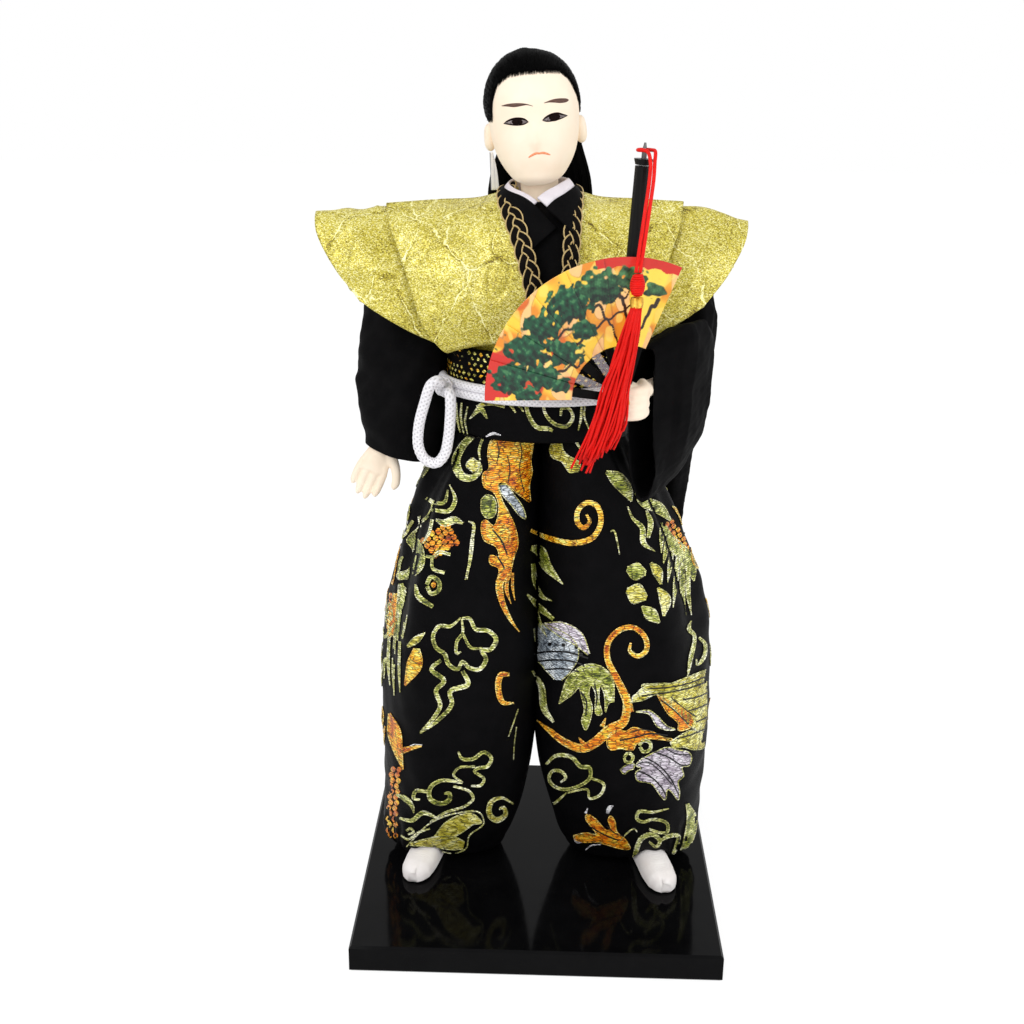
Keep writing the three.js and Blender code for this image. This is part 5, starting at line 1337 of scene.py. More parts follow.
DRAGON_BODY = [
    ("orange", [(505, 150), (638, 140), (635, 260), (640, 300), (628, 360), (630, 430), (600, 410),
                (560, 380), (530, 350), (500, 350), (515, 420), (540, 470), (570, 540), (580, 610),
                (565, 660), (555, 700), (540, 760), (500, 760), (500, 710), (465, 690), (465, 655),
                (500, 660), (490, 620), (440, 590), (430, 520), (445, 505), (480, 530), (495, 500),
                (500, 440), (480, 390), (440, 365), (435, 310), (460, 290), (455, 220), (470, 170)]),
    ("gold", [(512, 154), (632, 146), (630, 235), (600, 262), (560, 240), (520, 300), (470, 330),
              (446, 320), (466, 292), (462, 222), (476, 172)]),
    ("gold", [(452, 520), (486, 545), (510, 520), (545, 560), (540, 610), (505, 600), (456, 575)]),
    ("silver", [(500, 360), (530, 355), (565, 400), (600, 450), (612, 500), (590, 490), (550, 440),
                (510, 390)]),
    ("green", [(428, 420), (448, 402), (478, 408), (492, 450), (480, 490), (452, 498), (430, 470)]),
]
DRAGON_HEAD = [
    ("yellow", [(425, 160), (430, 135), (470, 120), (462, 95), (520, 88), (600, 85), (650, 70), (720, 45),
                (720, 260), (700, 280), (660, 260), (640, 250), (600, 200), (560, 165), (520, 130),
                (470, 150)]),
    ("orange", [(520, 130), (560, 150), (600, 170), (650, 215), (655, 240), (640, 260), (600, 265),
                (600, 240), (560, 200)]),
    ("lilac", [(440, 195), (490, 190), (520, 210), (560, 250), (590, 262), (560, 265), (520, 250),
               (490, 205)]),
    ("orange", [(330, 300), (345, 275), (380, 265), (400, 270), (430, 255), (470, 265), (500, 270),
                (540, 290), (580, 300), (570, 305), (530, 300), (480, 300), (440, 320), (430, 340),
                (380, 335), (345, 340), (332, 325)]),
    ("lilac", [(460, 375), (520, 345), (560, 330), (600, 340), (640, 350), (650, 370), (640, 400),
               (615, 405), (620, 440), (600, 460), (605, 500), (600, 530), (575, 500), (560, 490),
               (550, 530), (530, 510), (500, 470), (445, 455), (440, 425), (460, 410), (440, 400),
               (455, 380)]),
    ("lilac", [(380, 415), (400, 400), (430, 390), (432, 410), (410, 420), (395, 432)]),
    ("yellow", [(570, 310), (600, 290), (650, 265), (690, 270), (710, 250), (715, 230), (700, 330),
                (660, 340), (620, 330), (580, 330)]),
    ("orange", [(205, 665), (250, 655), (290, 660), (250, 600), (255, 585), (285, 600), (330, 645),
                (345, 640), (335, 605), (345, 590), (360, 610), (368, 650), (400, 680), (418, 715),
                (380, 715), (330, 700), (290, 690), (240, 690), (210, 680)]),
    ("green", [(150, 165), (190, 100), (240, 40), (280, 25), (320, 35), (350, 75), (355, 120), (330, 180),
               (325, 200), (320, 130), (305, 95), (300, 150), (310, 205), (290, 205), (285, 120),
               (270, 95), (262, 130), (275, 180), (265, 235), (250, 265), (235, 230), (245, 190),
               (235, 140), (225, 105), (200, 130)]),
]
LEFT_DETAILS = [
    ("dark", [(45, 48, 6), (100, 40, 6), (170, 42, 6), (236, 62, 6)]),
    ("dark", [(62, 74, 6), (120, 68, 6), (180, 72, 6), (224, 88, 6)]),
    ("dark", [(88, 102, 5), (150, 98, 5), (206, 108, 5)]),
    ("dark", [(405, 450, 5), (450, 470, 5), (490, 510, 5), (506, 542, 4)]),
    ("dark", [(420, 400, 5), (470, 425, 5), (515, 470, 5), (546, 532, 4)]),
    ("dark", [(450, 382, 5), (510, 402, 5), (560, 432, 5), (588, 428, 4)]),
    ("dark", [(400, 428, 4), (440, 420, 4), (480, 448, 4), (526, 500, 4)]),
    ("dark", [(500, 372, 4), (540, 392, 4), (586, 396, 4)]),
    ("dark", [(420, 192, 5), (520, 178, 5), (600, 160, 5), (660, 136, 5)]),
    ("dark", [(440, 168, 5), (540, 158, 5), (600, 142, 5), (660, 116, 5)]),
    ("dark", [(560, 206, 5), (610, 196, 5), (660, 174, 5)]),
    ("dark", [(580, 244, 5), (620, 232, 5), (660, 212, 5)]),
    ("dark", [(606, 282, 5), (640, 268, 5), (662, 250, 5)]),
    ("dark", [(540, 340, 5), (590, 326, 5), (650, 300, 5)]),
    ("dark", [(484, 204, 5), (530, 240, 5), (580, 290, 5)]),
    ("dark", [(520, 196, 4), (560, 232, 4), (606, 264, 4)]),
    ("dark", [(344, 346, 5), (400, 334, 5), (450, 322, 5), (510, 328, 5)]),
    ("dark", [(380, 318, 4), (420, 308, 4), (460, 314, 4)]),
    ("dark", [(240, 640, 5), (290, 670, 5), (340, 690, 5)]),
    ("dark", [(300, 640, 4), (330, 666, 4), (360, 676, 4)]),
    ("dark", [(210, 176, 5), (230, 210, 5), (228, 260, 4)]),
    ("dark", [(258, 150, 5), (266, 196, 5), (262, 230, 4)]),
]
LEFT_SPOTS = [(62, 16), (106, 14), (152, 16), (196, 24), (212, 48)]
LEFT_DETAILS += [("dark", [(x - 6, y, 9), (x, y, 13), (x + 6, y, 9)]) for x, y in LEFT_SPOTS]
RIGHT_DETAILS = [
    ("green", [(300, 370), (325, 400), (335, 450), (325, 500), (290, 530), (250, 540), (245, 520),
               (285, 505), (305, 470), (300, 430), (280, 400)]),
    ("green", [(250, 560), (275, 570), (280, 640), (270, 700), (262, 756), (236, 756), (240, 700),
               (246, 620)]),
    ("orange", [(232, 590), (242, 600), (238, 680), (230, 740), (214, 750), (222, 660)]),
    ("green", [(500, 330, 4), (520, 340, 10), (514, 400, 12), (506, 470, 10), (496, 540, 4)]),
    ("dark", [(604, 40, 3), (612, 80, 4), (604, 120, 3)]),
    ("dark", [(640, 90, 3), (650, 140, 4), (644, 190, 3)]),
    ("dark", [(682, 30, 3), (692, 80, 4), (684, 140, 3), (700, 226, 3)]),
    ("dark", [(588, 360, 5), (620, 400, 6), (640, 450, 5)]),
    ("dark", [(600, 450, 5), (620, 480, 6), (630, 500, 5)]),
]
# Pixels of a panel's own drawing for one of the picture
SCALE_UPPER, SCALE_LOWER, SCALE_WAIST, SCALE_BODY, SCALE_HEAD = 6.03, 5.6, 7.467, 4.222, 3.8
SCALE_LEFT, SCALE_RIGHT = 3.4545, 3.619
embroider("trouser_thread", tree_of(*LEGS), [
    (330, 440, SCALE_UPPER, UPPER_RIGHT_LEG), (520, 440, SCALE_UPPER, UPPER_LEFT_LEG),
    (520, 680, SCALE_LOWER, LOWER_LEFT_LEG), (330, 680, SCALE_LOWER, LOWER_RIGHT_LEG),
    (380, 400, SCALE_BODY, DRAGON_BODY), (520, 660, SCALE_HEAD, DRAGON_HEAD),
    (520, 640, SCALE_LEFT, LEFT_DETAILS), (330, 430, SCALE_RIGHT, RIGHT_DETAILS),
], angles=(0.0, math.pi))
embroider("waistband_thread", tree_of(BAND), [(430, 330, SCALE_WAIST, WAISTBAND_STROKES)],
          angles=(0.0, math.pi))


SIDE_MIDDLE = 545.0  # pixels: the middle of the side, in the view turned to it
SIDE_TOP, SIDE_BOTTOM, SIDE_STEP = 500, 840, 58


def spiral(x, y, size, way, turns=1.6):
    """A stroke that winds inwards, as (x, y, width)."""
    share = np.linspace(0, 1, 26)
    angle = way * share * turns * FULL_TURN
    far = size * (1 - 0.82 * share)
    return [(x + r * math.cos(a), y + r * math.sin(a), 1.8 + 1.6 * math.sin(math.pi * s))
            for r, a, s in zip(far, angle, share)]


def side_scrolls():
    """Clouds and leaves down the middle of the side, in pixels of the picture."""
    strokes = []
    for k, y in enumerate(range(SIDE_TOP, SIDE_BOTTOM, SIDE_STEP)):
        way = 1 if k % 2 else -1
        x = SIDE_MIDDLE + 12 * way
        thread = ("green", "yellow", "orange")[k % 3]
        strokes.append((thread, spiral(x, y, 15, way)))
        tail = [(x + 15, y, 2.0), (x + 13 - 8 * way, y + 20, 4.0), (x - 6 * way, y + 30, 3.0),
                (x - 20 * way, y + 26, 1.4)]
        strokes.append((thread, tail))
        leaf = [(x - 34 * way, y - 14, 1.2), (x - 28 * way, y - 4, 7.0), (x - 30 * way, y + 12, 1.2)]
        strokes.append(("gold" if k % 2 else "green", leaf))
    return strokes


embroider("trouser_side_thread", tree_of(*LEGS), [(0, 0, 1.0, side_scrolls())],
          angles=(math.pi / 2, -math.pi / 2))


LOZENGE_PITCH, LOZENGE_ROW = 2.3, 1.75
LOZENGE_GAPS, GOLD_SHARE = 0.16, 0.6
SASH_ROUND = 27.0  # mean radius of the sash


def sash_weave():
    """Staggered gold lozenges woven into the sash, above and below the cord."""
    dice = np.random.default_rng(5)
    parts = {"gold": [], "yellow": []}
    around = int(FULL_TURN * SASH_ROUND / LOZENGE_PITCH)
    for row, z in enumerate(np.arange(SASH_LOW + 1.2, SASH_LOW + SASH_HEIGHT - 0.6, LOZENGE_ROW)):
        for k in range(around):
            if dice.random() < LOZENGE_GAPS:
                continue
            turn = (k + 0.5 * (row % 2)) / around * FULL_TURN
            at = on_waist(turn, z, SASH_OUT + 0.14)
            wide, tall = dice.uniform(0.8, 1.12), dice.uniform(0.5, 0.76)
            lean = dice.uniform(-0.4, 0.4)
            level = wide * (unit(np.array([-math.sin(turn), math.cos(turn), 0])) + lean * UP)
            out = unit(np.array([math.cos(turn) / WAIST_A, math.sin(turn) / WAIST_B, 0])) * 0.1
            corner = at + np.array([level, UP * tall, -level, -UP * tall, out])
            fan = [[0, 1, 4], [1, 2, 4], [2, 3, 4], [3, 0, 4]]
            flat = np.array([(wide, 0), (0, tall), (-wide, 0), (0, -tall), (0, 0)])
            parts["gold" if dice.random() < GOLD_SHARE else "yellow"].append((corner, fan, flat))
    for thread, pieces in parts.items():
        points, faces, uv = bundle(pieces)
        make(f"sash_{thread}", points, faces, THREADS[thread], "doll", (), uv, out=False)


sash_weave()


# Kimono body and collars

SASH_TOP = SASH_LOW + SASH_HEIGHT
SHOULDER_SHIFT = NECK_X - BODY_X
TORSO_TOP = 231.6
BODICE_TOP = 238.0  # the cloth stands higher than the body, up to the collar
RIM_WIDE, RIM_DEEP = 0.62, 0.86  # size of its upper edge, as shares of the body's
# Height, share of the shoulders' shift, and what is more in width and depth than at the waist
TORSO = np.array([[WAISTBAND_LOW + GAP, 0, 0, 0], [SASH_TOP, 0, 0, 0], [212, 0.5, 1, 0.2],
                  [222, 0.9, 1, -0.8], [TORSO_TOP - 1.6, 1, -0.5, -4], [TORSO_TOP, 1, -5, -7]])


def torso(grow, rows, sides):
    z = np.linspace(TORSO[0, 0], TORSO_TOP, rows)
    shift, wide, deep = columns_at(TORSO, z, smooth=0.0)
    turn = whole_turn(sides)
    x, y = ellipse(turn[None], (WAIST_A + wide + grow)[:, None], (WAIST_B + deep + grow)[:, None])
    x = x + (BODY_X + shift * SHOULDER_SHIFT)[:, None]
    y = y + (BODY_Y + shift * 2)[:, None]
    return np.stack(np.broadcast_arrays(x, y, z[:, None]), axis=-1)


def kimono_bodice():
    """The body's cloth, drawn in to the collar."""
    grid = torso(GAP + CLOTH, 60, 120)
    top = grid[-1]
    x, y = NECK_X + (top[:, 0] - NECK_X) * RIM_WIDE, top[:, 1] * RIM_DEEP
    rim = np.stack(np.broadcast_arrays(x, y, BODICE_TOP), axis=-1)
    grid = np.concatenate([grid, top + (rim - top) * np.linspace(0.1, 1, 10)[:, None, None]])
    grid = grid + 0.15 * crumple(grid, 12, 31)[..., None] * unit(grid - (NECK_X, 0, 0)) * (1, 1, 0)
    points, faces = loft(grid, caps=False)
    obj = make("kimono_bodice", points, faces, CREPE, "doll", ["kimono_body"])
    cut_sheet(grid, wrap=True)
    return obj


kimono = kimono_bodice()

# Upper edge of the white collar, from its end on the doll's left round the nape
COLLAR_EDGE = np.array([
    (3.0, -16.6, 236.4), (-1.2, -14.6, 240.4), (-5.1, -13.0, 243.7), (-8.1, -11.0, 245.3),
    (-11.7, -8.2, 246.5), (-13.3, -5.0, 247.5), (-13.0, 2.0, 248.2), (-8.6, 8.4, 249.0), (-3.6, 9.8, 249.2),
    (2.0, 8.4, 248.9), (4.8, 2.6, 248.9), (4.9, -4.8, 249.5), (3.8, -7.5, 249.1), (1.2, -10.5, 247.8),
    (-2.2, -12.7, 246.1), (-5.1, -14.8, 244.0)])
# The way the cloth falls from there
COLLAR_FALL = np.array([
    (-0.72, -0.3, -0.62), (-0.72, -0.3, -0.62), (-0.7, -0.3, -0.65), (-0.66, -0.28, -0.7),
    (-0.6, -0.22, -0.77), (-0.5, -0.12, -0.86), (-0.42, 0.1, -0.9), (-0.2, 0.4, -0.9), (0, 0.45, -0.89),
    (0.2, 0.4, -0.9), (0.42, 0.1, -0.9), (0.5, -0.12, -0.86), (0.56, -0.2, -0.8), (0.62, -0.25, -0.74),
    (0.68, -0.3, -0.66), (0.72, -0.3, -0.62)])


def collar_grid(drop, proud, width, first=0.0, last=1.0):
    """A band below the white collar's edge, and proud of it.

    drop is how far below at its first end, the nape and its last end. width is beside the neck, at the
    ends and what is more at the nape."""
    t = np.linspace(first, last, 170)
    edge_line = catmull(COLLAR_EDGE, t)
    fall = unit(catmull(COLLAR_FALL, t))
    out = unit(np.cross(np.gradient(edge_line, axis=0), fall))
    away = edge_line - (NECK_X, NECK_Y + 2.0, 0)
    out *= np.sign(np.sum(out[:, :2] * away[:, :2], axis=1))[:, None]
    v = np.linspace(0, 1, 16)[:, None, None]
    bow = 0.5 * np.sin(math.pi * v)
    down = np.interp(t, [0, 0.5, 1], drop)[:, None]
    wide = width[0] + (width[1] - width[0]) * np.abs(2 * t - 1) ** 3
    wide = (wide + width[2] * np.exp(-((2 * t - 1) / 0.3) ** 2))[:, None]
    return edge_line + fall * (down + v * wide) + out * (proud + bow)


def collar(name, grid, thickness, material, node):
    points, faces, uv = thick_sheet(grid, thickness)
    obj = make(name, points, faces, material, "doll", [node], uv)
    cut_sheet(grid)
    return obj


white_collar = collar("white_collar", collar_grid((0, 0, 0), 0.0, (4.0, 11.2, 2.0), 0.12, 0.985), 0.8,
                      WHITE_SILK, "inner_collar")
collar("black_collar", collar_grid((1.7, 1.9, 4.6), 0.9, (2.8, 11.5, 5.0)), CLOTH, CREPE, "kimono_collar")


# Vest

WING_SHARE = 0.91
REACH = {RIGHT: 1.0, LEFT: WING_SHARE}
VEST_TUCK, VEST_ENTRY = SASH_LOW + 5, SASH_TOP + 2
VEST_WAIST = VEST_GROW + BROCADE / 2
SHOULDER_SEAM = {RIGHT: [(9.0, 245.6), (20, 242.3), (33, 241.4), (50.6, 239.9)],
                 LEFT: [(9.0, 246.0), (20, 243.2), (33, 242.6), (50.6, 241.9)]}
WING_CREST = {RIGHT: (239.2, 238.0, 237.0), LEFT: (240.6, 239.3, 235.8)}
SEAM_Y, SEAM_GAP = 1.4, 0.9
# The vest's opening leans to the left: height and shift
LEAN = np.array([[206, 4.4], [219, 4.0], [225, 3.0], [231, 2.3], [238, 1.1], [243, 0]])


def vest_rows(side, rows):
    return [[(NECK_X + side * REACH[side] * x, y, z) for x, y, z in row] for row in rows]


def front_rows(side):
    seam = [(x, SEAM_Y - SEAM_GAP / 2, z) for x, z in SHOULDER_SEAM[side]]
    rows = np.array(vest_rows(side, [
        seam,
        [(9.0, -9.2, 243), (20, -9.6, 239), (32, -9.4, 236.6), (48.6, -6.6, 234.0)],
        [(6.8, -18.6, 234), (18, -19.4, 227.4), (30, -19.4, 223.8), (42.6, -16.6, 220.4)],
        [(4.6, -24.2, 221), (14.4, -24.8, 213.4), (25.4, -24.5, 208.4), (36.4, -22.2, 204.2)],
        [(3, -25.6, 206), (11.4, -25.4, 203), (21, -24.1, 199.8), (29.6, -21.4, 196.8)]]))
    shift = np.interp(rows[:, :1, 2], LEAN[:, 0], LEAN[:, 1])
    rows[..., 0] += shift * np.array([1, 0.66, 0.33, 0])
    turns = np.radians([-90 + side * a for a in (4, 22, 44, 68)])
    tucked = [on_waist(turns, z, VEST_WAIST).tolist() for z in (VEST_ENTRY, VEST_TUCK)]
    return np.array(rows.tolist() + tucked)


def wing_rows(side):
    crest = WING_CREST[side]
    return np.array(vest_rows(side, [
        [(30.4, -19.6, 197.6), (45, -20, 204.4), (57.8, -16, 211.4)],
        [(40.4, -13.2, 219.8), (53, -14.6, 221.6), (66.4, -10.6, 221.2)],
        [(46.2, -4.4, 233.2), (60, -6.2, 232.8), (72.6, -4.6, 230.8)],
        [(46.8, 2.6, crest[0]), (60.4, 2.4, crest[1]), (73.8, 2, crest[2])],
        [(42.0, 12.6, 234.4), (58.6, 12.4, 233.4), (72.6, 9, 230.6)],
        [(38.6, 20.8, 220.6), (55, 20.4, 220.6), (66.4, 16, 221)],
        [(36.4, 23.0, 205.2), (49.4, 23.0, 207.4), (57.8, 19.4, 211.4)]]))


def back_rows():
    below = [
        [(4, 17.4, 240.2), (11, 15.4, 239.6), (22, 13.6, 238.6), (33, 14, 237.4), (46, 15, 235.6)],
        [(4, 22, 221), (11, 22, 221), (22, 22.2, 221), (33, 22.6, 221.2), (44.6, 23, 221.4)],
        [(4, 22.6, 203), (11, 22.8, 203), (21, 23.4, 203.6), (31, 24.6, 204.4), (41.4, 26, 205.2)]]
    halves = {}
    for side in (RIGHT, LEFT):
        seam = [(7.6, 15.4, 244.6)] + [(x, SEAM_Y + SEAM_GAP / 2, z) for x, z in SHOULDER_SEAM[side]]
        halves[side] = vest_rows(side, [seam, *below])
    rows = [right[::-1] + left for right, left in zip(halves[RIGHT], halves[LEFT])]
    turns = np.radians([160, 142, 124, 106, 98, 82, 74, 56, 38, 20])
    return np.array(rows + [on_waist(turns, z, VEST_WAIST).tolist() for z in (VEST_ENTRY, VEST_TUCK)])


def lame_panel(name, rows, across, down, node, seed, room=0.3):
    """A panel of gold cloth: stiff, with small dents and creases."""
    grid = patch(rows, np.linspace(0, 1, across), np.linspace(0, 1, down))
    v = np.linspace(0, 1, down)[:, None]
    free = ramp(v, 0, 0.08) * ramp(1 - v, 0.16, 0.3)
    dents = 0.6 * crumple(grid, 14, seed) + 0.25 * crumple(grid, 6, seed + 1)
    creases = -np.exp(-(crumple(grid * (1, 1, 0.6), 34, seed + 2) / 0.05) ** 2)
    grid = grid + normals_of(grid) * ((room * dents + 1.4 * room * creases) * free)[..., None]
    points, faces, uv = thick_sheet(grid, BROCADE)
    obj = make(name, points, faces, LAME, "doll", [node], uv)
    cut_sheet(grid)


for side in (RIGHT, LEFT):
    name = SIDE_NAME[side]
    lame_panel(f"vest_{name}_panel", front_rows(side), 64, 110, f"vest_{name}_front", 41 + side)
    lame_panel(f"vest_{name}_shoulder", wing_rows(side), 44, 110, f"vest_{name}_wing", 51 + side)
lame_panel("vest_back_panel", back_rows(), 130, 90, "vest_back", 61)


CHEST = np.array([[242.6, -9.4], [238, -14.6], [231, -18.6], [221, -22.0], [210, -23.4]])  # height and y
CHEST_CLOTH = 0.6  # thickness of the cloth there


def chest_rows():
    """Rows of the cloth that closes the opening of the vest."""
    rows = []
    for z, y in CHEST:
        middle = NECK_X + np.interp(z, LEAN[:, 0], LEAN[:, 1])
        rows.append([(middle + x, y + back, z) for x, back in ((-11, 2.2), (-4, 0.2), (4, 0.2), (11, 2.2))])
    return np.array(rows)


chest_grid = patch(chest_rows(), np.linspace(0, 1, 30), np.linspace(0, 1, 50))
points, faces, uv = thick_sheet(chest_grid, CHEST_CLOTH)
chest = make("kimono_chest", points, faces, CREPE, "doll", (), uv)
cut_sheet(chest_grid)


# Braids: three flat black plaits with gold edges on each front of the vest

BRAID_WIDTH, BRAID_END, BRAID_OVERHANG = 6.6, 0.72, 0.25
EDGE_SHARES = np.array([0.001, 0.021])  # two places across a front, beside its edge
TRIM_RADIUS = 0.27
PLAIT_PITCH = 14.3
STRAND_HALF = 1.16
STRAND_DEEP = 0.5
BRAID_LIFT, STRAND_RISE, TRIM_LIFT = 0.75, 0.42, 0.16


def braid(side):
    rows = front_rows(side)
    v = np.linspace(0, BRAID_END, 200)
    strip = patch(rows, EDGE_SHARES, v)
    edge_line = strip[:, 0]
    across = unit(strip[:, 1] - strip[:, 0])
    down = unit(np.gradient(edge_line, axis=0))
    out = unit(np.cross(across, down))
    out[out[:, 1] > 0] *= -1
    lift = BROCADE / 2 + GAP + BRAID_LIFT
    middle = edge_line + across * (0.5 - BRAID_OVERHANG) * BRAID_WIDTH + out * lift
    far = along_path(middle)
    parts = {BLACK_YARN: [], GOLD_YARN: []}
    sway = BRAID_WIDTH / 2 - STRAND_HALF - 0.25
    for k in range(3):
        turn = FULL_TURN * (far / PLAIT_PITCH + k / 3)
        aside, rise = sway * np.sin(turn), STRAND_RISE * np.sin(2 * turn)
        path = middle + across * aside[:, None] + out * rise[:, None]
        along = unit(np.gradient(path, axis=0))
        flat = unit(np.cross(out, along))
        ring_turn = whole_turn(12)
        ring = (path[:, None] + flat[:, None] * (STRAND_HALF * np.cos(ring_turn))[None, :, None]
                + out[:, None] * (STRAND_DEEP * np.sin(ring_turn))[None, :, None])
        points, faces = loft(ring)
        u_and_v = np.broadcast_arrays(ring_turn[None] / ABOUT_A_TURN, far[:, None])
        parts[BLACK_YARN].append((points, faces, np.stack(u_and_v, axis=-1).reshape(-1, 2)))
        for sign in (-1, 1):
            trim = path + flat * (sign * STRAND_HALF) + out * TRIM_LIFT
            parts[GOLD_YARN].append(tube(trim, TRIM_RADIUS, 6))
    name = SIDE_NAME[side]
    points, faces, uv = bundle(parts[BLACK_YARN])
    make(f"{name}_braid_plait", points, faces, BLACK_YARN, "doll", [f"{name}_braid"], uv)
    points, faces, uv = bundle(parts[GOLD_YARN])
    make(f"{name}_braid_trim", points, faces, GOLD_YARN, "doll", (), uv)


for side in (RIGHT, LEFT):
    braid(side)


# Head

HEAD_TILT = math.radians(-6)
# Height above the neck's base, half the width, and the depths of the front and the back
HEAD = np.array([[8.2, 4.2, 12.4, -3], [9.6, 7, 14.8, 0], [13, 10.2, 16.2, 8.5], [17, 12.4, 16.7, 13],
                 [22, 13.8, 17, 15.6], [28, 14.5, 16.6, 17], [34, 14.4, 15.8, 17.4], [39.5, 13, 13.6, 16],
                 [44, 10, 9.8, 12.6], [46.8, 6, 5.6, 8], [48, 2.2, 2, 3]])
CHIN, CHEEK, CROWN_LOW, CROWN_TOP = 8.2, 13.0, 44.0, 48.0  # heights in that table
NOSE_TIP, EYE_HEIGHT, EYE_APART, MOUTH_HEIGHT = 21.4, 28.8, 5.6, 16.6
EAR_X, EAR_Y, EAR_HEIGHT = 14.7, 1.5, 23.2
EAR_WIDE, EAR_DEEP, EAR_TALL = 2.2, 2.5, 4.3  # half its size
HOLLOW_Y, HOLLOW_Z, HOLLOW_DEPTH = 1.0, 23.8, 0.8  # of the ear
NOSE_OUT, SOCKET_IN, LIPS_OUT = 1.05, 0.3, 0.3
NECK_RADIUS, NECK_WIDE, NECK_FRONT = 6.0, 6.1, 8.4
NECK_DOWN = NECK_BASE - TORSO_TOP - GAP - NECK_RADIUS * math.sin(abs(HEAD_TILT))


def from_head(points):
    """Points of the tilted head in the doll's frame."""
    points = np.asarray(points, float)
    c, s = math.cos(HEAD_TILT), math.sin(HEAD_TILT)
    x, y, z = points[..., 0], points[..., 1], points[..., 2]
    return np.stack([NECK_X + c * x + s * z, NECK_Y + y, NECK_BASE - s * x + c * z], axis=-1)


def head_surface(turn, z, grow=0.0):
    a, front, back = columns_at(HEAD, z, smooth=0.75)
    half, middle = (back + front) / 2, (back - front) / 2
    x, y = ellipse(turn, np.maximum(a, 0.2) + grow, np.maximum(half, 0.2) + grow, power=2.25)
    return np.stack(np.broadcast_arrays(x, y + middle, z), axis=-1)


def ear(side):
    turn = whole_turn(28)
    rings = []
    for lat in np.linspace(-1.45, 1.45, 18):
        x = side * (EAR_X + EAR_WIDE * np.cos(lat) * np.cos(turn))
        y = EAR_Y + EAR_DEEP * math.cos(lat) * np.sin(turn)
        z = np.full_like(x, EAR_HEIGHT + EAR_TALL * math.sin(lat))
        hollow = np.exp(-((y - HOLLOW_Y) / 1.2) ** 2 - ((z - HOLLOW_Z) / 2.2) ** 2) * (np.cos(turn) > 0.2)
        rings.append(np.stack([x - side * HOLLOW_DEPTH * hollow, y, z], axis=-1))
    return loft(from_head(rings))


def head():
    z = np.concatenate([np.linspace(CHIN, CHEEK, 14, endpoint=False),
                        np.linspace(CHEEK, CROWN_LOW, 90, endpoint=False),
                        np.linspace(CROWN_LOW, CROWN_TOP, 20)])[:, None]
    skull = head_surface(whole_turn(160)[None], z)
    x, y, high = (skull[..., k] for k in range(3))
    face = ramp(-y, 6, 12)
    nose = np.exp(-(x / 1.5) ** 2) * ramp(high, 18.6, NOSE_TIP) * ramp(-high, -33, -21)
    sockets = sum(np.exp(-((x - s * EYE_APART) / 4.2) ** 2 - ((high - EYE_HEIGHT) / 2.4) ** 2)
                  for s in (-1, 1))
    lips = np.exp(-(x / 3.4) ** 2 - ((high - MOUTH_HEIGHT) / 1.6) ** 2)
    skull[..., 1] -= face * (NOSE_OUT * nose - SOCKET_IN * sockets + LIPS_OUT * lips)
    throat = ellipse(whole_turn(40), NECK_WIDE, NECK_FRONT, NECK_RADIUS)
    neck = [np.stack(np.broadcast_arrays(*throat, h), axis=-1) for h in np.linspace(-NECK_DOWN, 16, 12)]
    shapes = [loft(from_head(skull)), loft(from_head(neck)), ear(RIGHT), ear(LEFT)]
    points, faces, uv = bundle([no_uv(shape) for shape in shapes])
    return make("head_skin", points, faces, SKIN, "head", ["head"], uv)


HEAD_TREE = tree_of(head())
FACE_X, FACE_Y, FACE_SCALE = 440, 20, 7.127  # pixels, and pixels of the face's own drawing for one


def face_paint(name, look, strokes, lift):
    """Painted strokes on the face, from points and widths on the picture."""
    parts = []
    for stroke in strokes:
        line = [(FACE_X + x / FACE_SCALE, FACE_Y + y / FACE_SCALE, w / FACE_SCALE) for x, y, w in stroke]
        parts.append(ribbon(HEAD_TREE, line, 0.0, lift, 5))
    points, faces, uv = bundle(parts)
    make(name, points, faces, look, "head", (), uv, out=False)


face_paint("eyes_white", EYE_WHITE, [
    [(462, 734, 6), (500, 728, 30), (548, 726, 42), (600, 725, 30), (626, 727, 6)],
    [(734, 716, 6), (770, 706, 30), (815, 694, 44), (865, 687, 32), (900, 684, 6)]], 0.02)
face_paint("eyes_black", EYE_BLACK, [
    [(514, 727, 20), (528, 726, 46), (550, 726, 54), (572, 726, 46), (590, 726, 18)],
    [(776, 701, 18), (790, 698, 46), (812, 694, 56), (836, 690, 48), (856, 687, 18)],
    [(456, 738, 4), (480, 722, 12), (520, 706, 15), (560, 702, 16), (600, 708, 14), (630, 726, 6)],
    [(456, 738, 5), (500, 745, 9), (550, 749, 10), (600, 742, 9), (630, 727, 4)],
    [(730, 716, 5), (755, 694, 13), (800, 672, 16), (840, 666, 16), (875, 674, 12), (906, 680, 4)],
    [(730, 717, 4), (765, 722, 9), (810, 716, 10), (860, 702, 9), (906, 682, 4)]], 0.06)
face_paint("brows", BROW, [
    [(440, 612, 4), (480, 608, 18), (530, 607, 28), (580, 603, 20), (620, 603, 8), (662, 614, 3)],
    [(742, 592, 3), (775, 582, 12), (815, 576, 26), (860, 575, 34), (900, 572, 26), (914, 570, 10)]], 0.05)
face_paint("mouth", LIP, [
    [(632, 980, 8), (650, 967, 14), (690, 949, 17), (706, 951, 14), (735, 947, 17), (768, 955, 13),
     (786, 961, 6)]], 0.05)


# Hair

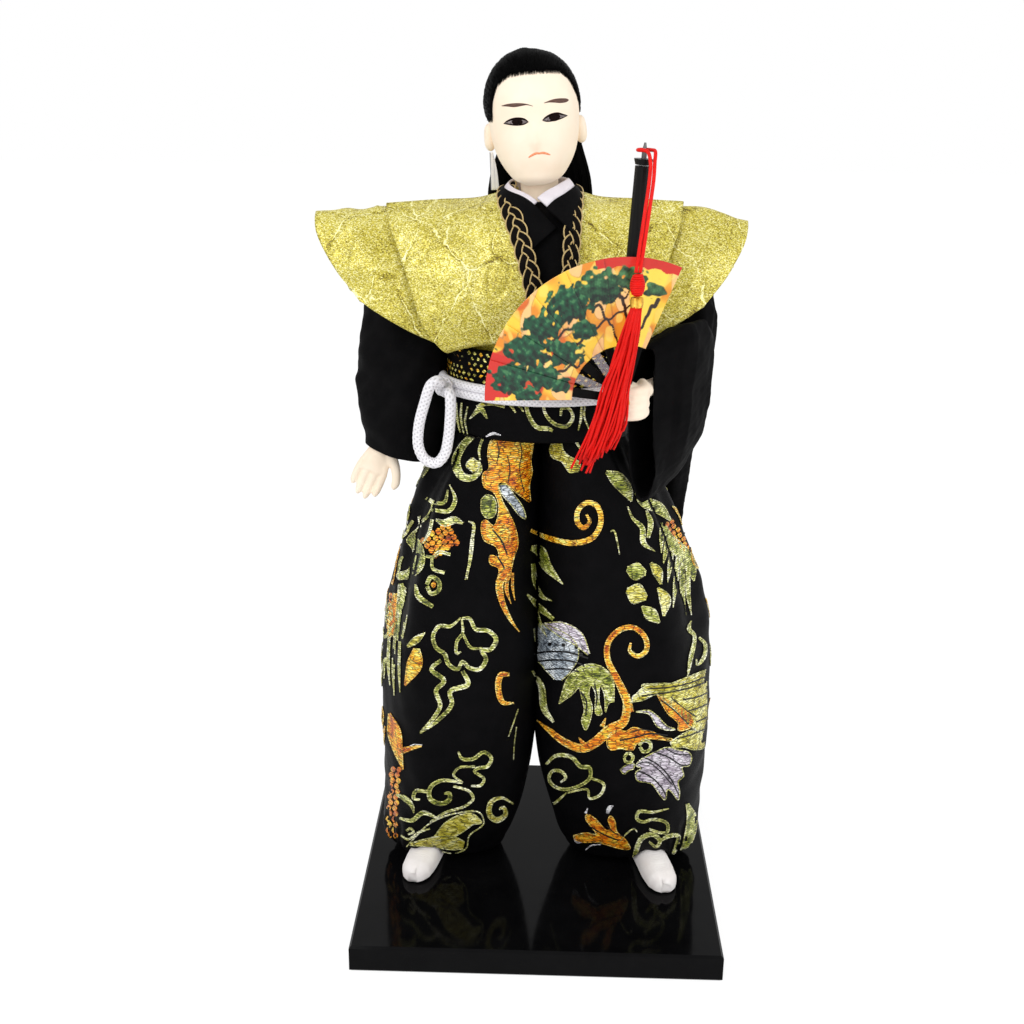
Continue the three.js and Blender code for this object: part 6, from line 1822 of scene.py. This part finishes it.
HAIR_CENTRE = np.array([0.0, 0.0, 28.0])
HAIRLINE_PIXELS = [(493, 119), (493.3, 99), (499, 83), (510, 74), (524, 72), (533, 71), (547, 70),
                   (559, 70.5), (566, 76), (573, 87), (577, 101), (578, 116)]
HAIRLINE_REACH = 80  # degrees from the front that the photograph shows
SIDE_HAIRLINE = [(86, 5), (93, 2), (106, 1), (119, -15), (136, -27), (180, -31)]  # from the front, and up
MISSED = 15.0  # millimetres from the head's middle, where a ray meets no surface
COMBED, WISPS, FALLING = 2200, 900, 520  # how many hairs lie on the cap, its edge and the fall
COMBED_RADIUS, FALLING_RADIUS, WISP_ROOT, WISP_TIP = 0.13, 0.16, 0.08, 0.02
STRAND_SIDES = 3
HAIR_RIM, HAIR_THICK, HAIR_GROOVE = 0.25, 0.66, 0.07  # the cap at its edge, more at the crown, grooves
HAIR_UNEVEN = 0.3  # how much thinner the cap is on the doll's left


def to_head(points):
    """Points of the doll's frame in the tilted head's."""
    p = np.asarray(points, float) - (NECK_X, NECK_Y, NECK_BASE)
    c, s = math.cos(HEAD_TILT), math.sin(HEAD_TILT)
    return np.stack([c * p[..., 0] - s * p[..., 2], p[..., 1], s * p[..., 0] + c * p[..., 2]], axis=-1)


def hairline_table():
    """The hair's edge round the head: degrees from the front, and degrees up from the head's middle."""
    table = {}
    for x, y in HAIRLINE_PIXELS:
        hit = cast(HEAD_TREE, x, y, 0.0)
        if hit is None:
            continue
        x, y, z = to_head(hit[0]) - HAIR_CENTRE
        turn = math.degrees(math.atan2(x, -y))
        if abs(turn) < HAIRLINE_REACH:
            table[turn] = math.degrees(math.atan2(z, math.hypot(x, y)))
    for turn, up in SIDE_HAIRLINE:
        table[turn] = table[-turn] = up
    turns = sorted(table)
    return np.array(turns), np.array([table[t] for t in turns])


HAIRLINE = hairline_table()


def hair_edge(turn):
    """Degrees up of the hair's edge at degrees from the front."""
    return np.interp((np.asarray(turn) + 180) % 360 - 180, *HAIRLINE)


def towards(turn, up):
    turn, up = np.radians(turn), np.radians(up)
    return np.stack([np.cos(up) * np.sin(turn), -np.cos(up) * np.cos(turn), np.sin(up)], axis=-1)


def distances(tree, ways):
    """How far a surface lies from the head's middle along unit directions."""
    flat = ways.reshape(-1, 3)
    centre = Vector(HAIR_CENTRE)
    hits = [tree.ray_cast(centre, Vector(w))[3] for w in flat]
    return np.array([MISSED if h is None else h for h in hits]).reshape(ways.shape[:-1])


def bare_skull():
    z = np.concatenate([np.linspace(CHIN, CROWN_LOW, 60, endpoint=False),
                        np.linspace(CROWN_LOW, CROWN_TOP, 16)])[:, None]
    points, faces = loft(head_surface(whole_turn(90)[None], z))
    return BVHTree.FromPolygons(points.tolist(), faces)


def hair_shell():
    """A cap of hair that thickens from its edge to the crown."""
    turn = np.linspace(-180, 180, 300, endpoint=False)[None]
    share = np.linspace(0, 0.985, 80)[:, None]
    edge_up = hair_edge(turn)
    up = edge_up + (90 - edge_up) * share
    ways = towards(np.broadcast_to(turn, up.shape), up)
    inward = ramp(up - edge_up, 0, 24)
    thick = HAIR_RIM + (HAIR_THICK - HAIR_UNEVEN * np.sin(np.radians(turn))) * (1 - (1 - inward) ** 2)
    thick += HAIR_GROOVE * np.sin(np.radians(turn) * 70 + 4 * np.sin(np.radians(turn) * 9)) * inward
    shell = HAIR_CENTRE + ways * (distances(bare_skull(), ways) + thick)[..., None]
    points, faces = loft(shell, caps=False)
    rows, columns = shell.shape[:2]
    faces.append([(rows - 1) * columns + j for j in range(columns)])
    make("hair_cap_shell", from_head(points), faces, HAIR_LOOK, "head", ["hair_cap"])
    return BVHTree.FromPolygons(points.tolist(), faces)


HAIR_TREE = hair_shell()


def hair_strands():
    """Strands combed from the hair's edge over the crown to the back."""
    dice = np.random.default_rng(17)
    paths = []
    for _ in range(COMBED):
        turn = dice.uniform(-180, 180)
        edge_up = float(hair_edge(turn))
        up = edge_up + (86 - edge_up) * dice.random() ** 1.6
        first = towards(turn, up)
        last = unit(np.array([0.55 * first[0] + dice.normal(0, 0.05), 1.0, 0.1 + 0.35 * first[2]]))
        angle = math.acos(float(np.clip(first @ last, -1, 1)))
        if angle < 0.15:
            continue
        arc = min(math.radians(dice.uniform(30, 75)), angle) * np.linspace(0, 1, 12)[:, None]
        ways = unit((np.sin(angle - arc) * first + np.sin(arc) * last) / math.sin(angle))
        lift = 0.05 + 0.16 * np.sin(math.pi * np.linspace(0.02, 0.98, 12)) * dice.uniform(0.4, 1)
        paths.append(from_head(HAIR_CENTRE + ways * (distances(HAIR_TREE, ways) + lift)[:, None]))
    points, faces, uv = strands(paths, COMBED_RADIUS, STRAND_SIDES)
    make("hair_combed", points, faces, HAIR_LOOK, "head", (), uv)


def hairline_wisps():
    """Short fine hairs that cross the forehead's edge."""
    dice = np.random.default_rng(23)
    skull = bare_skull()
    share = np.linspace(0, 1, 5)
    paths = []
    for _ in range(WISPS):
        turn = dice.uniform(-78, 78)
        edge_up = float(hair_edge(turn))
        up = np.linspace(edge_up + 3.0, edge_up - dice.uniform(0.6, 4.6), len(share))
        ways = towards(turn + share * dice.normal(0, 0.5), up)
        paths.append(from_head(HAIR_CENTRE + ways * (distances(skull, ways) + 0.75 - 0.69 * share)[:, None]))
    points, faces, uv = strands(paths, np.linspace(WISP_ROOT, WISP_TIP, len(share)), STRAND_SIDES)
    make("hair_wisps", points, faces, HAIR_LOOK, "head", (), uv)


hair_strands()
hairline_wisps()

HAIR_TIE, HAIR_END = 274.0, 198.0
HAIR_X = NECK_X - 0.6
# Height, half the width, y of the middle and half the depth
BACK_HAIR = np.array([
    [HAIR_END, 7.4, 28.2, 2], [212, 12.6, 28, 2.6], [228, 16, 26.4, 3], [239, 17.6, 22.4, 3.2],
    [248, 17, 21.2, 3], [256, 14.6, 20.8, 2.8], [265, 11, 19.6, 2.6], [270, 7.4, 17.6, 2.2],
    [HAIR_TIE, 3, 15.4, 1.4]])


def back_hair():
    """The long hair behind the neck, as a core and the strands on it."""
    dice = np.random.default_rng(29)
    z = np.linspace(HAIR_END, HAIR_TIE, 40)[:, None]
    wide, y, deep = columns_at(BACK_HAIR, z)
    turn = whole_turn(48)
    core = loft(np.stack(np.broadcast_arrays(HAIR_X + wide * 0.95 * np.cos(turn),
                                             y + deep * 0.85 * np.sin(turn), z), axis=-1))
    paths = []
    for _ in range(FALLING):
        t = dice.uniform(0, FULL_TURN)
        low = HAIR_END + abs(dice.normal(0, 3.5)) - 2
        z = np.linspace(HAIR_TIE, max(low, HAIR_END - 1.5), 18)
        wide, y, deep = columns_at(BACK_HAIR, np.clip(z, HAIR_END, HAIR_TIE))
        wave = 0.25 * np.sin(z / 7 + t * 3)
        paths.append(np.stack([HAIR_X + wide * math.cos(t) + wave, y + deep * math.sin(t), z], axis=1))
    points, faces, uv = bundle([no_uv(core), strands(paths, FALLING_RADIUS, STRAND_SIDES)])
    obj = make("back_hair_fall", points, faces, HAIR_LOOK, None, ["back_hair"], uv)
    low, high = (NECK_X * MM, 0.024, 0.226), (NECK_X * MM, 0.022, 0.262)
    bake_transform(obj)


back_hair()

PAPER_THICKNESS = 0.4
RIBBON_ROWS = np.array([[(-15.3, 5.8, 18.2), (-14.5, 6.6, 18.3)], [(-15.7, 7.0, 12.4), (-13.8, 8.4, 12.6)],
                        [(-16.2, 8.8, 6.0), (-13.6, 10.2, 5.8)]])
ribbon_grid = from_head(patch(RIBBON_ROWS, np.linspace(0, 1, 9), np.linspace(0, 1, 24)))
points, faces, uv = thick_sheet(ribbon_grid, PAPER_THICKNESS)
make("hair_ribbon_paper", points, faces, PAPER, "head", ["hair_ribbon"], uv)


# Arms, hands and sleeves

# Height, x and y of the middle, half the width and half the depth
RIGHT_SLEEVE = np.array([
    [158.6, -48.9, -4.6, 13.0, 10.6], [172, -49.0, -2.4, 14.3, 11.6], [190, -48.2, 0.6, 15.2, 12.4],
    [208, -47, 3, 14.6, 12.2], [222, -46.2, 3.8, 12.8, 10.6], [231, -44.4, 4.4, 10.4, 8],
    [236, -42.6, 4.6, 5, 4]])
CUFF_SLOPE = -0.19


def sleeve_wall(inset):
    """The right sleeve's wall, as rings from the cuff up."""
    z = np.linspace(RIGHT_SLEEVE[0, 0], RIGHT_SLEEVE[-1, 0], 120)[:, None]
    x, y, a, b = columns_at(RIGHT_SLEEVE, z)
    turn = whole_turn(110)[None]
    px, py = ellipse(turn, a - inset, b - inset)
    away = np.clip(0.5 - np.cos(turn), 0, 1)
    row = np.interp(z, RIGHT_SLEEVE[:, 0], np.arange(len(RIGHT_SLEEVE))[::-1])
    wave = 0.7 * np.sin(3 * turn + row) * np.clip(row / 3, 0, 1) * away
    grid = np.stack(np.broadcast_arrays(px + x + wave * np.cos(turn), py + y + wave * np.sin(turn), z),
                    axis=-1)
    fold = 0.35 * crumple(grid * (1, 1, 1.4), 13, 71) + 0.15 * crumple(grid, 6, 72)
    grid[..., 0] += fold * np.cos(turn)
    grid[..., 1] += fold * np.sin(turn)
    grid[..., 2] += ramp(-z, -190, -172) * CUFF_SLOPE * (grid[..., 0] - x)
    return grid


def right_sleeve():
    outer, inner = sleeve_wall(0.0), sleeve_wall(CLOTH)
    points, faces = loft(np.concatenate([outer[::-1], inner[:-2]], axis=0))
    obj = make("right_sleeve_cloth", points, faces, CREPE, "right_arm", ["right_sleeve"])
    cut_sheet(outer, wrap=True)


ELBOW_PLACE = np.array([42.6, -14.0])  # x and y
FOREARM = unit(np.array([-11.6, -17.4]))
SIDEWAYS = np.array([-FOREARM[1], FOREARM[0]])
PUFF_OUT, PUFF_UP = 4.5, 12.0  # how far the cloth bunches out and up
BELLY_OUT, WRIST_IN = 2.8, 3.4


def puffed(points):
    """The left sleeve's cloth, bunched up in front of the shoulder and closing on the wrist."""
    rel = points[:, :2] - ELBOW_PLACE
    along, away, z = rel @ FOREARM, rel @ SIDEWAYS, points[:, 2]
    outer = ramp(away, -2, 6)
    place = np.interp(along, [-14, -8, 0, 10, 16, 22], [0, 0.6, 1, 1, 0.55, 0.1])
    high = ramp(z, 186, 200)
    out = PUFF_OUT * outer * high * place
    out += BELLY_OUT * outer * ramp(z, 152, 172) * np.interp(along, [-12, -6, 8, 14], [0, 1, 1, 0])
    out -= WRIST_IN * outer * ramp(along, 12, 20) * ramp(z, 160, 176)
    moved = points.copy()
    moved[:, :2] += SIDEWAYS * out[:, None]
    moved[:, 2] += PUFF_UP * high * place * (0.35 + 0.65 * outer)
    return moved


def soft_copy(name, node, material, body, voxel, smooth, wave, depth, seed, reshape=None, inset=0.0):
    """A cloth version of a CAD node: its skin remeshed, smoothed and gently crumpled."""
    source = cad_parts[node].data.copy()
    obj = bpy.data.objects.new(name, source)
    bpy.context.scene.collection.objects.link(obj)
    mesh = one_skin(obj, voxel, smooth)
    co = np.zeros(len(mesh.vertices) * 3)
    mesh.vertices.foreach_get("co", co)
    co = co.reshape(-1, 3)
    if reshape:
        co = (reshape(co / MM - (0, 0, BOARD_TOP)) + (0, 0, BOARD_TOP)) * MM
    normal = np.zeros(len(mesh.vertices) * 3)
    mesh.vertices.foreach_get("normal", normal)
    move = depth * crumple(co / MM, wave, seed) + 0.4 * depth * crumple(co / MM, wave / 3, seed + 1)
    co += unit(normal.reshape(-1, 3)) * ((move - inset) * MM)[:, None]
    mesh.vertices.foreach_set("co", co.ravel())
    mesh.materials.clear()
    mesh.materials.append(material)
    declare(obj, body, [node])
    return obj


right_sleeve()
left_sleeve = soft_copy("left_sleeve_cloth", "left_sleeve", CREPE, "left_arm",
                        voxel=0.45, smooth=8, wave=11, depth=0.18, seed=81, reshape=puffed)

HAND_VOXEL, HAND_SMOOTH = 0.42, 6
OPEN_FINGERS = [(-4.3, 22.4), (-1.6, 25.0), (1.2, 25.6), (3.9, 23.6)]  # x, and length from the wrist
# Radii of fingers and thumbs at their roots and tips
OPEN_FINGER, OPEN_THUMB = (1.75, 1.25), (1.95, 1.35)
FIST_FINGER, FIST_THUMB = (1.65, 1.45), (2.0, 1.5)
WRIST_RADIUS = {RIGHT: 3.0, LEFT: 2.7}
FIST_HALF, FIST_PITCH = (6.0, 8.6, 5.3), 2.5


def capsule(path, radius, sides=14):
    points, faces, _ = tube(path, radius, sides)
    return points, faces


def ball(at, half, rings=14, sides=20):
    lat = np.linspace(-math.pi / 2 * 0.96, math.pi / 2 * 0.96, rings)[:, None]
    turn = whole_turn(sides)[None]
    x = half[0] * np.cos(lat) * np.cos(turn)
    y = half[1] * np.cos(lat) * np.sin(turn)
    z = half[2] * np.sin(lat) * np.ones_like(turn)
    return loft(np.stack([x, y, z], axis=-1) + np.asarray(at, float))


def taper(path, low, high):
    """A finger: a round bar that thins to a rounded tip."""
    share = np.linspace(0, 1, len(path))
    radius = low + (high - low) * share
    radius[-3:] *= (0.9, 0.72, 0.4)
    return capsule(path, radius)


def right_hand():
    wrist = np.array([-53.2, -6.2, 166.0])
    lean, tip = math.radians(23), math.radians(-6)

    def place(points):
        p = np.asarray(points, float)
        x, y, z = p[..., 0], p[..., 1], p[..., 2]
        y, z = y * math.cos(tip) - z * math.sin(tip), y * math.sin(tip) + z * math.cos(tip)
        x, z = x * math.cos(lean) + z * math.sin(lean), -x * math.sin(lean) + z * math.cos(lean)
        return np.stack([x, y, z], axis=-1) + wrist

    parts = [capsule(place(even_path([(0, 0, 1), (0, 0, -5), (0, 0, -9)], 0.8)), WRIST_RADIUS[RIGHT])]
    for k, (x, length) in enumerate(OPEN_FINGERS):
        knuckle = (x * 0.98, -0.2, -14.5)
        path = [(x * 0.45, 0, -7), knuckle, (x * 1.08, 0.5, -length + 4), (x * 1.04, 0.2 - 0.3 * k, -length)]
        parts.append(taper(place(even_path(path, 0.7)), *OPEN_FINGER))
    turn = whole_turn(24)
    palm = [np.stack([(3.2 + 2.4 * s) * np.cos(turn), (2.6 - 0.5 * s) * np.sin(turn),
                      np.full(24, -6 - 9.5 * s)], axis=-1) for s in np.linspace(0, 1, 10)]
    parts.append(loft(place(palm)))
    thumb = [(2.4, -0.4, -6.4), (6.8, -1.2, -11), (9, -1.9, -15.5), (9, -2, -18.4)]
    parts.append(taper(place(even_path(thumb, 0.7)), *OPEN_THUMB))
    remesh("right_hand_skin", parts, HAND_VOXEL, HAND_SMOOTH, SKIN, "right_arm", ["right_hand"])


def left_hand():
    """A fist round the sword and the fan's sticks, and the wrist behind it."""
    fist = np.array([24, -42.4, 187.6])
    parts = [ball(fist, FIST_HALF)]
    for k in range(4):
        z = fist[2] + 3.8 - FIST_PITCH * k
        bend = [(29.2, -38.0, z), (29.8, -44.5, z), (27.4, -50.0, z + 0.2), (23.6, -51.0, z + 0.2),
                (20.2, -48.6, z)]
        parts.append(taper(even_path(bend, 0.8), *FIST_FINGER))
    thumb = [(21.5, -36.5, fist[2] + 3), (18.8, -41.5, fist[2] + 4.4), (19.6, -46.6, fist[2] + 4.2)]
    parts.append(taper(even_path(thumb, 0.8), *FIST_THUMB))
    wrist = [(26.0, -39.6, 187.4), (30.8, -31.4, 187.8), (35.2, -25.25, 188)]
    parts.append(capsule(even_path(wrist, 0.8), WRIST_RADIUS[LEFT]))
    remesh("left_hand_skin", parts, HAND_VOXEL, HAND_SMOOTH, SKIN, "left_arm", ["left_hand"])


right_hand()
left_hand()


# Fan: seven blades, each a stick and a printed sector

RIVET = np.array([23.4, 0, 188.7])
BLADES, BLADE_PITCH, BLADE_THICKNESS, FAN_BACK = 7, 0.65, 0.35, -44.35
FAN_RADIUS, LEAF_INNER, STICK_WIDTH, STICK_HEAD = 42.5, 16.0, 2.7, 2.3
FAN_FROM, FAN_TO = 69.0, 181.0
BLADE_STEP = (FAN_TO - FAN_FROM) / BLADES
LEAF_LAP = 0.6  # degrees by which a leaf reaches over its neighbour
STICK_HOLE = 1.2
# Tufts of the printed pines: x and height from the rivet, and size
PINES = [(-34, 6, 6.4), (-30, 14.5, 7), (-24.5, 22, 6), (-17, 28.5, 7.2), (-8, 33.5, 6.4), (1, 36.5, 4.6),
         (-25, 6.5, 5), (-18.5, 13.5, 5.6), (-13, 20.5, 4.2), (-29.5, 0.8, 4), (-20, 4, 3.6), (7.5, 33, 3.4)]
BRANCHES = [
    [(-35, 2), (-28, 8), (-22, 13), (-15, 16.5), (-10, 21), (-4, 25), (3, 29)],
    [(-26, 3), (-20, 8), (-15, 10), (-12.5, 12.5)],
    [(-20, 23), (-15, 25.5), (-9, 27.5), (-6, 24), (-2.5, 17)],
    [(-4, 35), (-1.5, 29), (0, 23), (2, 17)],
    [(9, 30), (6, 25), (4, 21), (3.6, 17)],
    [(-30, 15), (-24, 16), (-19, 20), (-14, 22)],
    [(-9, 33), (-6, 29.5), (-2, 30.5), (1, 33)],
]


def tint(*color):
    return np.array(srgb(*color)[:3])


def lay(color, share, over):
    """Paints a colour over others, by shares from 0 to 1."""
    color += (over - color) * np.asarray(share, float)[..., None]


def fan_paint(x, z):
    """Colour of the print at a place from the rivet: pines on gold and amber clouds, with a red border."""
    place = np.stack([x, 0 * x, z], axis=-1)
    r, turn = np.hypot(x, z), np.degrees(np.arctan2(z, x))
    color = np.broadcast_to(tint(228, 140, 40), x.shape + (3,)).copy()
    lay(color, ramp(crumple(place, 9, 91), -0.5, 0.5), tint(250, 205, 64))
    lay(color, ramp(crumple(place, 7, 92), 0.35, 0.6), tint(246, 196, 128))
    lay(color, 0.55 * ramp(crumple(place, 6, 94), 0.6, 0.9), tint(255, 226, 108))
    lay(color, ramp(crumple(place, 8, 95), 0.6, 0.9) * ramp(turn, 120, 150), tint(206, 66, 34))
    lay(color, 0.5 * ramp(0.09 - np.abs(crumple(place, 7, 92) - 0.45), 0, 0.05), tint(150, 84, 34))
    lay(color, ramp(6 - np.abs(turn - 78), 0, 1), tint(255, 222, 84))
    scallop = 39.0 + 0.9 * np.abs(np.sin(np.radians(turn) * 22))
    rim = ((r > scallop) & (turn < 104)) | ((r > 35.5 + 1.2 * np.sin(np.radians(turn) * 40)) & (turn > 161))
    lay(color, rim, tint(208, 44, 34))
    for k, branch in enumerate(BRANCHES):
        line = even_path([(a, b, 0) for a, b in branch], 0.4)
        wander = 0.6 * np.sin(line[:, 0] * 1.5 + k) + 0.4 * np.cos(line[:, 1] * 2.1)
        thick = np.linspace(0.62, 0.26, len(line))
        away = np.hypot(x[..., None] - line[:, 0], z[..., None] - line[:, 1] - wander) / thick
        lay(color, ramp(1.25 - away.min(axis=-1), 0, 0.35), tint(46, 28, 18))
    for k, (a, b, size) in enumerate(PINES):
        bright = 0.45 * ramp(112 - math.degrees(math.atan2(b, a)), 0, 20)
        from_x, from_z = (x - a) / size, (z - b) / (0.74 * size)
        ragged = 0.17 * crumple(place, 2.6, 97 + k) + 0.03 * crumple(place, 1.0, 117 + k)
        tone = 0.55 * from_z + 0.36 * crumple(place, 2.0, 137 + k) + 0.14 * crumple(place, 0.8, 157 + k)
        tone = ramp(tone, -0.7, 0.8)
        tuft = np.broadcast_to(tint(4, 30, 20), color.shape).copy()
        lay(tuft, tone, tint(20, 92, 58) * (1 - bright) + tint(96, 140, 84) * bright)
        lay(tuft, 0.5 * ramp(tone, 0.8, 1), tint(84, 142, 88))
        lay(color, ramp(1 - np.hypot(from_x, from_z) - ragged, 0, 0.08), tuft)
    return color


def fan_sheet(x, z, y, thickness):
    """A flat sheet of the fan from places beside and above the rivet."""
    return thick_sheet(np.stack([RIVET[0] + x, np.full_like(x, y), RIVET[2] + z], axis=-1), thickness)


def fan_leaf(k, body, middle, y):
    half = math.radians(BLADE_STEP / 2 + LEAF_LAP)
    r = np.linspace(LEAF_INNER, FAN_RADIUS, 116)[:, None]
    turn = middle + np.linspace(-half, half, 52)[None]
    points, faces, uv = fan_sheet(r * np.cos(turn), r * np.sin(turn), y, BLADE_THICKNESS)
    leaf = make(f"fan_leaf_{k + 1}", points, faces, PRINT, body, [f"fan_blade_{k + 1}"], uv)
    color = np.ones((len(points), 4))
    rel = points - RIVET
    color[:, :3] = fan_paint(rel[:, 0], rel[:, 2])
    paint = leaf.data.color_attributes.new("print", "FLOAT_COLOR", "POINT")
    paint.data.foreach_set("color", color.astype(np.float32).ravel())


def fan_stick(k, body, middle, y):
    """A stick with a round head and a hole for the rivet. Sticks are black and clear by turns."""
    far = np.concatenate([np.linspace(-STICK_HEAD, 4, 12), np.linspace(4.6, LEAF_INNER + 1.0, 20)])
    wide = np.where(far < STICK_HEAD * 0.6, np.sqrt(np.clip(STICK_HEAD ** 2 - far ** 2, 0.05, None)),
                    STICK_WIDTH / 2 * (0.86 + 0.2 * ramp(far, 2, LEAF_INNER)))
    wide = np.clip(wide, 0.25, STICK_HEAD)
    across = wide[:, None] * np.linspace(-1, 1, 7)
    far = np.broadcast_to(far[:, None], across.shape)
    x = far * math.cos(middle) - across * math.sin(middle)
    z = far * math.sin(middle) + across * math.cos(middle)
    points, faces, uv = fan_sheet(x, z, y, BLADE_THICKNESS * 0.9)
    hole = np.tile(np.hypot(x, z).ravel() < STICK_HOLE, 2)
    faces = [f for f in faces if not hole[f].all()]
    look, slot = (STICK, "black_plastic") if k % 2 == 0 else (FILM, "fan_film")
    make(f"fan_stick_{k + 1}", points, faces, look, body, (), uv)


def fan_blade(k):
    body = "left_arm" if k == 0 else f"fan_{k + 1}"
    middle = math.radians(FAN_FROM + (k + 0.5) * BLADE_STEP)
    y = FAN_BACK - k * BLADE_PITCH - BLADE_THICKNESS / 2
    fan_leaf(k, body, middle, y)
    fan_stick(k, body, middle, y)


for k in range(BLADES):
    fan_blade(k)


# Stuffing, which the costume hides

LEG_INSET = 2.2  # the pleats press it in

STUFFING = [("right_leg_padding", "doll", 101), ("left_leg_padding", "doll", 103),
            ("torso_core", "doll", 105), ("right_arm_core", "right_arm", 107),
            ("left_arm_core", "left_arm", 109)]
for node, body, seed in STUFFING:
    inset = LEG_INSET if "leg" in node else 0.0
    stuffed = soft_copy(f"{node}_wadding", node, WADDING, body, 1.0, 2, 8, 0.06, seed, inset=inset)


# Floor, light and background

def white_when_seen(tree, surface, target, color, strength):
    """Shows plain white to the camera, to gloss and through glass, and the lit surface to all else."""
    path = tree.nodes.new("ShaderNodeLightPath")
    seen = path.outputs["Is Camera Ray"]
    for more in ("Is Glossy Ray", "Is Transmission Ray"):
        either = tree.nodes.new("ShaderNodeMath")
        either.operation = "MAXIMUM"
        tree.links.new(seen, either.inputs[0])
        tree.links.new(path.outputs[more], either.inputs[1])
        seen = either.outputs["Value"]
    share = tree.nodes.new("ShaderNodeMath")
    share.operation = "MULTIPLY"
    share.inputs[1].default_value = strength
    tree.links.new(seen, share.inputs[0])
    kind = "ShaderNodeBackground" if target.bl_idname == "ShaderNodeOutputWorld" else "ShaderNodeEmission"
    glow = tree.nodes.new(kind)
    glow.inputs["Color"].default_value = color
    glow.inputs["Strength"].default_value = 1.0
    mix = tree.nodes.new("ShaderNodeMixShader")
    tree.links.new(share.outputs["Value"], mix.inputs["Fac"])
    tree.links.new(surface, mix.inputs[1])
    tree.links.new(glow.outputs[0], mix.inputs[2])
    tree.links.new(mix.outputs["Shader"], target.inputs["Surface"])


SKY_STRENGTH = 0.72
FLOOR_HALF = 3  # metres
LAMPS_AIM = Vector((0, 0, 0.16))  # metres: the doll's middle
world = bpy.data.worlds.new("studio")
world.use_nodes = True
bpy.context.scene.world = world
sky = world.node_tree.nodes["Background"]
sky.inputs["Color"].default_value = (1, 1, 1, 1)
sky.inputs["Strength"].default_value = SKY_STRENGTH
white_when_seen(world.node_tree, sky.outputs[0], world.node_tree.nodes["World Output"], (1, 1, 1, 1), 1.0)

floor_mesh = bpy.data.meshes.new("floor")
corners = [(x * FLOOR_HALF, y * FLOOR_HALF, 0) for x, y in ((-1, -1), (1, -1), (1, 1), (-1, 1))]
floor_mesh.from_pydata(corners, [], [(0, 1, 2, 3)])
floor = bpy.data.objects.new("floor", floor_mesh)
bpy.context.scene.collection.objects.link(floor)
FLOOR_WHITE = (1.11, 1.11, 1.11, 1)  # with the lit share it comes to white
pale = Look("floor", (0.9, 0.9, 0.9, 1), 0.9)
white_when_seen(pale.material.node_tree, pale.shader.outputs["BSDF"], pale.nodes["Material Output"],
                FLOOR_WHITE, 0.8)
floor_mesh.materials.append(pale.material)


def lamp(name, at, size, power):
    data = bpy.data.lights.new(name, "AREA")
    data.size = size
    data.energy = power
    obj = bpy.data.objects.new(name, data)
    bpy.context.scene.collection.objects.link(obj)
    obj.location = at
    obj.rotation_mode = "QUATERNION"
    obj.rotation_quaternion = (LAMPS_AIM - Vector(at)).to_track_quat("-Z", "Y")


lamp("key", (-0.55, -0.75, 0.85), 0.6, 5.0)
lamp("fill", (0.8, -0.6, 0.5), 0.7, 3.6)
bpy.context.scene.view_settings.view_transform = "Standard"
